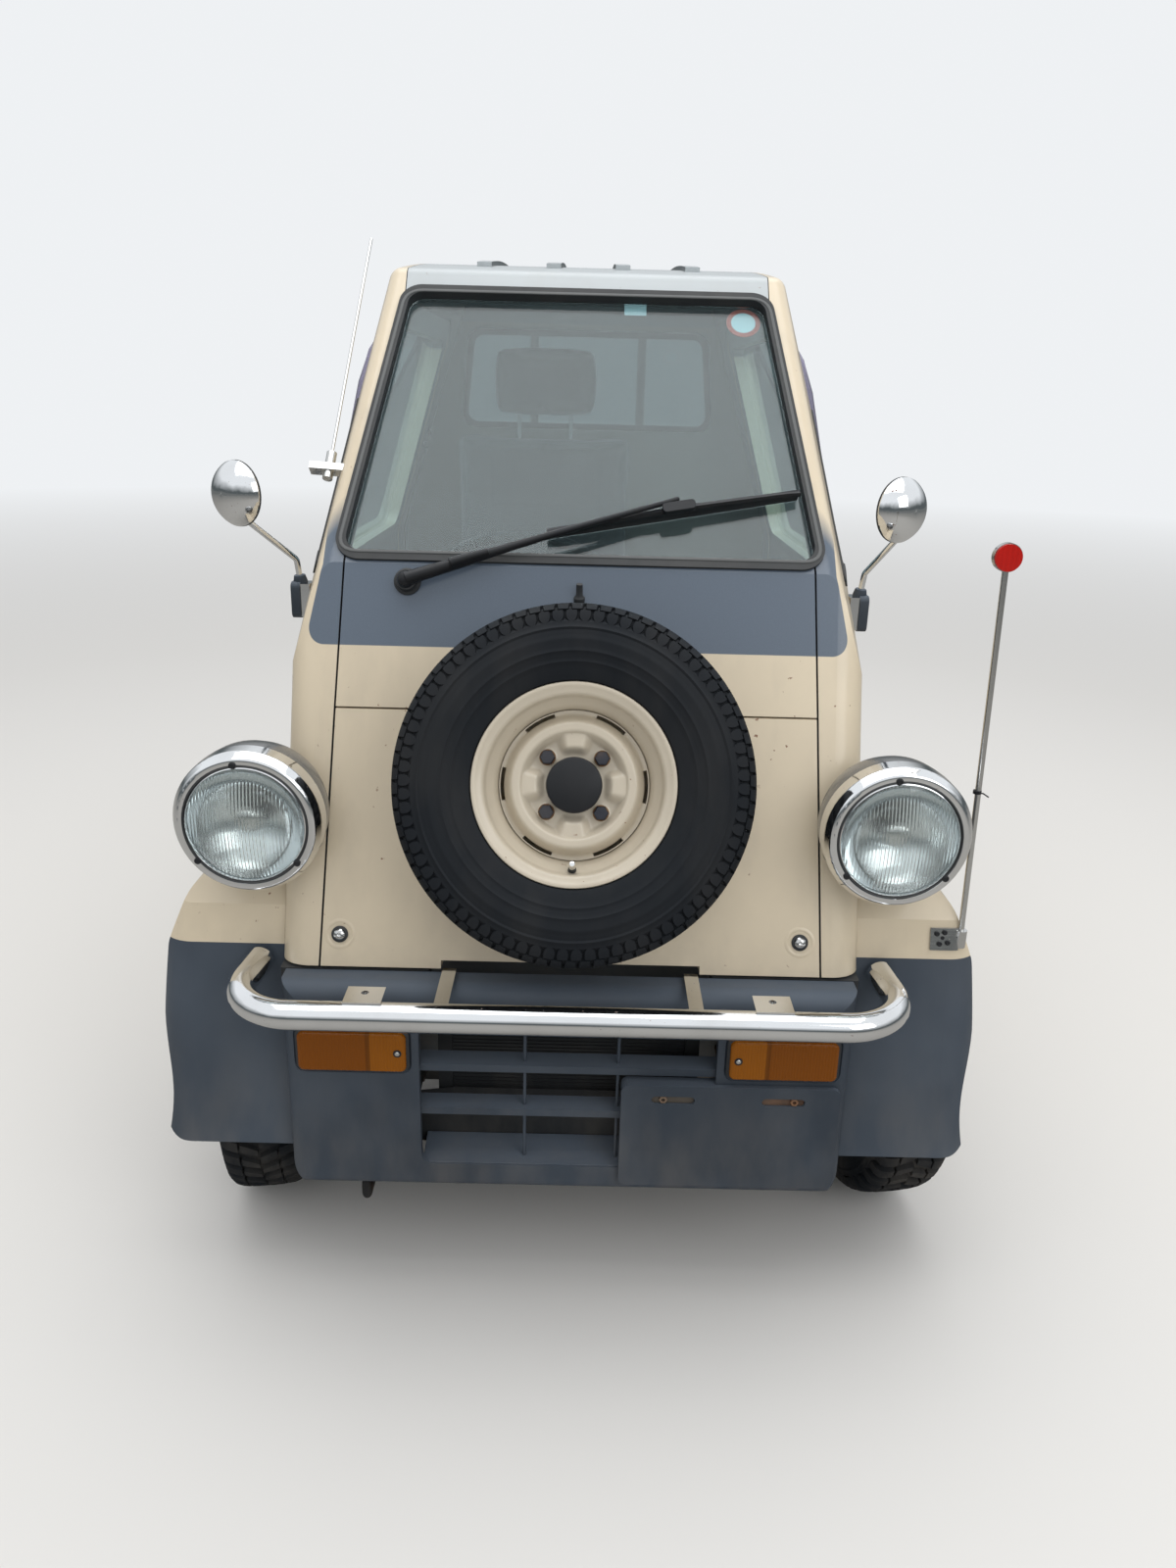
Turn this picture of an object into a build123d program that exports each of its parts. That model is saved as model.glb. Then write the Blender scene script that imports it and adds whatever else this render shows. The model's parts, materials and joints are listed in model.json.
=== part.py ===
from build123d import *
from math import sin, cos, tan, radians
import os

# A single-seat 1990s pocket pickup. Millimetres, +Z up, the nose faces -Y, the truck's left is +X.
# The origin is on the ground, at the middle of the overall length and width.

# Stance
overall_length = 2790.0
front_axle_y = -952.0
wheelbase = 1840.0
rear_axle_y = front_axle_y + wheelbase
tyre_radius = 258.5
tyre_width = 142.0
wheel_x = 548.0
steer_rest = 9.5
running_gap = 0.08
swing_gap = 6.0

# Road wheels and tyres
rim_flange_radius = 144.0
rim_seat_radius = 128.0
rim_half_width = 56.0
rim_skin = 5.0
flange_lip = 6.0
rim_corner = 2.0
disc_face = 14.0
disc_skin = 6.0
disc_step_radius = 74.0
disc_edge_radius = 104.0
disc_crown = 18.0
bolt_circle_radius = 55.0
bolt_count = 4
bolt_radius = 9.5
bolt_height = 12.0
cap_radius = 40.0
cap_height = 22.0
hub_bore_radius = 18.0
slot_count = 4
slot_width = 7.0
slot_arc = 52.0
drum_radius = 92.0
drum_depth = 30.0
tread_half_width = 62.0
tread_shoulder = 22.0
sidewall_radius = 196.0

# Steering axis: lower ball joint to strut top, seen from the front
ball_joint_x = 497.0
ball_joint_z = 172.0
ball_joint_radius = 11.0
ball_joint_height = 20.0
strut_top_x = 406.0
strut_top_z = 650.0
strut_radius = 19.0
strut_rod_radius = 10.0
coil_radius = 40.0
strut_tube_top_z = 500.0

# Cab: side view
nose_foot_y = -1242.0
nose_foot_z = 560.0
nose_rake = 20.0
screen_foot_z = 1134.0
screen_rake = 38.4
roof_front_z = 1577.0
roof_crown_z = 1626.0
roof_crown_y = -240.0
roof_back_z = 1634.0
cab_back_y = 198.0
cab_floor_z = 300.0
cab_wall = 40.0
toe_foot_y = -1080.0
toe_top_y = -1140.0
roof_edge_round = 26.0

# Cab: plan and front view
nose_half = 438.0
nose_spread = 0.12
nose_corner_round = 48.0
pillar_half = 398.5
pillar_lean = 0.154
pillar_spread = 0.20
pillar_round = 28.0
sill_half = 478.0
door_half = 497.0
belt_z = 1055.0
rocker_z = 620.0
tumblehome = 0.307
belt_round = 40.0

# Panel joints on the nose
panel_gap = 3.0
nose_seam_z = 926.0
nose_notch_half = 196.0
nose_notch_height = 9.0
nose_gap_half_low = 379.0
nose_gap_half_high = 366.0
cowl_gap_half_high = 357.0
roof_half = 304.0
roof_joint_z = 1541.0
rib_height = 8.0
rib_width = 26.0
rib_places = (-186.0, -62.0, 62.0, 186.0)
rib_front_y = -560.0
rib_back_y = 110.0

# Windscreen, measured along the glass from its foot
screen_seal_half_low = 381.0
screen_seal_half_high = 308.0
screen_seal_low = 4.0
screen_seal_high = 530.0
screen_seal_band = 15.0
screen_corner = 38.0
seal_proud = 5.0
seal_depth = 16.0
glass_inset = 12.0
glass_skin = 5.0
glass_gap = 0.3

# Rear window and quarter windows
rear_window_half_low = 311.0
rear_window_half_high = 290.0
rear_window_low_z = 1300.0
rear_window_high_z = 1528.0
window_corner = 34.0
rear_seal_band = 14.0
quarter_front_y = -905.0
quarter_back_y = -640.0
quarter_low_z = 1092.0
quarter_high_z = 1392.0
quarter_round = 14.0
quarter_seal_band = 9.0

# Doors
door_front_y = -598.0
door_back_y = 70.0
door_low_z = 352.0
door_high_z = 1530.0
door_corner = 60.0
shut_slant = 16.0
door_window_low_z = 1082.0
door_window_high_z = 1488.0
door_window_front_y = -556.0
door_window_back_y = 8.0
hinge_x = 506.0
hinge_y = -606.0
hinge_heights = (500.0, 930.0)
hinge_pin_radius = 4.0
hinge_barrel_radius = 7.0
hinge_barrel_length = 34.0
hinge_lug = 9.0
hinge_slack = 0.6
handle_length = 120.0
handle_z = 985.0
handle_proud = 22.0

# Front fenders and flares
fender_outer = 647.0
fender_top_z = 700.0
fender_low_z = 258.0
fender_line_z = 570.0
fender_front_y = -1272.0
fender_rear_y = -626.0
fender_lean = 13.2
fender_corner = 62.0
flare_corner = 40.0
fender_skin = 10.0
arch_radius = 300.0
flare_crest_z = 626.0
wheelhouse_x = 322.0
wheelhouse_z = 540.0
wheelhouse_back_y = -640.0
wheelhouse_skin = 6.0
tower_front_y = -1080.0
tower_back_y = -824.0
tower_z = 656.0

# Bumper and its grille
bumper_half = 430.0
bumper_face_y = -1294.0
bumper_low_z = 200.0
bumper_top_z = 552.0
bumper_skin = 14.0
bumper_round = 26.0
bumper_lip_round = 14.0
bumper_corner = 42.0
bumper_side_round = 26.0
grille_half = 225.0
grille_low_z = 243.0
grille_high_z = 494.0
grille_corner = 18.0
slat_heights = (412.0, 335.0)
slat_height = 20.0
slat_depth = 40.0
grille_rods = (-66.0, 77.0)
grille_rod_radius = 2.5
plate_panel_left = 82.0
plate_panel_right = 415.0
plate_panel_low_z = 218.0
plate_panel_high_z = 398.0
plate_panel_proud = 8.0
plate_slot_z = 373.0
plate_slot_centre_x = 245.0
plate_slot_spacing = 168.0
plate_slot_length = 66.0
plate_slot_height = 14.0
turn_lamp_inner = 243.0
turn_lamp_outer = 406.0
turn_lamp_low_z = 412.0
turn_lamp_high_z = 477.0
turn_lamp_proud = 10.0
turn_lamp_depth = 26.0
turn_lamp_clearance = 0.3
lamp_recess = 7.0
lamp_recess_depth = 4.5

# Radiator
radiator_half = 205.0
radiator_high_z = 512.0
radiator_front_y = -1226.0
radiator_depth = 34.0

# Chrome bumper bar
bar_radius = 21.35
bar_front_y = -overall_length / 2
bar_z = 549.0
bar_half = 492.0
bar_end_half = 478.0
bar_return = 183.0
bar_end_y = bar_front_y + bar_return
bar_bend = 92.0
bar_tab_x = 290.0
bar_tab_width = 54.0
bar_tab_length = 46.0
bar_tab_skin = 6.0
bar_tab_hole_radius = 5.5
bar_post_x = 182.0
bar_post_width = 21.0
bar_post_skin = 8.0

# Headlamps
lamp_x = 467.0
lamp_y = -1263.0
lamp_z = 793.0
lamp_lens_radius = 90.0
lamp_rim_radius = 107.0
lamp_rim_depth = 34.0
lamp_bucket_radius = 99.0
lamp_bucket_depth = 130.0
lamp_bucket_tip = 52.0
lamp_crown = 16.0
lamp_seat_gap = 0.4

# Spare wheel on the nose
spare_y = -1232.0
spare_z = 852.0
spare_carrier_radius = 62.0

# Mirrors: side of the truck, centre of the round head across and up
mirror_table = (
    # side, head_x, head_z
    (-1, 566.0, 1217.0),
    (1, 524.0, 1217.0),
)
mirror_head_radius = 53.0
mirror_head_depth = 34.0
mirror_head_y = -862.0
mirror_turn = 32.0
mirror_rod_radius = 5.0
mirror_foot_y = -812.0
mirror_foot_z = 1040.0

# Wiper, antenna and corner pole
wiper_pivot_x = -262.0
wiper_pivot_z = 1108.0
corner_pole_inset = 44.0
corner_pole_x = fender_outer - corner_pole_inset
corner_pole_y = -1178.0
corner_pole_foot_z = 600.0
corner_pole_top_z = 1186.0
corner_pole_radius = 4.5
corner_disc_radius = 20.0
aerial_foot = (-404.0, -905.0, 1262.0)
aerial_tip = (-374.0, -628.0, 1628.0)
aerial_radius = 2.5

# Cargo bed
bed_half = 575.0
bed_wall = 30.0
bed_front_y = 222.0
bed_rear_y = 1352.0
bed_floor_top_z = 640.0
bed_floor_skin = 12.0
bed_top_z = 892.0
bed_skirt_z = 352.0
bed_rail_height = 24.0
bed_sill_width = 60.0
bed_sill_places = (545.0, 760.0, 1016.0, 1296.0)
bed_sill_half = 470.0
bed_panel_depth = 5.0
bed_panel_low_z = 690.0
bed_panel_high_z = 838.0
bed_panels = ((262.0, 590.0), (630.0, 940.0), (980.0, 1312.0))
tailgate_thickness = 26.0
tailgate_axis_y = 1388.0
tailgate_axis_z = 640.0
tailgate_hinges = (-400.0, 0.0, 400.0)
tailgate_barrel_radius = 6.0
tailgate_pin_radius = 3.2
tailgate_barrel_length = 50.0
rear_flare_outer = 645.0
rear_flare_radius = 348.0
guard_y = 250.0
guard_half = 420.0
guard_bar_x = 133.0
guard_top_z = 1590.0
guard_mid_z = 1250.0
guard_radius = 12.5

# Rear bumper and lamps
rear_bumper_half = 540.0
rear_bumper_low_z = 330.0
rear_bumper_high_z = 436.0
rear_bumper_depth = 56.0
rear_panel_skin = 12.0
tail_lamp_inner = 430.0
tail_lamp_outer = 560.0
tail_lamp_low_z = 470.0
tail_lamp_high_z = 560.0
tail_lamp_depth = 22.0

# Ladder frame
rail_centre_x = 280.0
rail_width = 50.0
rail_depth = 60.0
rail_front_y = -1232.0
rail_rear_y = 1330.0
rail_kick_start_y = 330.0
rail_kick_end_y = 480.0
rail_rear_z = 440.0
cross_member_width = 50.0
tow_hook_x = 320.0
tow_hook_radius = 7.0
cross_member_places = (-1207.0, -560.0, 210.0)
rear_cross_member_places = (560.0, 1290.0)

# Running gear
axle_tube_radius = 29.0
axle_tube_half = 462.0
diff_radius = 88.0
diff_width = 150.0
stub_radius = hub_bore_radius - running_gap
spring_x = 395.0
spring_width = 50.0
spring_thickness = 20.0
spring_front_y = 490.0
spring_rear_y = 1286.0
spring_eye_z = 405.0
spring_seat_z = 298.0
prop_radius = 27.0
pinion_length = 150.0
tank_outer_x = 520.0
tank_low_z = 306.0
tank_high_z = 470.0
tank_front_y = 250.0
tank_rear_y = 455.0
silencer_x = 370.0
silencer_z = 330.0
silencer_radius = 52.0
silencer_front_y = 258.0
silencer_rear_y = 455.0
pipe_radius = 16.0
tail_pipe_x = 336.0
tail_pipe_end_y = 1310.0
engine_half = 165.0
engine_front_y = -250.0
engine_rear_y = 140.0
engine_low_z = 262.0
engine_high_z = 560.0
gearbox_half = 95.0
gearbox_length = 260.0
gearbox_low_z = 302.0
gearbox_high_z = 424.0
tunnel_gap = 10.0

# Cabin
engine_box_half = 232.0
engine_box_front_y = -420.0
engine_box_top_z = 612.0
engine_box_skin = 8.0
seat_x = -96.0
seat_width = 460.0
seat_cushion_thick = 110.0
seat_cushion_length = 450.0
seat_cushion_front_y = -422.0
seat_back_thick = 100.0
seat_back_height = 580.0
seat_back_lean = 6.0
seat_back_front_y = -110.0
seat_clearance = 0.5
headrest_width = 236.0
headrest_height = 150.0
headrest_thick = 80.0
headrest_post_radius = 6.0
dash_top_z = 1078.0
dash_low_z = 800.0
steering_radius = 185.0
steering_rim_radius = 11.0
spoke_angles = (15.0, 90.0, 165.0)
steering_x = -112.0
steering_y = -500.0
steering_z = 1010.0
steering_tilt = 46.0
hub_depth = 34.0
hub_radius = 44.0
spoke_radius = 9.0
column_radius = 20.0
column_length = 770.0
column_bracket_half = 40.0
column_bracket_front_y = -790.0
column_bracket_rear_y = -728.0
column_bracket_low_z = 744.0


# Drawing helpers
def outline(corners):
    """Closed face through corners given as (across, up, round-off radius)."""
    face = Polygon(*[(corner[0], corner[1]) for corner in corners], align=None)
    for across, up, radius in corners:
        if radius > 0:
            spot = [v for v in face.vertices() if abs(v.X - across) + abs(v.Y - up) < 0.01]
            face = fillet(spot, radius)
    return face


def prism(plane, corners, low, high):
    """Solid with its outline in plane, from low to high along the plane's normal."""
    return extrude(plane.offset(low) * outline(corners), amount=high - low, dir=plane.z_dir)


def along_x(corners, x0, x1):
    return prism(Plane.YZ, corners, x0, x1)


def along_y(corners, y0, y1):
    return prism(Plane.XZ, corners, -y1, -y0)


def along_z(corners, z0, z1):
    return prism(Plane.XY, corners, z0, z1)


def block(x0, x1, y0, y1, z0, z1):
    return Pos((x0 + x1) / 2, (y0 + y1) / 2, (z0 + z1) / 2) * Box(x1 - x0, y1 - y0, z1 - z0)


def rectangle(x0, x1, z0, z1, radius=0.0):
    return [(x0, z0, radius), (x1, z0, radius), (x1, z1, radius), (x0, z1, radius)]


def trapezoid(half_low, half_high, z0, z1, radius=0.0):
    return [
        (-half_low, z0, radius), (half_low, z0, radius), (half_high, z1, radius), (-half_high, z1, radius),
    ]


def rod(start, end, radius):
    """Round bar between two points."""
    way = Vector(*end) - Vector(*start)
    plane = Plane(origin=start, z_dir=way)
    return extrude(plane * Circle(radius), amount=way.length, dir=plane.z_dir)


def tube_path(points, bends, radius):
    """Round bar along straight runs joined by tangent arcs."""
    path = FilletPolyline(*points, radius=bends)
    return sweep(Plane(origin=path @ 0, z_dir=path % 0) * Circle(radius), path=path)


def spun(corners, angle=360.0):
    """Body of revolution about +Z, from corners (radius, height, round-off radius)."""
    return revolve(Plane.XZ * outline(corners), axis=Axis.Z, revolution_arc=angle)


def other_side(shape):
    return mirror(shape, about=Plane.YZ)


def pair(shape):
    return [shape, other_side(shape)]


# Slopes that several pieces share
nose_slope = tan(radians(nose_rake))
screen_slope = tan(radians(screen_rake))
screen_foot_y = nose_foot_y + (screen_foot_z - nose_foot_z) * nose_slope
roof_front_y = screen_foot_y + (roof_front_z - screen_foot_z) * screen_slope
screen_plane = Plane(
    origin=(0, screen_foot_y, screen_foot_z),
    x_dir=(1, 0, 0),
    z_dir=(0, -cos(radians(screen_rake)), sin(radians(screen_rake))),
)
nose_plane = Plane(
    origin=(0, nose_foot_y, nose_foot_z),
    x_dir=(1, 0, 0),
    z_dir=(0, -cos(radians(nose_rake)), sin(radians(nose_rake))),
)


def nose_y(z):
    """Front face of the nose at height z."""
    return nose_foot_y + (z - nose_foot_z) * nose_slope


def screen_y(z):
    """Front face of the windscreen plane at height z."""
    return screen_foot_y + (z - screen_foot_z) * screen_slope


def side_half(z):
    """Half width of the cab at its doors at height z."""
    if z <= rocker_z:
        return sill_half + (door_half - sill_half) * (z - cab_floor_z) / (rocker_z - cab_floor_z)
    return door_half - max(0.0, z - belt_z) * tumblehome


def leaning_form(front_y, half_at, spread, corner, z_low, z_high):
    """Form whose leaning front face widens backwards, with its two front corners rounded."""
    reach = 1900.0
    sections = []
    for z in (z_low, z_high):
        half, front = half_at(z), front_y(z)
        wide = half + spread * reach
        corners = [
            (-half, front, corner), (half, front, corner),
            (wide, front + reach, 0), (-wide, front + reach, 0),
        ]
        sections.append(Pos(0, 0, z) * outline(corners))
    return loft(sections, ruled=True)


def cab_form(inset):
    """The whole cab as one solid, every face drawn in by inset."""
    lift_nose = inset / cos(radians(nose_rake))
    lift_screen = inset / cos(radians(screen_rake))
    low, high = cab_floor_z - 50, roof_back_z + 80
    nose = leaning_form(
        lambda z: nose_y(z) + lift_nose, lambda z: nose_half - inset, nose_spread,
        nose_corner_round - min(inset, nose_corner_round - 8), low, high,
    )
    screen = leaning_form(
        lambda z: screen_y(z) + lift_screen,
        lambda z: pillar_half - inset - (z - screen_foot_z) * pillar_lean,
        pillar_spread, pillar_round - min(inset, pillar_round - 6), low, high,
    )
    top = roof_back_z + 80
    sides = along_y([
        (-side_half(cab_floor_z) + inset, cab_floor_z, 0),
        (side_half(cab_floor_z) - inset, cab_floor_z, 0),
        (side_half(rocker_z) - inset, rocker_z, 60),
        (side_half(belt_z) - inset, belt_z, belt_round),
        (side_half(top) - inset, top, 0),
        (-side_half(top) + inset, top, 0),
        (-side_half(belt_z) + inset, belt_z, belt_round),
        (-side_half(rocker_z) + inset, rocker_z, 60),
    ], nose_foot_y - 20, cab_back_y - inset)
    crown = ThreePointArc(
        (roof_front_y - 60, roof_front_z - inset - 8), (roof_crown_y, roof_crown_z - inset),
        (cab_back_y, roof_back_z - inset),
    )
    below = Polyline(
        (cab_back_y, roof_back_z - inset), (cab_back_y, cab_floor_z + inset),
        (toe_foot_y + inset, cab_floor_z + inset), (toe_top_y + inset, nose_foot_z - 12 + inset),
        (nose_foot_y - 30, nose_foot_z + inset), (nose_foot_y - 30, roof_front_z - 400),
        (roof_front_y - 60, roof_front_z - inset - 8),
    )
    profile = extrude(Plane.YZ * make_face([crown, below]), amount=700, both=True)
    return nose & screen & sides & profile


def door_prism(grow, corners_rect, radius):
    """Door outline carried through the wall, slanted so that its rear edge swings clear."""
    y0, y1, z0, z1 = corners_rect
    face = outline(rectangle(y0 - grow, y1 + grow, z0 - grow, z1 + grow, radius + grow))
    slant = radians(shut_slant)
    start = door_half + 60.0
    shift = 60.0 * tan(slant)
    plane = Plane.YZ.offset(start)
    return extrude(plane * Pos(shift, 0, 0) * face, amount=330, dir=Vector(-cos(slant), -sin(slant), 0))


def screen_outline(shrink, rounding):
    """Windscreen outline on its own plane, drawn in by shrink."""
    lean = (screen_seal_half_low - screen_seal_half_high) / (screen_seal_high - screen_seal_low)
    low, high = screen_seal_low + shrink, screen_seal_high - shrink
    half_low = screen_seal_half_low - shrink - shrink * lean
    half_high = screen_seal_half_high - shrink + shrink * lean
    return trapezoid(half_low, half_high, low, high, rounding)


def quarter_outline(shrink, rounding):
    """Three-cornered quarter window in side view."""
    return [
        (quarter_front_y + shrink * 2.2, quarter_low_z + shrink, rounding),
        (quarter_back_y - shrink, quarter_low_z + shrink, rounding),
        (quarter_back_y - shrink, quarter_high_z - shrink * 2.0, rounding),
    ]


def build_wheelhouses():
    """Space for the front wheels, and the thin pressed boxes that close the cabin around it."""
    house = block(wheelhouse_x, 700, -1300, wheelhouse_back_y, 200, wheelhouse_z)
    house += block(wheelhouse_x, 560, tower_front_y, tower_back_y, wheelhouse_z - 20, tower_z)
    skin = wheelhouse_skin
    plates = block(wheelhouse_x - skin, 700, -1300, wheelhouse_back_y + skin, 200, wheelhouse_z + skin)
    plates += block(
        wheelhouse_x - skin, 560 + skin, tower_front_y - skin,
        tower_back_y + skin, wheelhouse_z - 20, tower_z + skin
    )
    return house, plates - house


def build_cab():
    """Cab walls, cut into the panels that the real cab is pressed from."""
    plain = cab_form(0.0)
    cavity = cab_form(cab_wall)
    top_edges = [e for e in plain.edges() if e.center().Z > roof_front_z - 14 and e.length > 40]
    walls = fillet(top_edges, roof_edge_round) - cavity
    house, plates = build_wheelhouses()
    lamp_pocket = headlamp_bucket_form(lamp_seat_gap)
    walls -= house + other_side(house) + lamp_pocket + other_side(lamp_pocket)

    half_gap = panel_gap / 2
    nose_low, nose_seam = nose_foot_z - 30, nose_seam_z
    nose_region = along_y(
        trapezoid(nose_gap_half_low, nose_gap_half_high, nose_low, nose_seam - half_gap), -1300, -930,
    )
    nose_cut = along_y(
        trapezoid(nose_gap_half_low + panel_gap, nose_gap_half_high + panel_gap, nose_low, nose_seam),
        -1300, -930
    )
    cowl_top = screen_foot_z + 30
    cowl_region = along_y(
        trapezoid(nose_gap_half_high, cowl_gap_half_high, nose_seam + half_gap, cowl_top), -1300, -930
    )
    cowl_cut = along_y(
        trapezoid(nose_gap_half_high + panel_gap, cowl_gap_half_high + panel_gap, nose_seam, cowl_top),
        -1300, -930
    )
    roof_region = along_y(
        rectangle(-roof_half, roof_half, roof_joint_z, roof_back_z + 60), -900, cab_back_y + 10,
    )
    roof_cut = along_y(
        rectangle(-roof_half - half_gap, roof_half + half_gap, roof_joint_z, roof_back_z + 60),
        -900, cab_back_y + 10
    )
    inner_y = cab_back_y - cab_wall
    back_low = cab_floor_z + cab_wall
    back_half = cab_wall / 2
    back_region = along_y([
        (side_half(back_low) - back_half, back_low, 0), (side_half(rocker_z) - back_half, rocker_z, 0),
        (side_half(belt_z) - back_half, belt_z, 0), (side_half(roof_joint_z) - back_half, roof_joint_z, 0),
        (-side_half(roof_joint_z) + back_half, roof_joint_z, 0), (-side_half(belt_z) + back_half, belt_z, 0),
        (-side_half(rocker_z) + back_half, rocker_z, 0), (-side_half(back_low) + back_half, back_low, 0),
    ], inner_y, cab_back_y + 10)
    floor_half = sill_half - cab_wall
    floor_region = along_x([
        (toe_top_y - 3, nose_foot_z + cab_wall, 0), (toe_top_y - 3, nose_foot_z - 14, 0),
        (toe_foot_y - 3, cab_floor_z - 5, 0), (cab_back_y + 5, cab_floor_z - 5, 0),
        (cab_back_y + 5, back_low, 0), (toe_foot_y + cab_wall, back_low, 0),
        (toe_top_y + cab_wall, nose_foot_z + cab_wall - 11, 0),
    ], -floor_half, floor_half)

    screen_hole = prism(screen_plane, screen_outline(0, screen_corner), -90, 40)
    rear_hole = along_y(
        trapezoid(
            rear_window_half_low, rear_window_half_high, rear_window_low_z, rear_window_high_z, window_corner,
        ),
        inner_y - 5, cab_back_y + 5,
    )
    door_rect = (door_front_y, door_back_y, door_low_z, door_high_z)
    window_rect = (door_window_front_y, door_window_back_y, door_window_low_z, door_window_high_z)
    quarter_hole = along_x(quarter_outline(0, quarter_round), 340, 520)

    nose_panel = (walls & nose_region) - floor_region
    nose_panel -= block(
        -nose_notch_half, nose_notch_half, nose_foot_y - 30, nose_foot_y + cab_wall - 5,
        nose_foot_z - 30, nose_foot_z + nose_notch_height,
    )
    cowl_panel = (walls & cowl_region) - screen_hole
    roof_panel = (walls & roof_region) - screen_hole
    back_panel = (walls & back_region) - rear_hole - floor_region
    floor = walls & floor_region
    rest = walls - nose_cut - cowl_cut - roof_cut - back_region - floor_region - screen_hole
    side = (rest & block(0, 700, -1400, 300, 200, 1700)) - quarter_hole
    side -= door_prism(swing_gap, door_rect, door_corner)
    door = (walls & door_prism(0, door_rect, door_corner)) - door_prism(0, window_rect, window_corner)

    ribs = []
    for x in rib_places:
        upper = ThreePointArc(
            (roof_front_y - 60, roof_front_z - 8 + rib_height), (roof_crown_y, roof_crown_z + rib_height),
            (cab_back_y, roof_back_z + rib_height),
        )
        lower = Polyline(
            (cab_back_y, roof_back_z + rib_height), (cab_back_y, roof_back_z - 20),
            (roof_crown_y, roof_crown_z - 20), (roof_front_y - 60, roof_front_z - 28),
            (roof_front_y - 60, roof_front_z - 8 + rib_height),
        )
        strip = extrude(Plane.YZ.offset(x - rib_width / 2) * make_face([upper, lower]), amount=rib_width)
        ribs.append(strip & along_z(rectangle(x - 40, x + 40, rib_front_y, rib_back_y), 1500, 1700))
    for rib in ribs:
        roof_panel += rib

    plates &= cavity
    box_skin = engine_box_skin
    half, front, top = engine_box_half, engine_box_front_y, engine_box_top_z
    engine_space = block(
        -half + box_skin, half - box_skin, front + box_skin, inner_y, cab_floor_z - 5, top - box_skin,
    )
    engine_box = block(-half, half, front, inner_y, back_low, top) - engine_space
    tunnel = block(
        -gearbox_half - tunnel_gap, gearbox_half + tunnel_gap, inner_y - 5, cab_back_y + 5,
        cab_floor_z - 5, gearbox_high_z + tunnel_gap,
    )
    floor -= engine_space + tunnel
    engine_box -= tunnel
    back_panel -= tunnel

    hinge_fixed, hinge_moving = build_door_hinges()
    for piece in hinge_fixed:
        side += piece
    for piece in hinge_moving:
        door += piece
    door += build_handle()
    glass_layer = cab_form(glass_inset) - cab_form(glass_inset + glass_skin)
    seal_layer = cab_form(-seal_proud / 2) - cab_form(seal_depth + glass_skin)
    quarter_glass_form = along_x(quarter_outline(quarter_seal_band + glass_gap, quarter_round - 8), 340, 520)
    quarter_seal_form = quarter_hole - along_x(
        quarter_outline(quarter_seal_band, quarter_round - 8), 340, 520,
    )
    quarter_glass = glass_layer & quarter_glass_form
    quarter_seal = seal_layer & quarter_seal_form
    door_glass = glass_layer & door_prism(-glass_gap, window_rect, window_corner)
    return {
        "nose_panel": nose_panel, "cowl_panel": cowl_panel,
        "roof_panel": roof_panel, "back_panel": back_panel,
        "cab_floor": floor, "wheelhouse": plates, "engine_cover": engine_box, "side": side,
        "door": door, "door_glass": door_glass, "quarter_glass": quarter_glass,
        "quarter_seal": quarter_seal, "form": plain,
    }


def build_door_hinges():
    """Two pin hinges on the left door: lugs and pin on the cab side, barrel and leaf on the door."""
    fixed, moving = [], []
    reach = hinge_barrel_length / 2 + hinge_slack
    for z in hinge_heights:
        for z0 in (z - reach - hinge_lug, z + reach):
            lug = Pos(hinge_x, hinge_y, z0 + hinge_lug / 2) * Cylinder(hinge_barrel_radius, hinge_lug)
            fixed.append(lug + block(door_half - 12, hinge_x + 4, hinge_y - 14, hinge_y, z0, z0 + hinge_lug))
        fixed.append(Pos(hinge_x, hinge_y, z) * Cylinder(hinge_pin_radius, 2 * reach + hinge_lug))
        half = hinge_barrel_length / 2
        leaf = block(door_half + glass_gap, door_half + 6, hinge_y, hinge_y + 44, z - half + 2, z + half - 2)
        leaf += block(
            door_half - 8, door_half + 3, door_front_y + 3, hinge_y + 44, z - half + 2, z + half - 2,
        )
        leaf += Pos(hinge_x, hinge_y, z) * Cylinder(hinge_barrel_radius, hinge_barrel_length)
        moving.append(leaf - Pos(hinge_x, hinge_y, z) * Cylinder(hinge_pin_radius + running_gap, 90))
    return fixed, moving


def build_handle():
    """Pull handle on the left door's skin."""
    y1 = door_back_y - 40
    y0 = y1 - handle_length
    out = door_half + handle_proud
    return tube_path(
        [
            (door_half - 8, y0, handle_z), (out, y0, handle_z),
            (out, y1, handle_z), (door_half - 8, y1, handle_z),
        ],
        9, 6,
    )


def build_window_seals(quarter_seal):
    """Rubber frames around the windscreen, the rear window and the quarter windows."""
    ring = prism(screen_plane, screen_outline(0, screen_corner), -seal_depth - glass_skin, seal_proud)
    ring -= prism(screen_plane, screen_outline(screen_seal_band, screen_corner - 12), -60, 40)
    band = rear_seal_band
    low, high = rear_window_low_z, rear_window_high_z
    rear = along_y(
        trapezoid(rear_window_half_low, rear_window_half_high, low, high, window_corner),
        cab_back_y - seal_depth - glass_skin, cab_back_y + seal_proud,
    )
    rear -= along_y(
        trapezoid(
            rear_window_half_low - band, rear_window_half_high - band,
            low + band, high - band, window_corner - 10,
        ),
        cab_back_y - 60, cab_back_y + 40,
    )
    return [ring, rear] + pair(quarter_seal)


def build_windscreen():
    shrink = screen_seal_band + glass_gap
    return prism(
        screen_plane, screen_outline(shrink, screen_corner - 12), -glass_inset - glass_skin, -glass_inset,
    )


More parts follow.
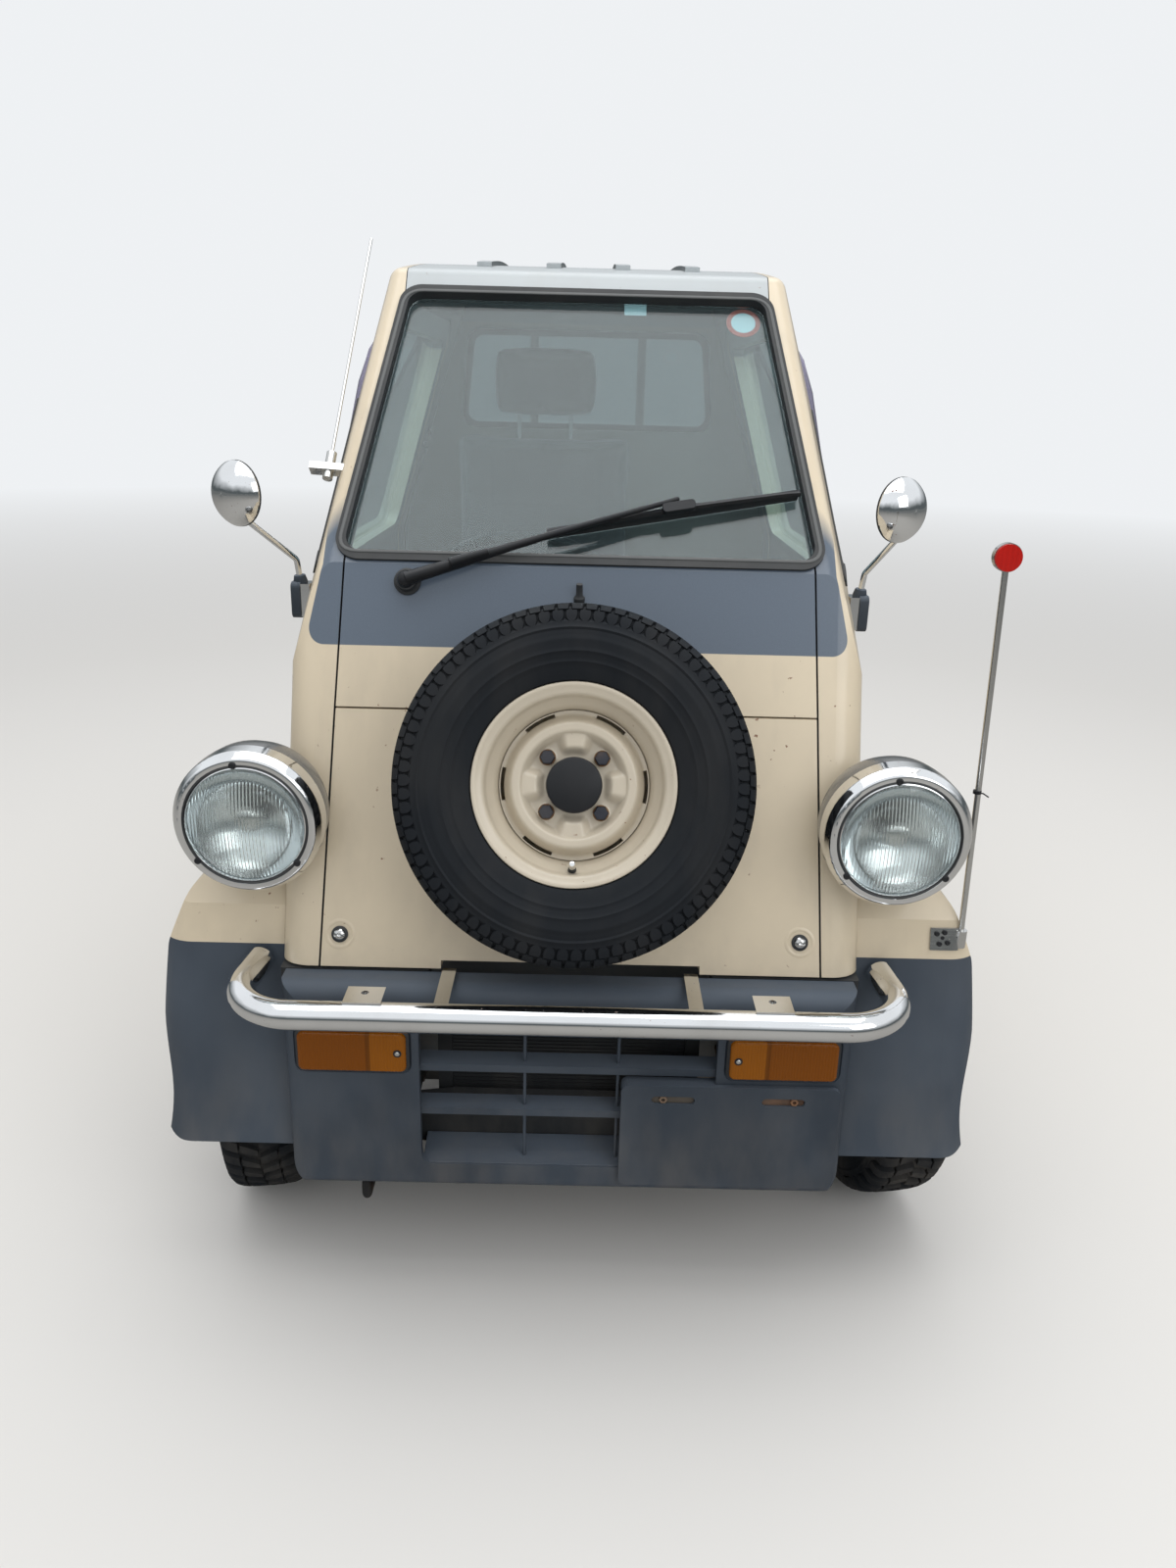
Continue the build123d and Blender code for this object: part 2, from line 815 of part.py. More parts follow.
def build_cab_glass(quarter_glass):
    band = rear_seal_band + glass_gap
    low, high = rear_window_low_z, rear_window_high_z
    rear = along_y(
        trapezoid(
            rear_window_half_low - band, rear_window_half_high - band,
            low + band, high - band, window_corner - 10,
        ),
        cab_back_y - glass_inset - glass_skin, cab_back_y - glass_inset,
    )
    return [rear] + pair(quarter_glass)


def fender_form(inset, drop):
    """Front fender pod on the left, with its flare; inset draws it in, drop carries it below its edge."""
    lean = radians(fender_lean)
    front = fender_front_y + inset / cos(lean) - drop * tan(lean)
    outer = fender_outer - inset
    low = fender_low_z - drop
    plan = [(380, front, 0), (outer, front, fender_corner - inset), (outer, -300, 0), (380, -300, 0)]
    pod = extrude(Plane.XY.offset(low) * outline(plan), amount=640, dir=Vector(0, sin(lean), cos(lean)))
    top = fender_top_z - inset
    across = along_y([
        (380, low, 0), (outer - 9, low, flare_corner), (outer, 400, 60), (outer - 19, fender_line_z - 8, 60),
        (outer - 59, 655, 70), (outer - 127, top, 80), (380, top, 0),
    ], -1350, fender_rear_y - inset)
    along = along_x([
        (-1350, low, 0), (-1350, 540, 0), (-1216 + inset, 590, 60), (-1130 + inset, top, 110),
        (-800, top, 200), (fender_rear_y - inset, 600, 60), (fender_rear_y - inset, low, 0),
    ], 300, 700)
    return pod & across & along


def build_fenders(cab_solid):
    """Left fender: painted upper part and the plastic flare below it, over the wheel."""
    shell = fender_form(0.0, 0.0) - fender_form(fender_skin, 60.0) - cab_solid
    shell -= headlamp_bucket_form(lamp_seat_gap)
    shell -= block(200, bumper_half, -1400, -1180, 100, bumper_top_z)
    shell -= Pos(fender_outer, front_axle_y, tyre_radius) * Rot(0, 90, 0) * Cylinder(arch_radius, 240)
    flare_region = along_x([
        (-1400, 100, 0), (-1400, fender_line_z, 0), (-1165, fender_line_z, 120), (-1060, flare_crest_z, 150),
        (-850, flare_crest_z, 150), (-705, fender_line_z - 10, 100),
        (-560, fender_line_z - 20, 0), (-560, 100, 0),
    ], 300, 700)
    return shell - flare_region, shell & flare_region


def bumper_form(inset):
    """Bumper as a solid with rounded edges; inset draws it in on all sides but the rear."""
    low, top, half = bumper_low_z + inset, bumper_top_z - inset, bumper_half - inset
    face, rear = bumper_face_y + inset, nose_foot_y - 2 + inset
    lip, edge = max(2.0, bumper_lip_round - inset), max(2.0, bumper_round - inset)
    corner, side_round = max(2.0, bumper_corner - inset), max(2.0, bumper_side_round - inset)
    profile = along_x([(rear, low, 0), (face, low, lip), (face, top, edge), (rear, top, 0)], -half, half)
    front = along_y(
        [(-half, low, corner), (half, low, corner), (half, top, 0), (-half, top, 0)], face - 9, rear + 9,
    )
    plan = along_z(
        [(-half, rear, 0), (-half, face, side_round), (half, face, side_round), (half, rear, 0)],
        low - 9, top + 9,
    )
    return profile & front & plan


def build_bumper():
    """Plastic bumper: hollow moulding with its grille, number plate panel and lamp recesses."""
    skin = bumper_skin
    body = bumper_form(0.0) - bumper_form(skin)
    opening = rectangle(-grille_half, grille_half, grille_low_z, grille_high_z, grille_corner)
    body -= along_y(opening, bumper_face_y - 10, bumper_face_y + 25)
    for z, right in zip(slat_heights, (grille_half + 6, plate_panel_left + 20)):
        slat = along_x([
            (bumper_face_y + 8, z - slat_height / 2 + 4, 0), (bumper_face_y + 8, z + slat_height / 2 - 4, 0),
            (bumper_face_y + slat_depth, z + slat_height / 2, 0),
            (bumper_face_y + slat_depth, z - slat_height / 2, 0),
        ], -grille_half - 6, right)
        body += slat
    for x in grille_rods:
        body += rod(
            (x, bumper_face_y + 20, grille_low_z - 6),
            (x, bumper_face_y + 20, grille_high_z + 6), grille_rod_radius,
        )
    body += along_y(
        rectangle(plate_panel_left, plate_panel_right, plate_panel_low_z, plate_panel_high_z, 12),
        bumper_face_y - plate_panel_proud, bumper_face_y + skin + 4,
    )
    for step in (-0.5, 0.5):
        x = plate_slot_centre_x + step * plate_slot_spacing
        slot = rectangle(
            x - plate_slot_length / 2, x + plate_slot_length / 2,
            plate_slot_z - plate_slot_height / 2,
            plate_slot_z + plate_slot_height / 2, plate_slot_height / 2 - 0.01,
        )
        body -= along_y(slot, bumper_face_y - 30, bumper_face_y + 60)
    recess = fillet(
        along_y(
            rectangle(
                turn_lamp_inner - lamp_recess, turn_lamp_outer + lamp_recess,
                turn_lamp_low_z - lamp_recess, turn_lamp_high_z + lamp_recess, 9 + lamp_recess,
            ),
            bumper_face_y - 5, bumper_face_y + lamp_recess_depth,
        ).edges().group_by(Axis.Y)[-1], lamp_recess_depth - 0.5,
    )
    for lamp in pair(turn_lamp_form(0.0)) + pair(recess):
        body -= lamp
    return body


def turn_lamp_form(shrink):
    return along_y(
        rectangle(
            turn_lamp_inner + shrink, turn_lamp_outer - shrink,
            turn_lamp_low_z + shrink, turn_lamp_high_z - shrink, 9
        ),
        bumper_face_y - turn_lamp_proud, bumper_face_y + turn_lamp_depth,
    )


def build_turn_lamps():
    lamp = turn_lamp_form(turn_lamp_clearance)
    return pair(fillet(lamp.edges().group_by(Axis.Y)[0], 5))


def build_radiator():
    """Radiator core between its two tanks, standing on the front cross member."""
    back = radiator_front_y + radiator_depth
    low = cab_floor_z + glass_gap
    core = block(
        -radiator_half + 18, radiator_half - 18, radiator_front_y + 5, back - 5, low, radiator_high_z,
    )
    for x in (-radiator_half, radiator_half - 22):
        core += block(x, x + 22, radiator_front_y, back, low, radiator_high_z)
    return core


def build_bumper_bar():
    """Chromed pipe with two flat posts back to the bumper and two drilled tabs for extra lamps."""
    centre_y = bar_front_y + bar_radius
    bar = tube_path([
        (-bar_end_half, bar_end_y, bar_z), (-bar_half, centre_y, bar_z),
        (bar_half, centre_y, bar_z), (bar_end_half, bar_end_y, bar_z),
    ], bar_bend, bar_radius)
    post_low = bumper_top_z + glass_gap
    tab_low = bar_z + bar_radius - 3
    for side in (-1, 1):
        x = side * bar_post_x
        bar += block(
            x - bar_post_width / 2, x + bar_post_width / 2, centre_y,
            nose_foot_y - 5, post_low, post_low + bar_post_skin
        )
        x = side * bar_tab_x
        tab = block(
            x - bar_tab_width / 2, x + bar_tab_width / 2, centre_y - 4, centre_y - 4 + bar_tab_length,
            tab_low, tab_low + bar_tab_skin,
        )
        bar += tab - Pos(x, centre_y + bar_tab_length / 2 + 2, tab_low) * Cylinder(bar_tab_hole_radius, 40)
    return bar


def lamp_plane(side):
    return Plane(origin=(side * lamp_x, lamp_y, lamp_z), x_dir=(1, 0, 0), z_dir=(0, -1, 0))


def headlamp_bucket_form(grow):
    """Outer form of the left headlamp's bowl; grow widens it into the seat that is cut for it."""
    bowl = spun([
        (0, -lamp_bucket_depth - grow, 0), (lamp_bucket_tip + grow, -lamp_bucket_depth - grow, 30),
        (lamp_bucket_radius + grow, -46, 50), (lamp_bucket_radius + grow, -6, 0), (0, -6, 0),
    ])
    return lamp_plane(1) * bowl


def build_headlamps():
    """Bowls, chrome rims and domed lenses of both headlamps."""
    hollow = lamp_plane(1) * spun([
        (0, -lamp_bucket_depth + 8, 0), (lamp_bucket_tip - 6, -lamp_bucket_depth + 8, 24),
        (lamp_bucket_radius - 7, -44, 44), (lamp_bucket_radius - 7, 5, 0), (0, 5, 0),
    ])
    bucket = headlamp_bucket_form(0.0) - hollow
    inner = lamp_lens_radius - 2
    outer = lamp_rim_radius
    rim = lamp_plane(1) * spun([
        (inner, -5, 0), (inner, 8, 3), (inner + 11, 9, 7), (outer, -6, 9), (outer, -lamp_rim_depth, 0),
        (lamp_bucket_radius + glass_gap, -lamp_rim_depth, 0), (lamp_bucket_radius + glass_gap, -5, 0),
    ])
    edge = inner - glass_gap
    dome = ThreePointArc((0, lamp_crown), (edge * 0.53, lamp_crown * 0.72), (edge, 0))
    back = Polyline((edge, 0), (edge, -5), (0, lamp_crown - 5), (0, lamp_crown))
    lens = lamp_plane(1) * revolve(Plane.XZ * make_face([dome, back]), axis=Axis.Z)
    return pair(bucket), pair(rim), pair(lens)


def build_wheel(with_hub):
    """Pressed steel wheel about +Z, street side up, with its cap, bolts and, on the road, hub and drum."""
    lip, skin, seat, flange = flange_lip, rim_skin, rim_seat_radius, rim_flange_radius
    half = rim_half_width
    well = seat - 16
    wheel = spun([
        (flange, -half, 2), (flange, -half + lip, 2),
        (seat, -half + lip, rim_corner), (seat, -22, 3), (well, -10, 5),
        (well, 14, 5), (seat, 26, 3), (seat, half - lip, rim_corner),
        (flange, half - lip, 2), (flange, half, 2),
        (seat - skin, half, 3), (seat - skin, 29, 3), (well - skin, 17, 5), (well - skin, -12, 5),
        (seat - skin, -24, 3), (seat - skin, -half, 3),
    ])
    face, crown = disc_face, disc_face + disc_crown
    step, edge = disc_step_radius, disc_edge_radius
    wheel += spun([
        (hub_bore_radius, face, 0), (step - 8, face, 5),
        (step + 3, crown, 6), (step + 17, crown, 8), (edge, 8, 5),
        (well - skin + 1, 4, 0), (well - skin + 1, -2, 0),
        (edge - 6, 3, 4), (step + 13, crown - disc_skin, 5),
        (step + 5, crown - disc_skin, 4), (step - 5, face - disc_skin, 4),
        (hub_bore_radius, face - disc_skin, 0),
    ])
    cap = Pos(0, 0, face) * Cylinder(cap_radius, cap_height, align=(Align.CENTER, Align.CENTER, Align.MIN))
    wheel += fillet(cap.edges().group_by(Axis.Z)[-1], 5)
    for index in range(bolt_count):
        turn = 360.0 / bolt_count * index + 45.0
        head = extrude(Plane.XY.offset(face - 1) * RegularPolygon(bolt_radius, 6), amount=bolt_height + 1)
        wheel += Rot(0, 0, turn) * Pos(bolt_circle_radius, 0, 0) * head
    if with_hub:
        wheel += spun([
            (hub_bore_radius, -drum_depth, 0), (drum_radius, -drum_depth, 8), (drum_radius, 0, 8),
            (step - 12, face - disc_skin, 0), (hub_bore_radius, face - disc_skin, 0),
        ])
    for index in range(slot_count):
        turn = 360.0 / slot_count * index + 45.0
        ring = spun([
            (edge - 4, -8, 0), (edge - 4 + slot_width, -8, 0),
            (edge - 4 + slot_width, 16, 0), (edge - 4, 16, 0),
        ], slot_arc)
        wheel -= Rot(0, 0, turn - slot_arc / 2) * ring
    return wheel


def build_tyre():
    """Tyre about +Z: beads on the rim, bulged sidewalls, flat tread with rounded shoulders."""
    bore, side = rim_seat_radius + glass_gap, tyre_width / 2
    bead, flange = rim_half_width - flange_lip - glass_gap, rim_flange_radius + glass_gap
    heel = rim_corner + glass_gap
    return spun([
        (bore, -bead, heel), (bore, bead, heel), (flange, bead, 0), (flange + 2, rim_half_width, 0),
        (sidewall_radius, side, 60), (tyre_radius, tread_half_width, tread_shoulder),
        (tyre_radius, -tread_half_width, tread_shoulder), (sidewall_radius, -side, 60),
        (flange + 2, -rim_half_width, 0), (flange, -bead, 0),
    ])


def wheel_place(side, axle_y):
    """Place for a wheel built about +Z, its street side outwards."""
    return Plane(origin=(side * wheel_x, axle_y, tyre_radius), x_dir=(0, 0, 1), z_dir=(side, 0, 0))


def steering_axis(side):
    """Line through the lower ball joint and the top of the strut."""
    foot = Vector(side * ball_joint_x, front_axle_y, ball_joint_z)
    top = Vector(side * strut_top_x, front_axle_y, strut_top_z)
    return Axis(origin=foot, direction=top - foot)


def steered(shape, side):
    return shape.rotate(steering_axis(side), steer_rest)


def axis_point(z):
    """Point of the left steering axis at height z."""
    share = (z - ball_joint_z) / (strut_top_z - ball_joint_z)
    return (ball_joint_x + share * (strut_top_x - ball_joint_x), front_axle_y, z)


def build_knuckle():
    """Left front knuckle, wheels straight ahead: stub axle, carrier, ball joint boss and strut tube."""
    inner_x = wheel_x - drum_depth - 8
    y, z = front_axle_y, tyre_radius
    knuckle = rod((inner_x - 22, y, z), (wheel_x + disc_face - 8, y, z), stub_radius)
    knuckle += rod((inner_x - 26, y, z), (inner_x, y, z), 36)
    way = Vector(*axis_point(strut_top_z)) - Vector(*axis_point(ball_joint_z))
    foot = Plane(origin=axis_point(ball_joint_z), z_dir=way)
    knuckle += extrude(
        foot.offset(-ball_joint_height / 2) * Circle(ball_joint_radius), amount=ball_joint_height,
    )
    knuckle += along_x([
        (y - 10, ball_joint_z - 6, 0), (y + 10, ball_joint_z - 6, 0), (y + 28, z, 0), (y + 18, z + 60, 0),
        (y - 18, z + 60, 0), (y - 28, z, 0),
    ], inner_x - 18, inner_x - 2)
    tube = Plane(origin=axis_point(z + 30), z_dir=way)
    knuckle += extrude(tube * Circle(strut_radius), amount=strut_tube_top_z - z - 30)
    arm = along_z([
        (inner_x - 20, y, 0), (inner_x - 4, y, 0), (inner_x - 26, y + 118, 8), (inner_x - 44, y + 118, 8),
    ], z - 34, z - 20)
    return knuckle + arm


def strut_tube_end():
    """Where the left strut tube ends along the steering axis."""
    start = Vector(*axis_point(tyre_radius + 30))
    way = (Vector(*axis_point(strut_top_z)) - start).normalized()
    return start + way * (strut_tube_top_z - tyre_radius - 30), way


def build_front_suspension():
    """Cross member, steering rack, lower arms, strut rods and springs."""
    y = front_axle_y
    body = block(
        -rail_centre_x - 30, rail_centre_x + 30, y - 34, y + 34,
        cab_floor_z - rail_depth - 50, cab_floor_z - rail_depth,
    )
    pieces = [body]
    foot = axis_point(ball_joint_z)
    way = (Vector(*axis_point(strut_top_z)) - Vector(*foot)).normalized()
    socket = Plane(origin=foot, z_dir=way).offset(-ball_joint_height / 2 - running_gap - 18)
    arm = extrude(socket * Circle(14), amount=18)
    end = socket.origin + way * 3
    for step in (-58, 58):
        arm += rod((rail_centre_x + 20, y + step, cab_floor_z - rail_depth - 26), (end.X, end.Y, end.Z), 7)
        arm += rod(
            (rail_centre_x + 20, y + step - 12, cab_floor_z - rail_depth - 26),
            (rail_centre_x + 20, y + step + 12, cab_floor_z - rail_depth - 26), 15,
        )
        arm += block(
            rail_centre_x - 20, rail_centre_x + 24,
            y + min(0, step) - 8 * (step < 0), y + max(0, step) + 8 * (step > 0),
            cab_floor_z - rail_depth - 34, cab_floor_z - rail_depth - 18,
        )
    start, way = strut_tube_end()
    leg = Plane(origin=start + way * running_gap, z_dir=way)
    length = (tower_z - start.Z) / way.Z + 20
    spring_leg = extrude(leg * Circle(strut_rod_radius), amount=length)
    spring_leg += extrude(leg.offset(34) * Circle(coil_radius), amount=length - 34)
    spring_leg &= block(wheelhouse_x, 560, tower_front_y, tower_back_y, 300, tower_z - glass_gap)
    pieces += pair(spring_leg)
    rack_y = y + 118
    rack = rod((-rail_centre_x + 40, rack_y, 330 - 118), (rail_centre_x - 40, rack_y, 330 - 118), 20)
    rack += block(-180, -130, y + 30, rack_y, 196, 226) + block(130, 180, y + 30, rack_y, 196, 226)
    whole = body + arm + other_side(arm) + rack
    return [whole] + pieces[1:]


def build_frame():
    """Ladder frame: two box rails that kick up over the rear axle, and their cross members."""
    low, depth, rear = cab_floor_z - rail_depth, rail_depth, rail_rear_z
    profile = [
        (rail_front_y, low, 0), (rail_kick_start_y, low, 80),
        (rail_kick_end_y, rear, 80), (rail_rear_y, rear, 0),
        (rail_rear_y, rear + depth, 0), (rail_kick_end_y - 22, rear + depth, 80),
        (rail_kick_start_y - 22, low + depth, 80), (rail_front_y, low + depth, 0),
    ]
    rail = along_x(profile, rail_centre_x - rail_width / 2, rail_centre_x + rail_width / 2)
    frame = rail + other_side(rail)
    half, wide = rail_centre_x, cross_member_width / 2
    for y in cross_member_places:
        frame += block(-half, half, y - wide, y + wide, low, low + depth)
    for y in rear_cross_member_places:
        frame += block(-half, half, y - wide, y + wide, rear, rear + depth)
    for y in (spring_front_y, spring_rear_y):
        for side in (-1, 1):
            hanger = along_x([
                (y - 24, rear + 30, 0), (y + 24, rear + 30, 0),
                (y + 16, spring_eye_z - 16, 12), (y - 16, spring_eye_z - 16, 12),
            ], 0, spring_x + spring_width / 2 + 10 - half)
            hanger = Pos(half, 0, 0) * hanger
            hanger -= block(
                spring_x - spring_width / 2 - 0.5, spring_x + spring_width / 2 + 0.5,
                y - 60, y + 60, 300, spring_eye_z + 24
            )
            frame += hanger if side > 0 else other_side(hanger)
    hook_y = rail_front_y + 42
    hook = tube_path([
        (-tow_hook_x, hook_y, low + 10), (-tow_hook_x, hook_y, 190), (-tow_hook_x, hook_y - 72, 182),
        (-tow_hook_x, hook_y - 72, 152), (-tow_hook_x, hook_y - 32, 152),
    ], 11, tow_hook_radius)
    frame += hook + block(-tow_hook_x - 10, -half, hook_y - 14, hook_y + 60, low + 4, low + 30)
    return frame


def build_rear_axle():
    """Live axle with its differential, stub ends, leaf springs and their clamps."""
    y, z = rear_axle_y, tyre_radius
    axle = rod((-axle_tube_half, y, z), (axle_tube_half, y, z), axle_tube_radius)
    end = wheel_x + disc_face - 8
    axle += rod((-end, y, z), (end, y, z), stub_radius)
    bowl = spun([
        (0, -diff_width / 2, 0), (60, -diff_width / 2, 20), (diff_radius, 0, 40),
        (60, diff_width / 2, 20), (0, diff_width / 2, 0),
    ])
    axle += Pos(0, y, z) * Rot(0, 90, 0) * bowl
    axle += rod((0, y, z), (0, y - pinion_length, z), 34)
    thick, eye = spring_thickness, spring_eye_z
    upper = ThreePointArc((spring_front_y, eye), (y, spring_seat_z + thick), (spring_rear_y, eye))
    lower = ThreePointArc((spring_rear_y, eye - thick), (y, spring_seat_z), (spring_front_y, eye - thick))
    ends = [
        Line((spring_rear_y, eye), (spring_rear_y, eye - thick)),
        Line((spring_front_y, eye - thick), (spring_front_y, eye)),
    ]
    leaf = extrude(
        Plane.YZ.offset(spring_x - spring_width / 2) * make_face([upper, lower] + ends), amount=spring_width,
    )
    for end_y in (spring_front_y, spring_rear_y):
        leaf += rod(
            (spring_x - spring_width / 2, end_y, eye - thick / 2),
            (spring_x + spring_width / 2, end_y, eye - thick / 2), 15,
        )
    seat = block(spring_x - 34, spring_x + 34, y - 40, y + 40, z + 20, spring_seat_z + 4)
    seat += block(
        spring_x - 34, spring_x + 34, y - 40, y + 40, spring_seat_z + thick - 2, spring_seat_z + thick + 8,
    )
    for step_x in (-29, 29):
        for step_y in (-32, 32):
            x = spring_x + step_x
            seat += rod((x, y + step_y, z - 36), (x, y + step_y, spring_seat_z + thick + 12), 4.5)
    seat += block(spring_x - 34, spring_x + 34, y - 40, y + 40, z - 38, z - 30)
    side = leaf + seat
    return axle + side + other_side(side)


def build_engine():
    """Engine under the seat as one block, with its mounts, gearbox and propeller shaft."""
    engine = along_y(
        rectangle(-engine_half, engine_half, engine_low_z, engine_high_z, 24), engine_front_y, engine_rear_y,
    )
    gearbox_end = engine_rear_y + gearbox_length
    engine += along_y(
        rectangle(-gearbox_half, gearbox_half, gearbox_low_z, gearbox_high_z, 26),
        engine_rear_y - 5, gearbox_end
    )
    shaft_z = (gearbox_low_z + gearbox_high_z) / 2 - 10
    stop_y = rear_axle_y - pinion_length
    shaft = rod((0, gearbox_end - 10, shaft_z), (0, stop_y + 30, tyre_radius - 2), prop_radius)
    engine += shaft & block(-60, 60, gearbox_end - 40, stop_y - running_gap, 100, 500)
    mount_half = rail_centre_x - rail_width / 2 - running_gap
    engine += block(-mount_half, mount_half, -60, -20, engine_low_z + 4, cab_floor_z - 6)
    return engine


def build_tank():
    """Fuel tank outside the left rail, hung on two brackets."""
    rail_side = rail_centre_x + rail_width / 2
    tank = along_y(
        rectangle(rail_side + 8, tank_outer_x, tank_low_z, tank_high_z, 26), tank_front_y, tank_rear_y
    )
    tank += block(rail_side + running_gap, rail_side + 42, tank_front_y + 30, tank_front_y + 54, 262, 350)
    tank += block(rail_side + running_gap, rail_side + 42, tank_rear_y - 30, tank_rear_y - 6, 384, 430)
    return tank


def build_exhaust():
    """Exhaust pipe from the engine, silencer outside the right rail, tail pipe between spring and rail."""
    x, z, r = -silencer_x, silencer_z, pipe_radius
    low = cab_floor_z - rail_depth - r - 4
    port = engine_low_z + 18
    exhaust = rod((x, silencer_front_y, z), (x, silencer_rear_y, z), silencer_radius)
    exhaust += tube_path([
        (-engine_half - running_gap, 20, port), (-engine_half - 47, 20, port), (-engine_half - 47, 130, low),
        (x, 130, low), (x, 186, low), (x, 244, z), (x, silencer_front_y + 30, z),
    ], 18, r)
    exhaust += tube_path([
        (x, silencer_rear_y - 10, z), (x, silencer_rear_y + 40, z), (-tail_pipe_x, silencer_rear_y + 110, z),
        (-tail_pipe_x, tail_pipe_end_y, z + 20),
    ], 40, r)
    rail_side = -rail_centre_x - rail_width / 2 - running_gap
    exhaust += block(x + 22, rail_side, 300, 316, 276, 298)
    exhaust += block(x - 6, x + 6, 430, 446, z + silencer_radius - 8, 420)
    exhaust += block(x - 6, rail_side, 430, 446, 404, 420)
    return exhaust


def build_bed():
    """Open cargo bed: floor on cross sills, side walls with wheel arches, front wall and rear panel."""
    half, wall, floor_z = bed_half, bed_wall, bed_floor_top_z
    bed = block(-half + 2, half - 2, bed_front_y, bed_rear_y, floor_z - bed_floor_skin, floor_z)
    wall_side = along_x(rectangle(bed_front_y, bed_rear_y, bed_skirt_z, bed_top_z), half - wall, half)
    wall_side -= Pos(half, rear_axle_y, tyre_radius) * Rot(0, 90, 0) * Cylinder(arch_radius, 200)
    rail = along_x(
        rectangle(bed_front_y, bed_rear_y, bed_top_z - bed_rail_height, bed_top_z, 8),
        half - wall - 4, half + 10,
    )
    skirt_skin = along_x(
        rectangle(bed_front_y + 12, bed_rear_y - 12, bed_skirt_z - 5, floor_z - 40),
        half - wall - 1, half - 10,
    )
    side = wall_side + rail - skirt_skin
    for y0, y1 in bed_panels:
        side -= along_x(
            rectangle(y0, y1, bed_panel_low_z, bed_panel_high_z, 20), half - bed_panel_depth, half + 5,
        )
    bed += side + other_side(side)
    bed += block(-half + wall, half - wall, bed_front_y, bed_front_y + wall, floor_z - 2, bed_top_z)
    for y in bed_sill_places:
        bed += block(
            -bed_sill_half, bed_sill_half, y - bed_sill_width / 2, y + bed_sill_width / 2,
            rail_rear_z + rail_depth, floor_z - bed_floor_skin,
        )
    skin = rear_panel_skin
    bed += block(
        -half + wall - 2, half - wall + 2, bed_rear_y - skin, bed_rear_y, rear_bumper_high_z + 4, floor_z - 2,
    )
    reach = tailgate_barrel_length / 2 + hinge_slack
    for x in tailgate_hinges:
        for x0 in (x - reach - 8, x + reach):
            lug = along_x([
                (bed_rear_y - 4, floor_z - bed_floor_skin, 0), (tailgate_axis_y, floor_z - 8, 0),
                (tailgate_axis_y, floor_z + 4, 0), (bed_rear_y - 4, floor_z, 0),
            ], x0, x0 + 8)
            bed += lug + Pos(
                x0 + 4, tailgate_axis_y, tailgate_axis_z,
            ) * Rot(0, 90, 0) * Cylinder(tailgate_barrel_radius, 8)
        bed += Pos(
            x, tailgate_axis_y, tailgate_axis_z,
        ) * Rot(0, 90, 0) * Cylinder(tailgate_pin_radius, 2 * reach + 8)
    return bed


def build_tailgate():
    """Drop-down tailgate with pressed panels and its hinge barrels."""
    inner_y = bed_rear_y + swing_gap
    outer_y = inner_y + tailgate_thickness
    low = bed_floor_top_z + 8
    half = bed_half - 2
    gate = block(-half, half, inner_y, outer_y, low, bed_top_z)
    for x0, x1 in ((-half + 40, -40), (40, half - 40)):
        gate -= along_y(rectangle(x0, x1, low + 45, bed_top_z - 45, 18), outer_y - 7, outer_y + 5)
    for x in tailgate_hinges:
        reach = tailgate_barrel_length / 2
        leaf = block(x - reach + 1, x + reach - 1, outer_y - 4, tailgate_axis_y, tailgate_axis_z, low + 16)
        leaf += Pos(
            x, tailgate_axis_y, tailgate_axis_z,
        ) * Rot(0, 90, 0) * Cylinder(tailgate_barrel_radius, 2 * reach)
        bore = Cylinder(tailgate_pin_radius + running_gap, 2 * reach + 4)
        gate += leaf - Pos(x, tailgate_axis_y, tailgate_axis_z) * Rot(0, 90, 0) * bore
    return gate


def build_rear_flares():
    """Flares over the rear wheels, swept round the axle line."""
    place = Plane(origin=(0, rear_axle_y, tyre_radius), x_dir=(0, 1, 0), z_dir=(1, 0, 0))
    arc = 152.0
    section = [
        (arch_radius, bed_half, 0), (arch_radius, rear_flare_outer, 4),
        (arch_radius + 16, rear_flare_outer, 10),
        (rear_flare_radius, bed_half + 24, 22), (rear_flare_radius, bed_half, 0),
    ]
    flare = place * Rot(0, 0, 90 - arc / 2) * spun(section, arc)
    return pair(flare)


def build_guard():
    """Steel guard frame behind the cab, standing on the bed's front wall."""
    foot, y, r = bed_top_z + glass_gap, guard_y - 13, guard_radius
    guard = tube_path([
        (-guard_half, y, foot), (-guard_half, y, guard_top_z),
        (guard_half, y, guard_top_z), (guard_half, y, foot),
    ], 60, r)
    guard += rod((-guard_half, y, guard_mid_z), (guard_half, y, guard_mid_z), r - 2)
    for x in (-guard_bar_x, guard_bar_x):
        guard += rod((x, y, foot), (x, y, guard_top_z), r - 2)
    return guard


def build_rear_bumper():
    """Rear bumper with the recess for a number plate, on two brackets from the rails."""
    front = overall_length / 2 - rear_bumper_depth
    bumper = along_x([
        (front, rear_bumper_low_z, 6), (overall_length / 2, rear_bumper_low_z, 16),
        (overall_length / 2, rear_bumper_high_z, 16), (front, rear_bumper_high_z, 6),
    ], -rear_bumper_half, rear_bumper_half)
    bumper -= along_y(
        rectangle(-180, 180, rear_bumper_low_z + 12, rear_bumper_high_z - 6, 8),
        overall_length / 2 - 14, overall_length,
    )
    for side in (-1, 1):
        x = side * rail_centre_x
        bumper += block(
            x - 18, x + 18, spring_rear_y + 27, front + 4, rear_bumper_high_z - 40, rail_rear_z - glass_gap,
        )
    return bumper


def build_tail_lamps():
    lamp = along_y(
        rectangle(tail_lamp_inner, tail_lamp_outer, tail_lamp_low_z, tail_lamp_high_z, 12),
        bed_rear_y + glass_gap, bed_rear_y + tail_lamp_depth,
    )
    return pair(fillet(lamp.edges().group_by(Axis.Y)[-1], 6))


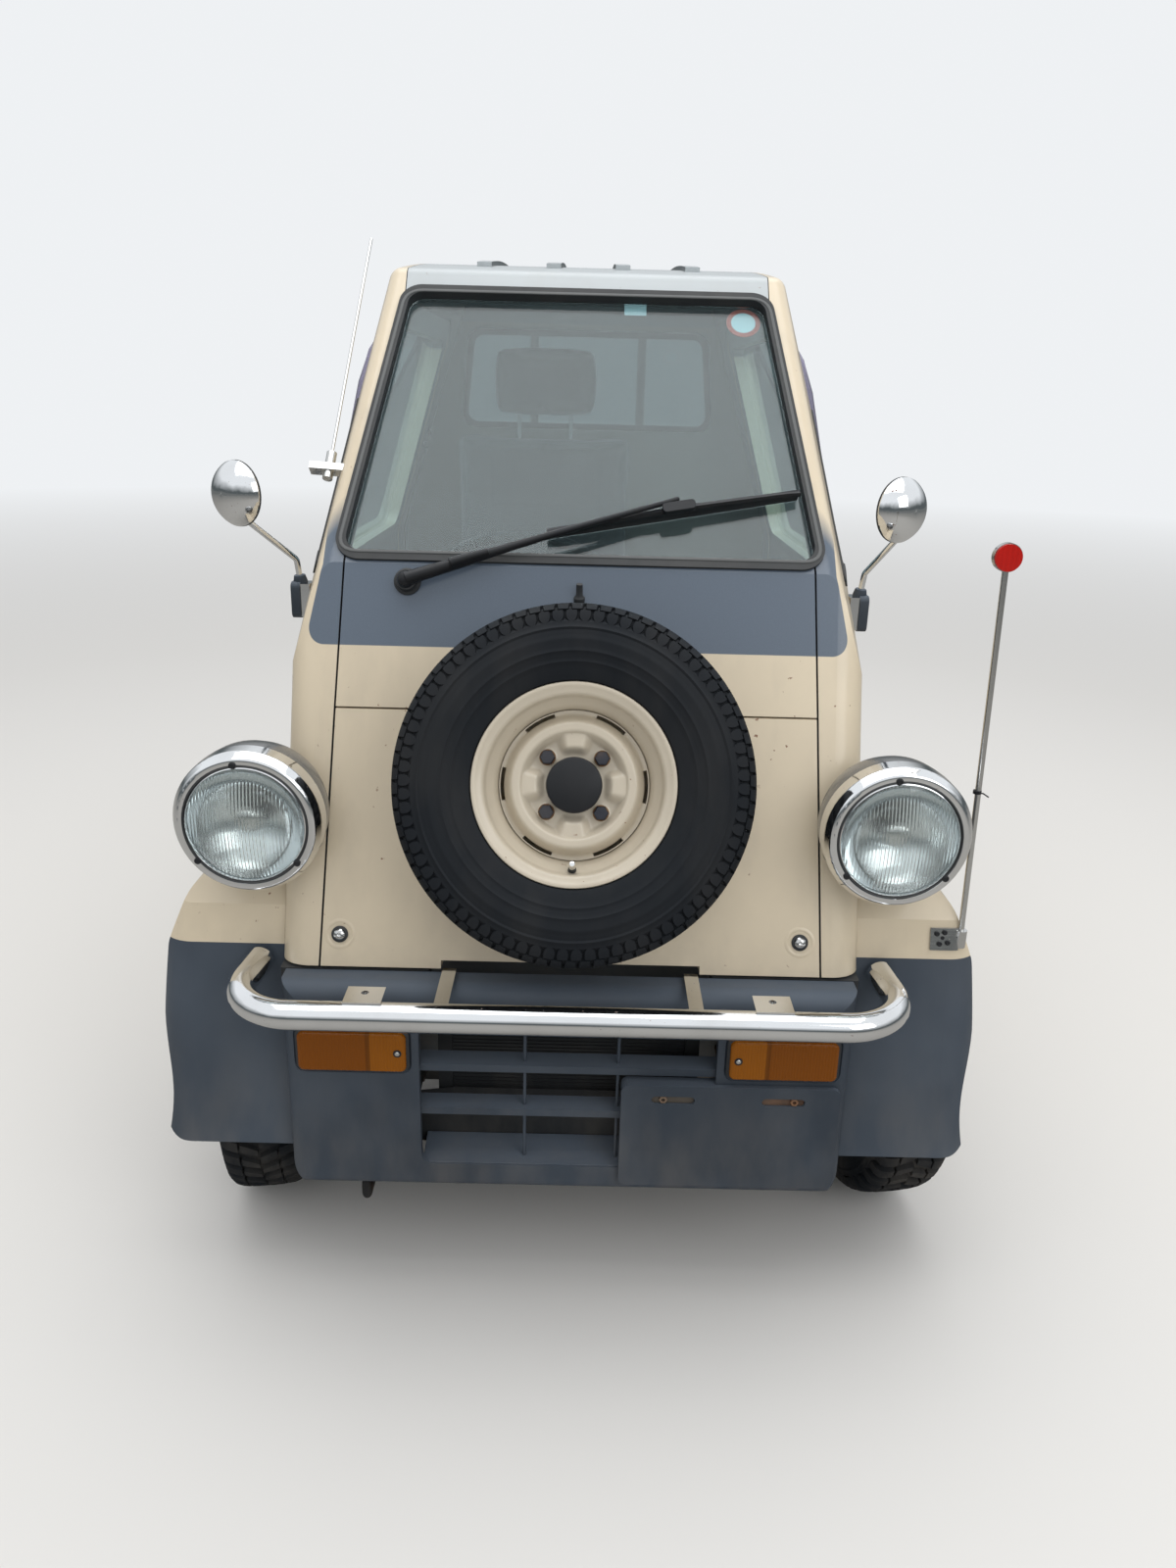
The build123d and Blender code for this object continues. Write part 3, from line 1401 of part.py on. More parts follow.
def build_mirrors(cab_solid):
    """Door mirrors on bent rods: a bracket, the rod and a domed round head on each side."""
    pieces = []
    for side, head_x, head_z in mirror_table:
        foot = block(
            464, 490, mirror_foot_y - 20, mirror_foot_y + 20, mirror_foot_z - 30, mirror_foot_z + 26,
        ) - cab_solid
        foot = foot if side > 0 else other_side(foot)
        turn = radians(mirror_turn)
        look = Vector(-side * sin(turn), cos(turn), 0)
        centre = Vector(side * head_x, mirror_head_y, head_z)
        back = centre - look * (mirror_head_depth - 6)
        arm = tube_path([
            (side * 480, mirror_foot_y, mirror_foot_z), (side * 486, mirror_foot_y - 8, mirror_foot_z + 66),
            (side * (head_x + 26), mirror_head_y - 14, head_z - 8), (back.X, back.Y, back.Z),
        ], 12, mirror_rod_radius)
        arc = ThreePointArc(
            (0, -mirror_head_depth), (mirror_head_radius * 0.70, -mirror_head_depth * 0.66),
            (mirror_head_radius, -3),
        )
        rest = Polyline((mirror_head_radius, -3), (mirror_head_radius, 0), (0, 0), (0, -mirror_head_depth))
        head = revolve(Plane.XZ * make_face([arc, rest]), axis=Axis.Z)
        head = Plane(origin=centre, x_dir=(0, 0, 1), z_dir=look) * head
        pieces.append(foot + arm + head)
    return pieces


def build_wiper():
    """Single wiper: pivot boot on the cowl, tapered arm and long blade on the glass."""
    pivot = Vector(wiper_pivot_x, nose_y(wiper_pivot_z), wiper_pivot_z)
    normal = nose_plane.z_dir
    boot = extrude(Plane(origin=pivot + normal * 0.3, z_dir=normal) * Circle(17), amount=30)
    base = (wiper_pivot_x, (wiper_pivot_z - screen_foot_z) / cos(radians(screen_rake)) + 4)
    tip = (150.0, 104.0)
    arm = prism(screen_plane, [
        (base[0] - 12, base[1] - 10, 0), (tip[0], tip[1] - 5, 0),
        (tip[0], tip[1] + 5, 0), (base[0] - 14, base[1] + 10, 0),
    ], 14, 24)
    blade = prism(screen_plane, [(-52, 52, 0), (340, 134, 0), (340, 144, 0), (-52, 62, 0)], 2, 15)
    return boot + arm + blade


def build_corner_pole():
    """Corner marker on the left front fender: screwed plate, socket, thin pole and a round reflector."""
    x, y, foot = corner_pole_x, corner_pole_y - 10, corner_pole_foot_z
    seat = fender_form(-running_gap, 0.0)
    bracket = fender_form(-3.0, 0.0) - seat
    bracket &= block(x - 48, x - 4, y - 60, y + 60, foot - 15, foot + 19)
    bracket += rod((x - 18, y + 14, foot + 2), (x, y, foot + 2), 5) - seat
    bracket += rod((x, y, foot - 12), (x, y, foot + 16), 9) - seat
    top = (x - 12, y, corner_pole_top_z)
    bracket += rod((x, y, foot), top, corner_pole_radius) - seat
    disc = Plane(origin=(top[0], y + 5, top[2]), z_dir=(0, -1, 0))
    return bracket + extrude(disc * Circle(corner_disc_radius), amount=11)


def build_aerial(cab_solid):
    """Whip aerial lying along the right windscreen pillar, on a black foot."""
    way = (Vector(*aerial_tip) - Vector(*aerial_foot)).normalized()
    foot = Vector(*aerial_foot)
    low = foot - way * 18
    aerial = rod((low.X, low.Y, low.Z), aerial_tip, aerial_radius)
    high = foot + way * 30
    aerial += rod((low.X, low.Y, low.Z), (high.X, high.Y, high.Z), 8)
    aerial += Plane(origin=foot, z_dir=way) * Box(20, 60, 12)
    return aerial - cab_solid


def build_seat():
    """Seat cushion, and seat back with its headrest on two posts."""
    x, half = seat_x, seat_width / 2
    low = engine_box_top_z + seat_clearance
    front = seat_cushion_front_y
    cushion = block(x - half, x + half, front, front + seat_cushion_length, low, low + seat_cushion_thick)
    cushion = fillet(cushion.edges(), 28)
    base_z = low + seat_cushion_thick + seat_clearance
    lean = tan(radians(seat_back_lean))
    y0, thick, tall = seat_back_front_y, seat_back_thick, seat_back_height
    back = along_x([
        (y0, base_z, 24), (y0 + thick, base_z, 24),
        (y0 + thick + tall * lean, base_z + tall, 40), (y0 + tall * lean, base_z + tall, 40),
    ], x - half + 14, x + half - 14)
    top_z = base_z + tall + 30
    middle_y = y0 + thick / 2 + tall * lean + 8
    rest_half = headrest_width / 2
    rest = block(
        x - rest_half, x + rest_half, middle_y - headrest_thick / 2, middle_y + headrest_thick / 2,
        top_z, top_z + headrest_height,
    )
    rest = fillet(rest.edges(), 30)
    for step in (-60, 60):
        back += rod(
            (x + step, middle_y, base_z + tall - 30), (x + step, middle_y, top_z + 20), headrest_post_radius,
        )
    return cushion, back + rest


def build_dashboard():
    """Dashboard with its hood, cut for the steering column that hangs below it."""
    half = nose_half - cab_wall
    dash = along_x([
        (-992, dash_top_z, 0), (-770, dash_top_z - 6, 20), (-700, dash_top_z - 50, 24), (-704, 880, 30),
        (-760, dash_low_z, 30), (-948, dash_low_z, 0),
    ], -half, half) & cab_form(cab_wall + glass_gap)
    hood = along_x(
        [(-860, 1040, 0), (-690, 1040, 10), (-676, 1092, 14), (-830, 1100, 20)],
        steering_x - 130, steering_x + 130,
    )
    return dash + hood - build_column(glass_gap)


def steering_way():
    return Vector(0, cos(radians(steering_tilt)), sin(radians(steering_tilt)))


def build_column(grow):
    """Steering column with the bracket that bolts it under the dashboard; grow widens it into its cut-out."""
    centre = Vector(steering_x, steering_y, steering_z)
    top = centre - steering_way() * (hub_depth + running_gap)
    foot = centre - steering_way() * column_length
    column = rod((foot.X, foot.Y, foot.Z), (top.X, top.Y, top.Z), column_radius + grow)
    half = column_bracket_half + grow
    return column + block(
        steering_x - half, steering_x + half, column_bracket_front_y - grow, column_bracket_rear_y + grow,
        column_bracket_low_z, dash_low_z + 20 + grow,
    )


def build_steering_wheel():
    """Three-spoke steering wheel on its hub."""
    plane = Plane(origin=(steering_x, steering_y, steering_z), x_dir=(1, 0, 0), z_dir=steering_way())
    wheel = plane * Torus(steering_radius - steering_rim_radius, steering_rim_radius)
    wheel += extrude(plane.offset(-hub_depth) * Circle(hub_radius), amount=30)
    for angle in spoke_angles:
        out = plane.x_dir * cos(radians(angle)) + plane.y_dir * sin(radians(angle))
        start = plane.origin - steering_way() * 18
        stop = plane.origin + out * (steering_radius - steering_rim_radius)
        wheel += rod((start.X, start.Y, start.Z), (stop.X, stop.Y, stop.Z), spoke_radius)
    return wheel


def build_spare():
    """Spare wheel and tyre on the nose panel, and the stand-off that carries them."""
    normal = nose_plane.z_dir
    centre = Vector(0, spare_y, spare_z)
    place = Plane(origin=centre, x_dir=(1, 0, 0), z_dir=normal)
    height = (centre - nose_plane.origin).dot(normal)
    foot = centre - normal * (height + 12)
    carrier = extrude(
        Plane(origin=foot, z_dir=normal) * Circle(spare_carrier_radius),
        amount=height + 12 + disc_face - disc_skin,
    )
    return place * build_tyre(), place * build_wheel(False), carrier


def main():
    cab = build_cab()
    fender, flare = build_fenders(cab["form"])
    buckets, rims, lenses = build_headlamps()
    spare_tyre, spare_wheel, carrier = build_spare()
    cushion, seat_back = build_seat()
    nodes = {
        "frame_rails": build_frame(),
        "cab_floor": cab["cab_floor"],
        "wheelhouses": pair(cab["wheelhouse"]),
        "engine_cover": cab["engine_cover"],
        "nose_panel": cab["nose_panel"] + carrier,
        "cowl_panel": cab["cowl_panel"],
        "cab_side_left": cab["side"],
        "cab_side_right": other_side(cab["side"]),
        "roof_panel": cab["roof_panel"],
        "back_panel": cab["back_panel"],
        "windscreen": build_windscreen(),
        "window_seals": build_window_seals(cab["quarter_seal"]),
        "cab_glass": build_cab_glass(cab["quarter_glass"]),
        "door_left": cab["door"],
        "door_right": other_side(cab["door"]),
        "door_glass_left": cab["door_glass"],
        "door_glass_right": other_side(cab["door_glass"]),
        "front_fenders": pair(fender),
        "front_flares": pair(flare),
        "bumper": build_bumper(),
        "radiator": build_radiator(),
        "bumper_bar": build_bumper_bar(),
        "turn_lamps": build_turn_lamps(),
        "headlamp_buckets": buckets,
        "headlamp_rims": rims,
        "headlamp_lenses": lenses,
        "spare_tyre": spare_tyre,
        "spare_wheel": spare_wheel,
        "mirrors": build_mirrors(cab["form"]),
        "wiper": build_wiper(),
        "corner_pole": build_corner_pole(),
        "aerial": build_aerial(cab["form"]),
        "bed": build_bed(),
        "rear_flares": build_rear_flares(),
        "guard_frame": build_guard(),
        "tail_lamps": build_tail_lamps(),
        "rear_bumper": build_rear_bumper(),
        "tailgate": build_tailgate(),
        "seat_cushion": cushion,
        "seat_back": seat_back,
        "dashboard": build_dashboard(),
        "steering_column": build_column(0.0),
        "steering_wheel": build_steering_wheel(),
        "engine_block": build_engine(),
        "fuel_tank": build_tank(),
        "exhaust": build_exhaust(),
        "front_suspension": build_front_suspension(),
        "rear_axle": build_rear_axle(),
    }
    knuckle = build_knuckle()
    wheel, tyre = build_wheel(True), build_tyre()
    for side, word in ((1, "left"), (-1, "right")):
        hand = knuckle if side > 0 else other_side(knuckle)
        nodes["knuckle_" + word] = steered(hand, side)
        front, rear = wheel_place(side, front_axle_y), wheel_place(side, rear_axle_y)
        nodes["wheel_front_" + word] = steered(front * wheel, side)
        nodes["tyre_front_" + word] = steered(front * tyre, side)
        nodes["wheel_rear_" + word] = rear * wheel
        nodes["tyre_rear_" + word] = rear * tyre
    os.makedirs("parts", exist_ok=True)
    for name, shape in nodes.items():
        pieces = shape if isinstance(shape, list) else [shape]
        solids = [solid for piece in pieces for solid in piece.solids()]
        export_step(Compound(solids) if len(solids) > 1 else solids[0], f"parts/{name}.step")


main()
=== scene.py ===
import bpy
import bmesh
import json
import math
from mathutils import Matrix, Quaternion, Vector


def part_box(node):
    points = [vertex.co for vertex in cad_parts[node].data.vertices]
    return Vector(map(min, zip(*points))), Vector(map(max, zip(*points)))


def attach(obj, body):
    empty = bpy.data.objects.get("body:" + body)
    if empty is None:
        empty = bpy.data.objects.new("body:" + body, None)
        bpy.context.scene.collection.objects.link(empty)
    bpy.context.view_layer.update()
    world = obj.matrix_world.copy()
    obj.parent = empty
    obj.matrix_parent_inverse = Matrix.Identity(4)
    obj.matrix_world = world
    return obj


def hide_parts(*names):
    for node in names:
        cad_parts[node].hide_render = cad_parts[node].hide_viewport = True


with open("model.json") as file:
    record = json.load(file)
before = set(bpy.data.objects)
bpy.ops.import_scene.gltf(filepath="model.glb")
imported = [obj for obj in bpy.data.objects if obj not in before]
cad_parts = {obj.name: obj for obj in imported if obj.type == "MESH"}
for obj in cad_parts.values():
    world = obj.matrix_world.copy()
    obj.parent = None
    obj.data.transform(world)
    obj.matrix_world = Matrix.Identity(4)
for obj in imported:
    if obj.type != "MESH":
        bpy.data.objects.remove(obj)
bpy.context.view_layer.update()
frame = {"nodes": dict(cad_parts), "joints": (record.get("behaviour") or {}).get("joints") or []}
nodes = frame["nodes"]

# The studio round the truck: a pale matt floor, an even sky all round with a brighter patch overhead,
# two broad soft lamps, and the camera where the photographer stood, at eye height in front of the bumper.
floor_reach = 60.0
floor_tint = (0.74, 0.73, 0.71, 1)
concrete = (0.36, 0.35, 0.33, 1)
concrete_haze = (0.16, 0.17, 0.17, 1)
fade_from = 4.0
fade_to = 15.0
backdrop_tint = (0.86, 0.88, 0.90, 1)
sky_level = 0.86
view_from = Vector((0.0122, -2.772, 1.385))
view_swing = math.radians(0.279)
view_dip = math.radians(19.0)
view_roll = math.radians(1.482)
photo_tall = 1600
focal_pixels = 1155


def wire(tree, kind, values=(), **settings):
    """One shader node. Values are pairs of a socket and either a number or another node's socket."""
    made = tree.nodes.new(kind)
    for setting, value in settings.items():
        setattr(made, setting, value)
    for socket, value in values:
        if isinstance(value, bpy.types.NodeSocket):
            tree.links.new(value, made.inputs[socket])
        else:
            made.inputs[socket].default_value = value
    return made


def maths(tree, operation, first, second=0.0, third=0.0):
    """The result of one Math node, each term a number or a socket."""
    return wire(tree, "ShaderNodeMath", [(0, first), (1, second), (2, third)], operation=operation).outputs[0]


def ramp(tree, value, low, high, to_low=0.0, to_high=1.0):
    """Value carried from low..high to to_low..to_high and held there beyond."""
    terms = [(0, value), (1, low), (2, high), (3, to_low), (4, to_high)]
    return wire(tree, "ShaderNodeMapRange", terms).outputs[0]


def tint(tree, share, first, second):
    """Two colours mixed by share."""
    return wire(tree, "ShaderNodeMix", [(0, share), (6, first), (7, second)], data_type="RGBA").outputs[2]


floor_mesh = bpy.data.meshes.new("studio_floor")
floor_corners = [(-1, -1), (1, -1), (1, 1), (-1, 1)]
floor_mesh.from_pydata([(x * floor_reach, y * floor_reach, 0) for x, y in floor_corners], [], [(0, 1, 2, 3)])
studio_floor = bpy.data.objects.new("studio_floor", floor_mesh)
bpy.context.scene.collection.objects.link(studio_floor)
floor_finish = bpy.data.materials.new("studio_floor")
floor_finish.use_nodes = True
floor_tree = floor_finish.node_tree
floor_shader = floor_tree.nodes["Principled BSDF"]
floor_shader.inputs["Roughness"].default_value = 0.9
floor_shader.inputs["Specular IOR Level"].default_value = 0.1
floor_mesh.materials.append(floor_finish)
spot = wire(floor_tree, "ShaderNodeTexCoord").outputs["Object"]
reach = wire(floor_tree, "ShaderNodeVectorMath", [(0, spot)], operation="LENGTH").outputs["Value"]
floor_rays = wire(floor_tree, "ShaderNodeLightPath").outputs
looked_at = maths(floor_tree, "MAXIMUM", floor_rays["Is Camera Ray"], floor_rays["Is Glossy Ray"])
looked_at = maths(floor_tree, "MAXIMUM", looked_at, floor_rays["Is Transmission Ray"])
faded = maths(floor_tree, "MULTIPLY", ramp(floor_tree, reach, fade_from, fade_to), looked_at)
haze_tone = tint(floor_tree, floor_rays["Is Glossy Ray"], backdrop_tint, concrete_haze)
haze = wire(floor_tree, "ShaderNodeEmission", [("Color", haze_tone)])
floor_tone = tint(floor_tree, floor_rays["Is Glossy Ray"], floor_tint, concrete)
floor_tree.links.new(floor_tone, floor_shader.inputs["Base Color"])
both = [(0, faded), (1, floor_shader.outputs[0]), (2, haze.outputs[0])]
floor_mix = wire(floor_tree, "ShaderNodeMixShader", both)
floor_tree.links.new(floor_mix.outputs[0], floor_tree.nodes["Material Output"].inputs["Surface"])

sky = bpy.data.worlds.new("studio_sky")
bpy.context.scene.world = sky
sky.use_nodes = True
sky_tree = sky.node_tree
sky_tree.nodes.clear()
rays = wire(sky_tree, "ShaderNodeLightPath")
seen = maths(sky_tree, "MAXIMUM", rays.outputs["Is Camera Ray"], rays.outputs["Is Transmission Ray"])
mirrored = rays.outputs["Is Glossy Ray"]
heading = wire(sky_tree, "ShaderNodeTexCoord").outputs["Generated"]
climb = wire(sky_tree, "ShaderNodeSeparateXYZ", [(0, heading)]).outputs["Z"]
cloud = wire(sky_tree, "ShaderNodeTexNoise", [("Vector", heading), ("Scale", 2.2), ("Detail", 3.0)]).outputs[0]
band = ramp(sky_tree, maths(sky_tree, "ADD", climb, maths(sky_tree, "MULTIPLY", cloud, 0.30)), 0.22, 0.58)
reflected = tint(sky_tree, band, (0.10, 0.115, 0.12, 1), (0.92, 0.95, 0.98, 1))
plain = tint(sky_tree, ramp(sky_tree, climb, -0.1, 0.9), (0.62, 0.64, 0.66, 1), (1.0, 1.0, 1.0, 1))
lit = tint(sky_tree, seen, plain, backdrop_tint)
shown = tint(sky_tree, mirrored, lit, reflected)
power = maths(sky_tree, "MAXIMUM", maths(sky_tree, "MAXIMUM", seen, mirrored), sky_level)
glow = wire(sky_tree, "ShaderNodeBackground", [("Color", shown), ("Strength", power)])
wire(sky_tree, "ShaderNodeOutputWorld", [("Surface", glow.outputs[0])])

lamp_table = (
    # name, place, size in metres, power in watts, where it looks
    ("lamp_overhead", (0.0, -0.6, 4.2), 4.0, 88.0, (0.0, -0.2, 0.8)),
    ("lamp_front_left", (2.6, -4.2, 3.0), 2.4, 34.0, (0.0, -0.9, 0.8)),
)
for name, place, size, watts, target in lamp_table:
    lamp = bpy.data.lights.new(name, "AREA")
    lamp.energy = watts
    lamp.size = size
    holder = bpy.data.objects.new(name, lamp)
    holder.location = place
    holder.rotation_mode = "QUATERNION"
    holder.rotation_quaternion = (Vector(target) - Vector(place)).to_track_quat("-Z", "Y")
    bpy.context.scene.collection.objects.link(holder)

lens = bpy.data.cameras.new("camera")
lens.sensor_fit = "VERTICAL"
lens.sensor_height = 36.0
lens.lens = focal_pixels / photo_tall * lens.sensor_height
camera = bpy.data.objects.new("camera", lens)
camera.location = view_from
level = math.cos(view_dip)
look = Vector((math.sin(view_swing) * level, math.cos(view_swing) * level, -math.sin(view_dip)))
camera.rotation_mode = "QUATERNION"
camera.rotation_quaternion = look.to_track_quat("-Z", "Y") @ Quaternion((0, 0, 1), view_roll)
bpy.context.scene.collection.objects.link(camera)
bpy.context.scene.camera = camera
bpy.context.scene.view_settings.view_transform = "Standard"

# Pressed steel body panels in cream enamel: nose, cab sides, doors, back, fenders, bed and tailgate.
# The paint is thirty years old: slightly uneven, dusty low down, with small chips that have begun to rust.
cream = (0.66, 0.565, 0.415, 1)
road_dust = (0.30, 0.26, 0.21, 1)
rust = (0.20, 0.075, 0.03, 1)
slate = (0.088, 0.116, 0.155, 1)
patch_low = 1.0155
patch_high = 1.130
patch_half_low = 0.4165
patch_half_high = 0.3925
patch_round = 0.030
patch_edge = 0.0004
nose_slope = 0.364
patch_back = (-1.425, -1.405)


def new_finish(name, roughness, metallic=0.0):
    """A material with its tree, its main shader and the place on the object, in metres."""
    finish = bpy.data.materials.new(name)
    finish.use_nodes = True
    tree = finish.node_tree
    shader = tree.nodes["Principled BSDF"]
    shader.inputs["Roughness"].default_value = roughness
    shader.inputs["Metallic"].default_value = metallic
    place = wire(tree, "ShaderNodeTexCoord").outputs["Object"]
    return finish, tree, shader, place


def grain(tree, place, scale, detail=4.0, stretch=(1, 1, 1), rough=0.5):
    """Noise of about 0.3 to 0.7 at so many waves to the metre, drawn out along an axis by stretch."""
    moved = wire(tree, "ShaderNodeMapping", [("Vector", place), ("Scale", stretch)]).outputs[0]
    terms = [("Vector", moved), ("Scale", scale), ("Detail", detail), ("Roughness", rough)]
    return wire(tree, "ShaderNodeTexNoise", terms).outputs[0]


def relief(tree, shader, height, depth, strength=1.0):
    """Bump of so many metres from a height of 0 to 1."""
    terms = [("Height", height), ("Distance", depth), ("Strength", strength)]
    made = wire(tree, "ShaderNodeBump", terms)
    tree.links.new(made.outputs[0], shader.inputs["Normal"])


def toned(colour, times, more=0.0):
    """The same colour, lighter or darker by a factor."""
    return tuple(min(1.0, part * times + more) for part in colour[:3]) + (1,)


def enamel(name, colour, gloss=0.30, wear=1.0):
    """Old stoving enamel: cloudy colour, dust low down, streaks, rust pinholes and faint waves in the sheet."""
    finish, tree, shader, place = new_finish(name, gloss)
    shader.inputs["Coat Weight"].default_value = 0.35
    shader.inputs["Coat Roughness"].default_value = 0.12
    height = wire(tree, "ShaderNodeSeparateXYZ", [(0, place)]).outputs["Z"]
    clouds = ramp(tree, grain(tree, place, 2.3, 3.0), 0.35, 0.65)
    paint = tint(tree, clouds, colour, toned(colour, 1.07, 0.01))
    streaks = ramp(tree, grain(tree, place, 16.0, 5.0, (1, 1, 0.10)), 0.52, 0.74, 0.0, 0.16 * wear)
    paint = tint(tree, streaks, paint, road_dust)
    splash = ramp(tree, height, 0.30, 0.62, 0.42 * wear, 0.03 * wear)
    speckled = maths(tree, "MULTIPLY", splash, ramp(tree, grain(tree, place, 38.0, 8.0), 0.30, 0.62))
    paint = tint(tree, speckled, paint, road_dust)
    pits = grain(tree, place, 95.0, 3.0)
    where = ramp(tree, grain(tree, place, 4.0, 2.0), 0.46, 0.62)
    chips = maths(tree, "MULTIPLY", ramp(tree, pits, 0.715, 0.745), where)
    paint = tint(tree, maths(tree, "MULTIPLY", chips, 0.9 * wear), paint, rust)
    tree.links.new(paint, shader.inputs["Base Color"])
    dull = maths(tree, "ADD", maths(tree, "MULTIPLY", speckled, 0.5), chips)
    tree.links.new(maths(tree, "ADD", gloss, maths(tree, "MULTIPLY", dull, 0.4)), shader.inputs["Roughness"])
    broad = grain(tree, place, 5.0, 1.0)
    waves = maths(tree, "ADD", broad, maths(tree, "MULTIPLY", grain(tree, place, 420.0, 1.0), 0.012))
    relief(tree, shader, maths(tree, "SUBTRACT", waves, maths(tree, "MULTIPLY", chips, 0.15)), 0.0012)
    return finish


def two_tone(name):
    """The cream enamel with the slate grey patch that is sprayed under the windscreen, its lower corners round."""
    finish = enamel(name, cream)
    tree = finish.node_tree
    shader = tree.nodes["Principled BSDF"]
    place = next(made for made in tree.nodes if made.type == "TEX_COORD").outputs["Object"]
    across, depth, height = wire(tree, "ShaderNodeSeparateXYZ", [(0, place)]).outputs
    half = ramp(tree, height, patch_low, patch_high, patch_half_low, patch_half_high)
    past_side = maths(tree, "ADD", maths(tree, "SUBTRACT", maths(tree, "ABSOLUTE", across), half), patch_round)
    past_foot = maths(tree, "SUBTRACT", patch_low + patch_round, height)
    square = [maths(tree, "POWER", maths(tree, "MAXIMUM", part, 0.0), 2.0) for part in (past_side, past_foot)]
    outside = maths(tree, "SQRT", maths(tree, "ADD", *square))
    inside = ramp(tree, outside, patch_round - patch_edge, patch_round + patch_edge, 1.0, 0.0)
    slope = maths(tree, "MULTIPLY", height, nose_slope)
    foremost = ramp(tree, maths(tree, "SUBTRACT", depth, slope), *patch_back, 1.0, 0.0)
    patch = maths(tree, "MULTIPLY", inside, foremost)
    flecks = ramp(tree, grain(tree, place, 1500.0, 1.0), 0.40, 0.70)
    grey = tint(tree, flecks, slate, toned(slate, 1.18))
    under = shader.inputs["Base Color"].links[0].from_socket
    tree.links.new(tint(tree, patch, under, grey), shader.inputs["Base Color"])
    return finish


def shaded_inside(finish, inside_shade):
    """The same enamel outside; faces that look into the cab get a dusty dark grey, painted shade of the cab's
    inside.
    """
    tree = finish.node_tree
    shader = tree.nodes["Principled BSDF"]
    spot = wire(tree, "ShaderNodeTexCoord").outputs
    way = wire(tree, "ShaderNodeSeparateXYZ", [(0, spot["Normal"])]).outputs
    place = wire(tree, "ShaderNodeSeparateXYZ", [(0, spot["Object"])]).outputs
    hand = maths(tree, "SIGN", place["X"])
    # Faces turned into the cab, and the cab's back wall seen from inside, get the painted shade.
    inward = ramp(tree, maths(tree, "MULTIPLY", way["X"], hand), -0.45, -0.25, 1.0, 0.0)
    inward = maths(tree, "MAXIMUM", inward, ramp(tree, way["Z"], -0.6, -0.4, 1.0, 0.0))
    back_wall = ramp(tree, place["Y"], 0.1575, 0.1600, 1.0, 0.0)
    ahead = ramp(tree, way["Y"], -0.8, -0.6, 1.0, 0.0)
    behind = ramp(tree, place["Y"], 0.150, 0.152)
    inner_wall = maths(tree, "MULTIPLY", maths(tree, "MULTIPLY", back_wall, behind), ahead)
    inward = maths(tree, "MAXIMUM", inward, inner_wall)
    mottled = tint(tree, ramp(tree, grain(tree, spot["Object"], 6.0, 5.0), 0.35, 0.68), inside_shade, road_dust)
    faint = tint(tree, maths(tree, "MULTIPLY", inward, 0.12), inside_shade, mottled)
    under = shader.inputs["Base Color"].links[0].from_socket
    tree.links.new(tint(tree, inward, under, faint), shader.inputs["Base Color"])
    return finish


def dress(finish, *names):
    """Gives CAD nodes their finish."""
    for name in names:
        nodes[name].data.materials.clear()
        nodes[name].data.materials.append(finish)


# Dark grey for faces that look into the cab: painted shade of the cab's inside.
cab_inside_shade = (0.095, 0.108, 0.116, 1)
cream_enamel = enamel("cream_enamel", cream)
door_enamel = shaded_inside(enamel("door_enamel", cream), cab_inside_shade)
cowl_enamel = two_tone("cowl_enamel")
side_enamel = shaded_inside(two_tone("side_enamel"), cab_inside_shade)
dress(cream_enamel, "nose_panel", "front_fenders", "bed", "tailgate")
dress(door_enamel, "door_left", "door_right", "back_panel")
dress(cowl_enamel, "cowl_panel")
dress(side_enamel, "cab_side_left", "cab_side_right")

# Roof: one pressed skin with four long ribs, welded to the cab sides along its edges. It is sprayed silver grey,
# has dulled in the sun and holds dust between the ribs.
silver = (0.41, 0.445, 0.46, 1)
# The roof's faces that look into the cab also get the painted shade of the cab's inside.
roof_enamel = shaded_inside(enamel("roof_enamel", silver, 0.36, 0.7), cab_inside_shade)
dress(roof_enamel, "roof_panel")

# Nose fittings: two bright screws in black rubber washers hold the nose panel, each in a shallow ring pressed into
# the sheet. The jet of the windscreen washer, a rubber nozzle, is pushed into the panel from outside.
nose_lean = math.radians(20.0)
nose_foot = (-1.242, 0.560)
nose_normal = Vector((0, -math.cos(nose_lean), math.sin(nose_lean)))
nose_screws = ((-0.350, 0.603), (0.347, 0.606))
washer_jet_height = 1.088


def moulded(name, colour, bleached_and_lit, roughness=0.5, scale=900.0, dusty=0.10, gloss=0.22):
    """Grained plastic or rubber, paler on upturned faces as painted light from above, with wiped dust in the grain.
    """
    finish, tree, shader, place = new_finish(name, roughness)
    shader.inputs["Specular IOR Level"].default_value = gloss
    facing = wire(tree, "ShaderNodeSeparateXYZ", [(0, wire(tree, "ShaderNodeTexCoord").outputs["Normal"])])
    # Faces that look up turn paler: painted light from above.
    lit_from_above = maths(tree, "MULTIPLY", ramp(tree, facing.outputs["Z"], 0.0, 0.9), 0.75)
    patchy = maths(tree, "MULTIPLY", ramp(tree, grain(tree, place, 5.0, 3.0), 0.38, 0.66), 0.22)
    skin = tint(tree, maths(tree, "ADD", lit_from_above, patchy), colour, bleached_and_lit)
    height = wire(tree, "ShaderNodeSeparateXYZ", [(0, place)]).outputs["Z"]
    low = ramp(tree, height, 0.20, 0.42, dusty * 1.6, dusty * 0.3)
    settled = maths(tree, "MULTIPLY", low, ramp(tree, grain(tree, place, 14.0, 6.0, (1, 1, 0.35)), 0.42, 0.66))
    tree.links.new(tint(tree, settled, skin, road_dust), shader.inputs["Base Color"])
    scuffs = ramp(tree, grain(tree, place, 40.0, 5.0, (1, 1, 0.2)), 0.52, 0.74, 0.0, 0.12)
    tree.links.new(maths(tree, "ADD", roughness, scuffs), shader.inputs["Roughness"])
    relief(tree, shader, grain(tree, place, scale, 2.0), 0.00010)
    return finish


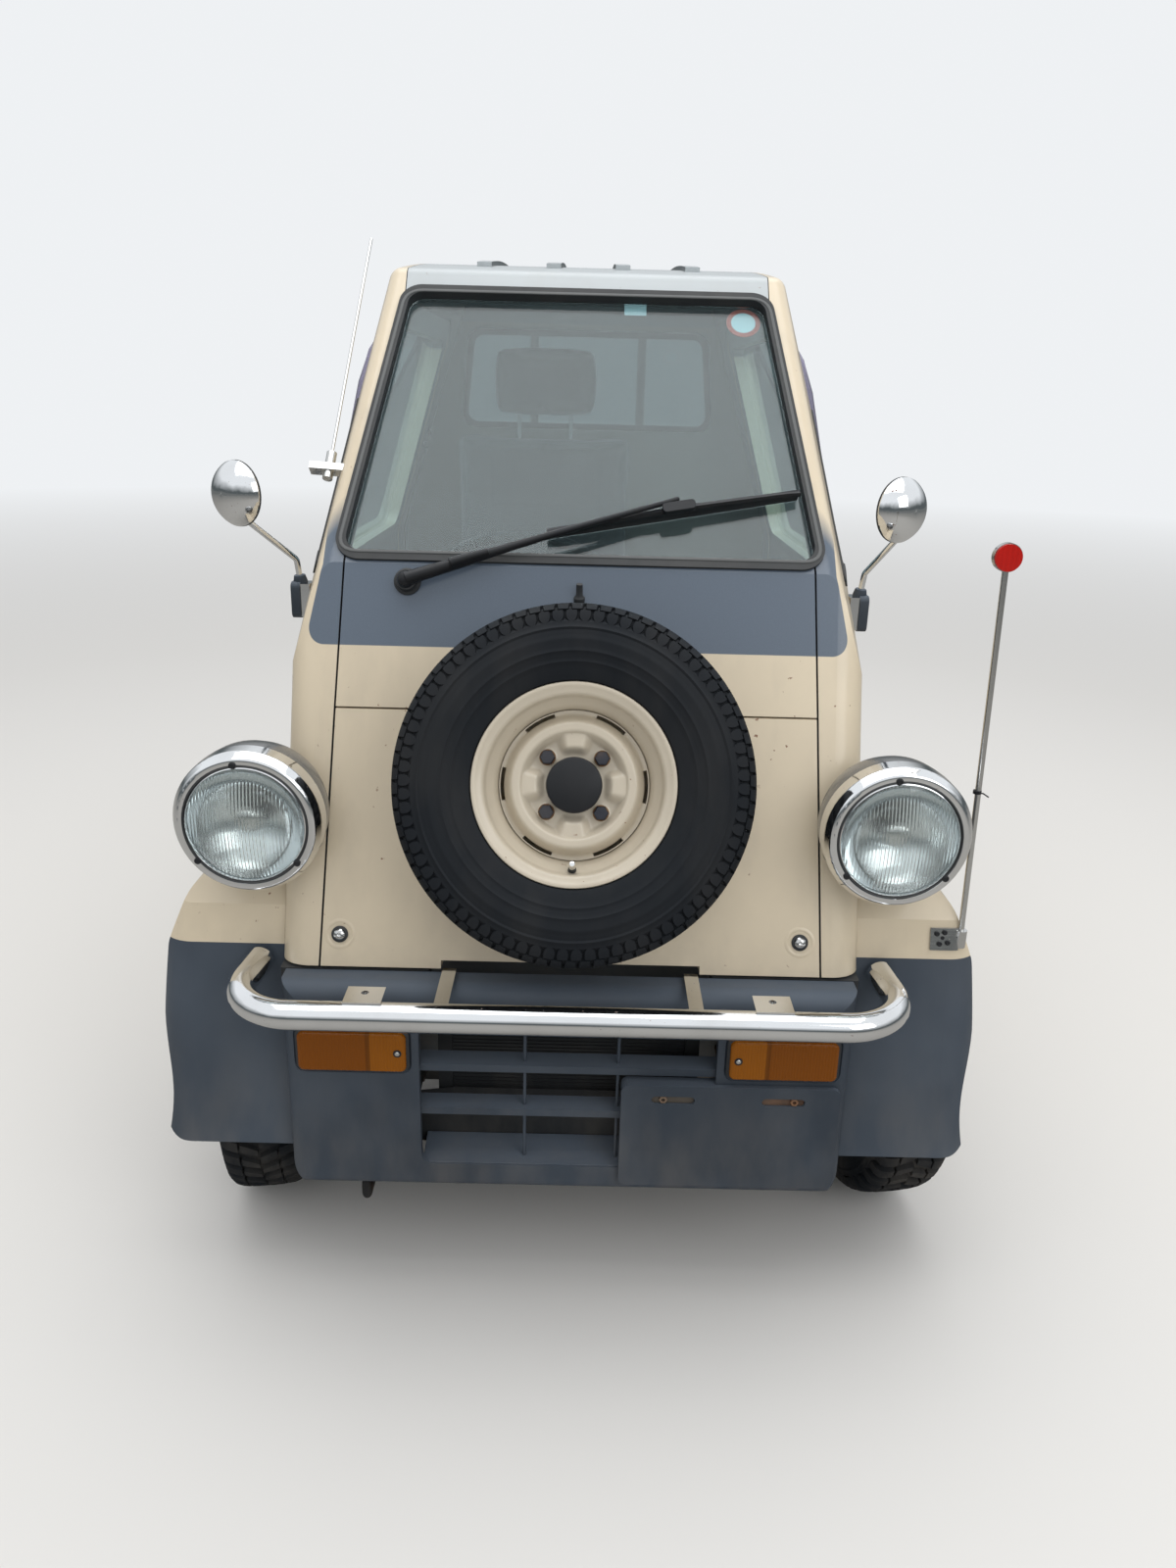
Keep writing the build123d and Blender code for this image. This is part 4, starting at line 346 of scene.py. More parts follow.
def stand(point, way, up=(0, 0, 1)):
    """A place whose Z looks along way; its Y leans towards up."""
    ahead = Vector(way).normalized()
    side = Vector(up).cross(ahead)
    side = side.normalized() if side.length > 1e-6 else ahead.orthogonal().normalized()
    turn = Matrix((side, ahead.cross(side), ahead)).transposed()
    return Matrix.Translation(Vector(point)) @ turn.to_4x4()


def sewn(form, rows, ring=True, loop=False, capped=False):
    """Faces between rows of points; ring closes each row, loop joins the last row to the first."""
    for here, there in zip(rows, rows[1:] + (rows[:1] if loop else [])):
        for index in range(len(here) if ring else len(here) - 1):
            after = (index + 1) % len(here)
            form.faces.new((here[index], here[after], there[after], there[index]))
    if capped:
        form.faces.new(rows[0][::-1])
        form.faces.new(rows[-1])


def turned(form, profile, place, steps=32, closed=False):
    """A form turned about the Z of place from (radius, height) pairs; closed joins the last to the first."""
    rows = []
    for step in range(steps):
        turn = math.tau * step / steps
        around = (math.cos(turn), math.sin(turn))
        rows.append([form.verts.new(place @ Vector((r * around[0], r * around[1], h))) for r, h in profile])
    sewn(form, rows, ring=closed, loop=True)


def bent_bar(form, route, radius, sides=12):
    """Round bar through the points of route; radius is one number or one for each point."""
    route = [Vector(point) for point in route]
    radii = radius if isinstance(radius, (list, tuple)) else [radius] * len(route)
    rows = []
    side = None
    for index, point in enumerate(route):
        way = (route[min(index + 1, len(route) - 1)] - route[max(index - 1, 0)]).normalized()
        side = way.orthogonal() if side is None else side - way * side.dot(way)
        side.normalize()
        up = way.cross(side)
        turns = [math.tau * step / sides for step in range(sides)]
        rows.append([form.verts.new(point + (side * math.cos(t) + up * math.sin(t)) * radii[index]) for t in turns])
    sewn(form, rows, capped=True)


def slab(form, rim, low, high, place):
    """Flat plate with its rim drawn in the plane of place, from low to high above it."""
    foot = [form.verts.new(place @ Vector((x, y, low))) for x, y in rim]
    head = [form.verts.new(place @ Vector((x, y, high))) for x, y in rim]
    form.faces.new(foot[::-1])
    form.faces.new(head)
    sewn(form, [foot, head])


def rounded(width, height, radius, steps=5, centre=(0.0, 0.0)):
    """Rim of a rectangle with rounded corners."""
    rim = []
    for quarter in range(4):
        x = (1, -1, -1, 1)[quarter] * (width / 2 - radius) + centre[0]
        y = (1, 1, -1, -1)[quarter] * (height / 2 - radius) + centre[1]
        for step in range(steps + 1):
            turn = math.pi / 2 * (quarter + step / steps)
            rim.append((x + radius * math.cos(turn), y + radius * math.sin(turn)))
    return rim


def blanks(count):
    """So many empty forms, one for each piece to be made."""
    return [bmesh.new() for _ in range(count)]


def piece(name, form, finish, body, edge=0.0, sharp=38.0):
    """A finished form as a piece of the truck; edge rounds its sharp edges by so much."""
    bmesh.ops.remove_doubles(form, verts=form.verts, dist=2e-6)
    bmesh.ops.recalc_face_normals(form, faces=form.faces)
    mesh = bpy.data.meshes.new(name)
    form.to_mesh(mesh)
    form.free()
    mesh.shade_smooth()
    mesh.set_sharp_from_angle(angle=math.radians(sharp))
    mesh.materials.append(finish)
    made = bpy.data.objects.new(name, mesh)
    bpy.context.scene.collection.objects.link(made)
    if edge:
        rounding = made.modifiers.new("rounding", "BEVEL")
        rounding.width = edge
        rounding.segments = 2
        rounding.limit_method = "ANGLE"
        rounding.angle_limit = math.radians(sharp)
        rounding.harden_normals = True
    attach(made, body)
    return made


def on_nose(across, height, lift=0.0):
    """Point on the nose panel, or lift in front of it."""
    depth = nose_foot[0] + (height - nose_foot[1]) * math.tan(nose_lean)
    return Vector((across, depth, height)) + nose_normal * lift


def touch(node, start, way):
    """Where a line first meets a CAD node, and the way the skin faces there."""
    solid = nodes[node]
    inward = solid.matrix_world.inverted()
    _, spot, facing, _ = solid.ray_cast(inward @ Vector(start), inward.to_3x3() @ Vector(way))
    return solid.matrix_world @ spot, (solid.matrix_world.to_3x3() @ facing).normalized()


screw_form, washer_form, dimple_form = blanks(3)
for across, height in nose_screws:
    seat = stand(on_nose(across, height), nose_normal)
    turned(washer_form, [(0.0, 0.0), (0.0125, 0.0), (0.0125, 0.0022), (0.0108, 0.0034), (0.0, 0.0034)], seat)
    head = [(0.0, 0.003), (0.0088, 0.003), (0.0084, 0.0052), (0.0062, 0.0070), (0.0030, 0.0078), (0.0, 0.0062)]
    turned(screw_form, head, seat, 24)
    turned(dimple_form, [(0.0170, 0.0), (0.0185, 0.0009), (0.0205, 0.0012), (0.0235, 0.0)], seat, 40)
jet = stand(on_nose(0.0, washer_jet_height), (0, -0.25, 1))
nozzle = [(0.0, -0.004), (0.0085, -0.004), (0.0085, 0.004), (0.0052, 0.008), (0.0048, 0.026), (0.0, 0.027)]
turned(washer_form, nozzle, jet, 20)
rubber = moulded("rubber", (0.028, 0.031, 0.034, 1), (0.075, 0.077, 0.078, 1), 0.62, 500.0, 0.08)


def plated(name, colour, roughness, pitted=1.0):
    """Chromium plate: bright, with wiping scratches, water marks and a few pinpricks of rust."""
    finish, tree, shader, place = new_finish(name, roughness, 1.0)
    marks = ramp(tree, grain(tree, place, 9.0, 5.0), 0.45, 0.70)
    pits = ramp(tree, grain(tree, place, 170.0, 4.0), 0.70, 0.74, 0.0, 0.8 * pitted)
    film = tint(tree, maths(tree, "MULTIPLY", marks, 0.14), colour, road_dust)
    tree.links.new(tint(tree, pits, film, rust), shader.inputs["Base Color"])
    wiped = ramp(tree, grain(tree, place, 240.0, 4.0, (0.05, 1, 1)), 0.48, 0.75, 0.0, 0.10)
    worn = maths(tree, "ADD", maths(tree, "MULTIPLY", marks, 0.06), maths(tree, "ADD", wiped, pits))
    tree.links.new(maths(tree, "ADD", roughness, worn), shader.inputs["Roughness"])
    relief(tree, shader, grain(tree, place, 14.0, 2.0), 0.0004)
    return finish


chrome = plated("chrome", (0.83, 0.84, 0.85, 1), 0.045)
bright_steel = plated("bright_steel", (0.62, 0.62, 0.61, 1), 0.16, 0.6)
piece("nose_screws", screw_form, bright_steel, "truck")
piece("nose_washers", washer_form, rubber, "truck")
piece("nose_dimples", dimple_form, cream_enamel, "truck")

# Tyres: five of one size, of black rubber moulded with their tread, blown onto the steel rims.
# The road tyres have a mud tread of slanting bars and square shoulders, the spare a ribbed truck tread.
tyre_radius = 0.2585
tyre_section = (
    # across, radius: half the section, from the middle of the tread to the bead
    (0.0, 0.2585), (0.022, 0.2581), (0.040, 0.2568), (0.0520, 0.2535), (0.0595, 0.2470), (0.0633, 0.2370),
    (0.0655, 0.2240), (0.0680, 0.2100), (0.0690, 0.1960), (0.0672, 0.1820), (0.0635, 0.1690),
    (0.0595, 0.1565), (0.0560, 0.1470), (0.0500, 0.1443),
)
tyre_bore = 0.1290
tread_edge = 0.083
tyre_steps = 144
tread_fade = 0.006
mud_depth = 0.0085
rib_depth = 0.0060
shoulder_depth = 0.0045
spare_centre = Vector((0, -1.232, 0.852))


def round_section(way):
    """Point of the smooth tyre at so many metres round its section from the middle of the tread."""
    left = abs(way)
    for (x0, r0), (x1, r1) in zip(tyre_section, tyre_section[1:]):
        run = math.hypot(x1 - x0, r1 - r0)
        if left <= run:
            share = left / run
            return (x0 + (x1 - x0) * share) * (1 if way >= 0 else -1), r0 + (r1 - r0) * share
        left -= run
    x, r = tyre_section[-1]
    return (x if way >= 0 else -x), r


section_length = sum(math.dist(here, there) for here, there in zip(tyre_section, tyre_section[1:]))


def tyre_point(way, sink):
    """Point of the section, sunk into the rubber square to its surface; the slope is taken 4 mm to each side."""
    step = 0.004
    ahead, behind = round_section(way + step), round_section(way - step)
    run = math.hypot(ahead[0] - behind[0], ahead[1] - behind[1])
    across, radius = round_section(way)
    outward = (-(ahead[1] - behind[1]) / run, (ahead[0] - behind[0]) / run)
    return across - outward[0] * sink, radius - outward[1] * sink


def carcass(form, place, sink_at, ways):
    """The tyre without its lugs, a closed ring."""
    profile = []
    for way in ways:
        across, radius = tyre_point(way, sink_at(way))
        profile.append((radius, across))
    profile.append((tyre_bore, profile[-1][1]))
    profile.append((tyre_bore, profile[0][1]))
    turned(form, profile, place, tyre_steps, closed=True)


lug_flare = 0.0012
lug_root = 0.001


def lug(form, place, angle, stations, depth):
    """One lug: stations are (way round the section, lead round the tyre, half length) from end to end."""
    top, foot = [], []
    for way, lead, half in stations:
        for row, sink, extra in ((top, 0.0, 0.0), (foot, depth + lug_root, lug_flare)):
            across, radius = tyre_point(way, sink)
            corners = []
            for edge in (-1, 1):
                turn = angle + (lead + edge * (half + extra)) / tyre_radius
                at = Vector((radius * math.cos(turn), radius * math.sin(turn), across))
                corners.append(form.verts.new(place @ at))
            row.append(corners)
    for index in range(len(stations) - 1):
        after = index + 1
        form.faces.new((top[index][0], top[index][1], top[after][1], top[after][0]))
        for edge in (0, 1):
            form.faces.new((top[index][edge], top[after][edge], foot[after][edge], foot[index][edge]))
    for index in (0, -1):
        form.faces.new((top[index][0], top[index][1], foot[index][1], foot[index][0]))


ridges = ((0.0915, 0.0022), (0.1080, 0.0016), (0.1240, 0.0018), (0.1400, 0.0016))
ridge_half = 0.0034


def sidewall(way, depth):
    """How far the carcass lies under the smooth section: grooved under the tread, ridged on the sidewall."""
    left = abs(way)
    if left < tread_edge:
        return depth * min(1.0, (tread_edge - left) / tread_fade)
    return -max([height * max(0.0, 1 - abs(left - spot) / ridge_half) for spot, height in ridges] + [0.0])


section_steps = 58
tyre_ways = [section_length * step / section_steps for step in range(-section_steps, section_steps + 1)]
tyre_rubber = moulded("tyre_rubber", (0.0100, 0.0120, 0.0150, 1), (0.017, 0.020, 0.024, 1), 0.66, 300.0, 0.08, 0.12)
wheel_hubs = {}
for joint in frame["joints"]:
    if joint["child"].endswith("_wheel") and joint["name"].endswith("_spin"):
        end, hand = joint["child"].split("_")[:2]
        outward = Vector(joint["axis"]) * (1 if hand == "left" else -1)
        wheel_hubs[end + "_" + hand] = (joint["child"], stand(joint["pos_m"], outward))

mud_pitches = 44
middle_lug = (
    # way round the section, lead round the tyre, half length
    (0.0015, -0.0150, 0.0060), (0.0110, -0.0105, 0.0078), (0.0210, -0.0060, 0.0088), (0.0290, -0.0020, 0.0082),
)
shoulder_lug = (
    (0.0330, 0.0000, 0.0108), (0.0430, 0.0030, 0.0112), (0.0540, 0.0052, 0.0112), (0.0640, 0.0060, 0.0105),
    (0.0740, 0.0060, 0.0092), (0.0830, 0.0060, 0.0078),
)
short_shoulder_lug = shoulder_lug[:-1] + ((0.0790, 0.0060, 0.0080),)


def lug_ring(form, place, pitches, lugs_at):
    """Lugs all round a tyre, those of one side standing half a pitch after those of the other."""
    for pitch in range(pitches):
        for side in (-1, 1):
            angle = math.tau * (pitch + (0.5 if side > 0 else 0.0)) / pitches
            for stations, depth in lugs_at(pitch):
                lug(form, place, angle, [(side * way, lead, half) for way, lead, half in stations], depth)


def mud_lugs(pitch):
    """A shoulder lug, every other one shorter, and a slanting middle lug."""
    return (short_shoulder_lug if pitch % 2 else shoulder_lug, mud_depth), (middle_lug, mud_depth)


for wheel, (body, place) in wheel_hubs.items():
    tread = bmesh.new()
    carcass(tread, place, lambda way: sidewall(way, mud_depth), tyre_ways)
    lug_ring(tread, place, mud_pitches, mud_lugs)
    made = piece("road_tyre_" + wheel, tread, tyre_rubber, body, sharp=32.0)
    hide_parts("tyre_" + wheel)

spare_place = stand(spare_centre, nose_normal)
rib_grooves = (0.0, 0.019, 0.036)
rib_field = 0.041
groove_half = 0.0032
groove_edges = (-0.0042, -0.0030, 0.0030, 0.0042)
rib_pitches = 78
spare_block = (
    (0.0405, 0.0000, 0.0090), (0.0500, 0.0008, 0.0080), (0.0590, 0.0012, 0.0076), (0.0640, 0.0012, 0.0072),
)
spare_scale = (
    (0.0660, 0.0095, 0.0072), (0.0715, 0.0098, 0.0084), (0.0765, 0.0100, 0.0080), (0.0805, 0.0100, 0.0060),
    (0.0830, 0.0100, 0.0030),
)
scale_depth = 0.0022


def ribbed(way):
    """Depth of the spare's carcass: straight grooves between its ribs, and a sunk shoulder."""
    left = abs(way)
    if left < rib_field:
        return rib_depth if min(abs(left - groove) for groove in rib_grooves) < groove_half else 0.0
    if left < tread_edge:
        return shoulder_depth * min(1.0, (tread_edge - left) / tread_fade)
    return sidewall(way, rib_depth)


spare_ways = sorted(set(
    tyre_ways + [side * (groove + off) for side in (-1, 1) for groove in rib_grooves for off in groove_edges]
))
tread = bmesh.new()
carcass(tread, spare_place, ribbed, spare_ways)
lug_ring(tread, spare_place, rib_pitches, lambda pitch: ((spare_block, shoulder_depth), (spare_scale, scale_depth)))
made = piece("spare_truck_tyre", tread, tyre_rubber, "truck", sharp=32.0)
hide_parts("spare_tyre")

# Wheels: pressed steel, a rolled rim with a dished disc welded into it, four bolts and a cap over the bearing. They
# are sprayed in the body's cream, here made darker as painted shade; six narrow slots let air through between disc
# and rim.
wheel_enamel = enamel("wheel_enamel", (0.545, 0.485, 0.385, 1), 0.36, 1.2)
rim_profile = (
    # radius, height towards the street
    (0.1440, 0.0500), (0.1448, 0.0535), (0.1436, 0.0560), (0.1405, 0.0566), (0.1378, 0.0552), (0.1352, 0.0530),
    (0.1312, 0.0522), (0.1278, 0.0500), (0.1260, 0.0450), (0.1254, 0.0330), (0.1235, 0.0280), (0.1160, 0.0210),
    (0.1110, 0.0150), (0.1085, 0.0080), (0.1072, -0.0080), (0.1120, -0.0180), (0.1230, -0.0260), (0.1240, -0.0480),
    (0.1270, -0.0560), (0.1436, -0.0560), (0.1440, -0.0500), (0.1285, -0.0480), (0.1275, -0.0240),
    (0.1140, -0.0120), (0.1140, 0.0140), (0.1275, 0.0270), (0.1285, 0.0490),
)
bolt_circle = 0.055
bolt_turns = [math.radians(45 + 90 * index) for index in range(4)]
slot_turns = [math.radians(60 * index) for index in range(6)]
slot_reach = math.radians(12.5)
rim_steps = 128
disc_steps = 192
disc_sheet = 0.0045
disc_hole, disc_width, disc_rings = 0.030, 0.0775, 44
disc_radii = [disc_hole + disc_width * ring / disc_rings for ring in range(disc_rings + 1)]
bolt_face = 0.0155


def smooth_step(low, high, value):
    """0 below low, 1 above high, and a smooth rise between them."""
    share = min(1.0, max(0.0, (value - low) / (high - low)))
    return share * share * (3 - 2 * share)


def disc_height(radius, turn):
    """Height of the pressed disc: bolt face, four bosses between the bolts, raised ring and its outer slope."""
    nearest = abs((turn + math.pi / 4) % (math.pi / 2) - math.pi / 4)
    boss = 1.0 - smooth_step(math.radians(10), math.radians(25), nearest)
    rise = smooth_step(0.0655, 0.0785, radius)
    pad = boss * smooth_step(0.043, 0.056, radius) * 0.72
    height = 0.0140 + 0.0180 * max(rise, pad)
    height -= 0.0225 * smooth_step(0.0870, 0.1030, radius)
    bolt_off = min(math.hypot(radius * math.cos(turn) - bolt_circle * math.cos(b),
                              radius * math.sin(turn) - bolt_circle * math.sin(b)) for b in bolt_turns)
    return height + 0.0022 * (1 - smooth_step(0.0095, 0.0150, bolt_off))


def air_slot(radius, turn):
    """True in one of the six slots at the edge of the disc."""
    off = min(abs((turn - middle + math.pi) % math.tau - math.pi) for middle in slot_turns)
    return 0.1000 < radius < 0.1060 and off < slot_reach


def pressed_wheel(form, place):
    """The rolled rim and, inside it, the pressed disc as a sheet with six slots cut through."""
    turned(form, rim_profile, place, rim_steps, closed=True)
    levels = []
    for under in (0.0, disc_sheet):
        rows = []
        for radius in disc_radii:
            row = []
            for step in range(disc_steps):
                turn = math.tau * step / disc_steps
                height = disc_height(radius, turn) - under
                at = Vector((radius * math.cos(turn), radius * math.sin(turn), height))
                row.append(form.verts.new(place @ at))
            rows.append(row)
        levels.append(rows)
    for index in range(len(disc_radii) - 1):
        middle = (disc_radii[index] + disc_radii[index + 1]) / 2
        for step in range(disc_steps):
            after = (step + 1) % disc_steps
            middle_turn = math.tau * (step + 0.5) / disc_steps
            if air_slot(middle, middle_turn):
                continue
            for rows in levels:
                near, far = rows[index], rows[index + 1]
                form.faces.new((near[step], near[after], far[after], far[step]))
            for first, edge in ((index - 1, index), (index + 1, index + 1)):
                beyond = (disc_radii[max(first, 0)] + disc_radii[min(first + 1, len(disc_radii) - 1)]) / 2
                if air_slot(beyond, middle_turn):
                    top, foot = levels[0][edge], levels[1][edge]
                    form.faces.new((top[step], top[after], foot[after], foot[step]))
            for beside, column in ((step - 0.5, step), (step + 1.5, after)):
                if air_slot(middle, math.tau * beside / disc_steps):
                    top, foot = levels
                    form.faces.new((top[index][column], top[index + 1][column],
                                    foot[index + 1][column], foot[index][column]))
    for edge in (0, -1):
        sewn(form, [levels[0][edge], levels[1][edge]])


def wheel_bolts(form, seats, place):
    """Four hexagon heads, each on its cone seat."""
    for turn in bolt_turns:
        at = place @ Matrix.Translation((bolt_circle * math.cos(turn), bolt_circle * math.sin(turn), bolt_face))
        turned(seats, [(0.0, 0.0), (0.0118, 0.0), (0.0112, 0.0020), (0.0, 0.0024)], at, 24)
        turned(form, [(0.0, 0.0020), (0.0112, 0.0020), (0.0112, 0.0098), (0.0094, 0.0122), (0.0, 0.0126)], at, 6)


def bearing_cap(form, place):
    """Plastic cap over the bearing, drawn in at its rim."""
    cap = [(0.0, 0.0120), (0.0395, 0.0120), (0.0400, 0.0300), (0.0388, 0.0345), (0.0360, 0.0362), (0.0, 0.0368)]
    turned(form, cap, place, 64)


def rusted(name, colour, bloom, roughness=0.72, metallic=0.2, spread_from=0.42):
    """Bare or thinly painted iron that has rusted in patches and gathered dust."""
    finish, tree, shader, place = new_finish(name, roughness, metallic)
    shader.inputs["Specular IOR Level"].default_value = 0.25
    spread = ramp(tree, grain(tree, place, 12.0, 9.0, rough=0.62), spread_from, spread_from + 0.2)
    skin = tint(tree, spread, colour, bloom)
    dusty = ramp(tree, grain(tree, place, 3.0, 4.0), 0.45, 0.65, 0.0, 0.4)
    tree.links.new(tint(tree, dusty, skin, road_dust), shader.inputs["Base Color"])
    relief(tree, shader, grain(tree, place, 130.0, 6.0), 0.0006)
    return finish


iron = rusted("iron", (0.035, 0.030, 0.027, 1), (0.13, 0.062, 0.035, 1))
bolt_steel = rusted("bolt_steel", (0.040, 0.043, 0.055, 1), (0.11, 0.055, 0.035, 1), 0.5, 0.4, 0.56)
seat_rust = rusted("seat_rust", (0.20, 0.095, 0.040, 1), (0.32, 0.22, 0.12, 1), 0.85, 0.0, 0.44)
cap_black = moulded("cap_black", (0.014, 0.015, 0.018, 1), (0.022, 0.024, 0.027, 1), 0.45, 600.0, 0.05)
wheel_jobs = [("spare", "truck", spare_place, "spare_wheel")]
wheel_jobs += [(wheel, body, place, "wheel_" + wheel) for wheel, (body, place) in wheel_hubs.items()]
for wheel, body, place, node in wheel_jobs:
    pressing, bolts, seats, cap, valve, valve_cap = blanks(6)
    pressed_wheel(pressing, place)
    made = piece("pressed_wheel_" + wheel, pressing, wheel_enamel, body, sharp=40.0)
    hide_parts(node)
    wheel_bolts(bolts, seats, place)
    piece("bolt_seats_" + wheel, seats, seat_rust, body)
    piece("wheel_bolts_" + wheel, bolts, bolt_steel, body)
    bearing_cap(cap, place)
    piece("bearing_cap_" + wheel, cap, cap_black, body)
    if wheel != "spare":
        drum = bmesh.new()
        profile = [(0.018, -0.030), (0.085, -0.030), (0.0915, -0.026), (0.0915, -0.004),
                   (0.085, 0.0), (0.060, 0.006), (0.018, 0.008)]
        turned(drum, profile, place, 64, closed=True)
        piece("brake_drum_" + wheel, drum, iron, body)
    foot = place @ Matrix.Translation((0, -0.1205, 0.026)) @ Matrix.Rotation(math.radians(-22), 4, "X")
    turned(valve, [(0.0, 0.0), (0.0062, 0.0), (0.0052, 0.010), (0.0036, 0.015), (0.0, 0.016)], foot, 16)
    piece("valve_stem_" + wheel, valve, rubber, body)
    turned(valve_cap, [(0.0, 0.014), (0.0046, 0.014), (0.0046, 0.025), (0.0036, 0.028), (0.0, 0.0285)], foot, 16)
    piece("valve_cap_" + wheel, valve_cap, chrome, body)

# Headlamps: round lamps, each a chromed rim with three screws, a black rubber ring, a fluted glass and a silvered
# bowl with a small shield before the bulb. The body of the lamp is a dark grey enamelled bowl.
lamp_spots = [Vector((side * 0.467, -1.263, 0.793)) for side in (-1, 1)]
lamp_steps = 72
lens_radius = 0.0865
lens_crown = 0.0155
lens_lift = 0.0004
lens_sheet = 0.0034
flute_pitch = 0.0050
flute_depth = 0.0019
lamp_ways = [stand(spot, (0, -1, 0)) for spot in lamp_spots]


def fluted_lens(form, place):
    """Domed disc whose back is moulded in upright flutes; its end columns stay a hair short of a point."""
    columns = 206
    rows = 26
    sheets = []
    for back in (0, 1):
        sheet = []
        for column in range(columns + 1):
            x = lens_radius * (2 * column / columns - 1) * 0.9999
            tall = math.sqrt(lens_radius ** 2 - x * x)
            line = []
            for row in range(rows + 1):
                y = tall * (2 * row / rows - 1)
                rim_share = math.hypot(x, y) / lens_radius
                height = lens_crown * (1 - rim_share ** 2) + lens_lift
                if back:
                    wave = 0.5 - 0.5 * math.cos(math.tau * x / flute_pitch)
                    block = 1.0 if abs(x) < 0.030 and y < -0.010 else 0.55
                    height -= lens_sheet - flute_depth * block * wave * (1 - rim_share ** 8)
                line.append(form.verts.new(place @ Vector((x, y, height))))
            sheet.append(line)
        sheets.append(sheet)
        for column in range(columns):
            for row in range(rows):
                form.faces.new((sheet[column][row], sheet[column + 1][row],
                                sheet[column + 1][row + 1], sheet[column][row + 1]))
    front, back = sheets
    rim = [(column, 0) for column in range(columns)] + [(columns, row) for row in range(rows)]
    rim += [(column, rows) for column in range(columns, 0, -1)] + [(0, row) for row in range(rows, 0, -1)]
    for here, there in zip(rim, rim[1:] + rim[:1]):
        form.faces.new((front[here[0]][here[1]], front[there[0]][there[1]],
                        back[there[0]][there[1]], back[here[0]][here[1]]))


def glazing(name, colour, film=0.10, roughness=0.015, dull=(0.52, 0.62, 0.60, 1), shine=0.5):
    """Clear glass that lets the lamps through to what is behind it, under a thin film of dust."""
    finish, tree, shader, place = new_finish(name, roughness)
    shader.inputs["IOR"].default_value = 1.45
    shader.inputs["Specular IOR Level"].default_value = shine
    dirt = ramp(tree, grain(tree, place, 3.0, 5.0, (1, 1, 0.6)), 0.30, 0.72, film * 0.8, film * 1.25)
    tree.links.new(maths(tree, "SUBTRACT", 1.0, dirt), shader.inputs["Transmission Weight"])
    tree.links.new(tint(tree, dirt, colour, dull), shader.inputs["Base Color"])
    rays = wire(tree, "ShaderNodeLightPath")
    clear = wire(tree, "ShaderNodeBsdfTransparent", [("Color", colour)])
    blocked = maths(tree, "MAXIMUM", rays.outputs["Is Shadow Ray"], rays.outputs["Is Diffuse Ray"])
    mixed = wire(tree, "ShaderNodeMixShader", [(0, blocked), (1, shader.outputs[0]), (2, clear.outputs[0])])
    tree.links.new(mixed.outputs[0], tree.nodes["Material Output"].inputs["Surface"])
    return finish


lamp_glass = glazing("lamp_glass", (0.93, 0.97, 0.96, 1), 0.05)
silvered = plated("silvered", (0.82, 0.85, 0.87, 1), 0.05, 0.2)
bowl_enamel = enamel("bowl_enamel", (0.085, 0.088, 0.090, 1), 0.22, 0.5)
dress(chrome, "headlamp_rims")
dress(bowl_enamel, "headlamp_buckets")
lens_form, mirror_form, bezel_form, ring_form, notch_form, shield_form, shell_form = blanks(7)
notch_turns = [math.radians(turn) for turn in (97, 218, 322)]
notch_circle = 0.0905
shell_profile = [(0.1055, -0.0290), (0.1058, -0.0480), (0.1030, -0.0720), (0.0950, -0.0960), (0.0820, -0.1160),
                 (0.0800, -0.1160), (0.0930, -0.0950), (0.1010, -0.0710), (0.1036, -0.0480), (0.1030, -0.0290)]
for place in lamp_ways:
    turned(shell_form, shell_profile, place, lamp_steps, closed=True)
    fluted_lens(lens_form, place)
    bowl = [(0.0865, -0.0040), (0.0800, -0.0150), (0.0680, -0.0290), (0.0500, -0.0420), (0.0300, -0.0500),
            (0.0140, -0.0530), (0.0140, -0.0545), (0.0500, -0.0440), (0.0700, -0.0300), (0.0875, -0.0100),
            (0.0880, -0.0040)]
    turned(mirror_form, bowl, place, lamp_steps, closed=True)
    ring = [(0.0858, 0.0010), (0.0896, 0.0010), (0.0896, 0.0092), (0.0882, 0.0100), (0.0866, 0.0060)]
    turned(ring_form, ring, place, lamp_steps, closed=True)
    inner = [(0.0838, 0.0020), (0.0868, 0.0016), (0.0868, 0.0080), (0.0852, 0.0088), (0.0840, 0.0068)]
    turned(bezel_form, inner, place, lamp_steps, closed=True)
    shield = [(0.0, -0.0080), (0.0125, -0.0090), (0.0165, -0.0120), (0.0175, -0.0260), (0.0160, -0.0260),
              (0.0150, -0.0130), (0.0, -0.0100)]
    turned(shield_form, shield, place, 32)
    for across in (-0.015, 0.015):
        stay = [place @ Vector((across, 0, -0.024)), place @ Vector((across * 1.3, 0, -0.0500))]
        bent_bar(shield_form, stay, 0.0012, 8)
    for turn in notch_turns:
        at = place @ Matrix.Translation((notch_circle * math.cos(turn), notch_circle * math.sin(turn), 0.0070))
        turned(notch_form, [(0.0, 0.0), (0.0050, 0.0), (0.0050, 0.0030), (0.0032, 0.0040), (0.0, 0.0028)], at, 16)
made = piece("fluted_lenses", lens_form, lamp_glass, "truck", sharp=60.0)
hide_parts("headlamp_lenses")
piece("lamp_mirrors", mirror_form, silvered, "truck")
piece("lamp_shells", shell_form, bowl_enamel, "truck")
piece("lamp_bezels", bezel_form, chrome, "truck")
piece("lamp_rubber_rings", ring_form, rubber, "truck")
piece("lamp_screws", notch_form, cap_black, "truck")
piece("bulb_shields", shield_form, bright_steel, "truck")

# Bumper bar: a bent steel tube, chromed, on two flat posts that are bolted to the frame. Two drilled tabs are
# welded to it for lamps, which are not fitted.
dress(chrome, "bumper_bar")
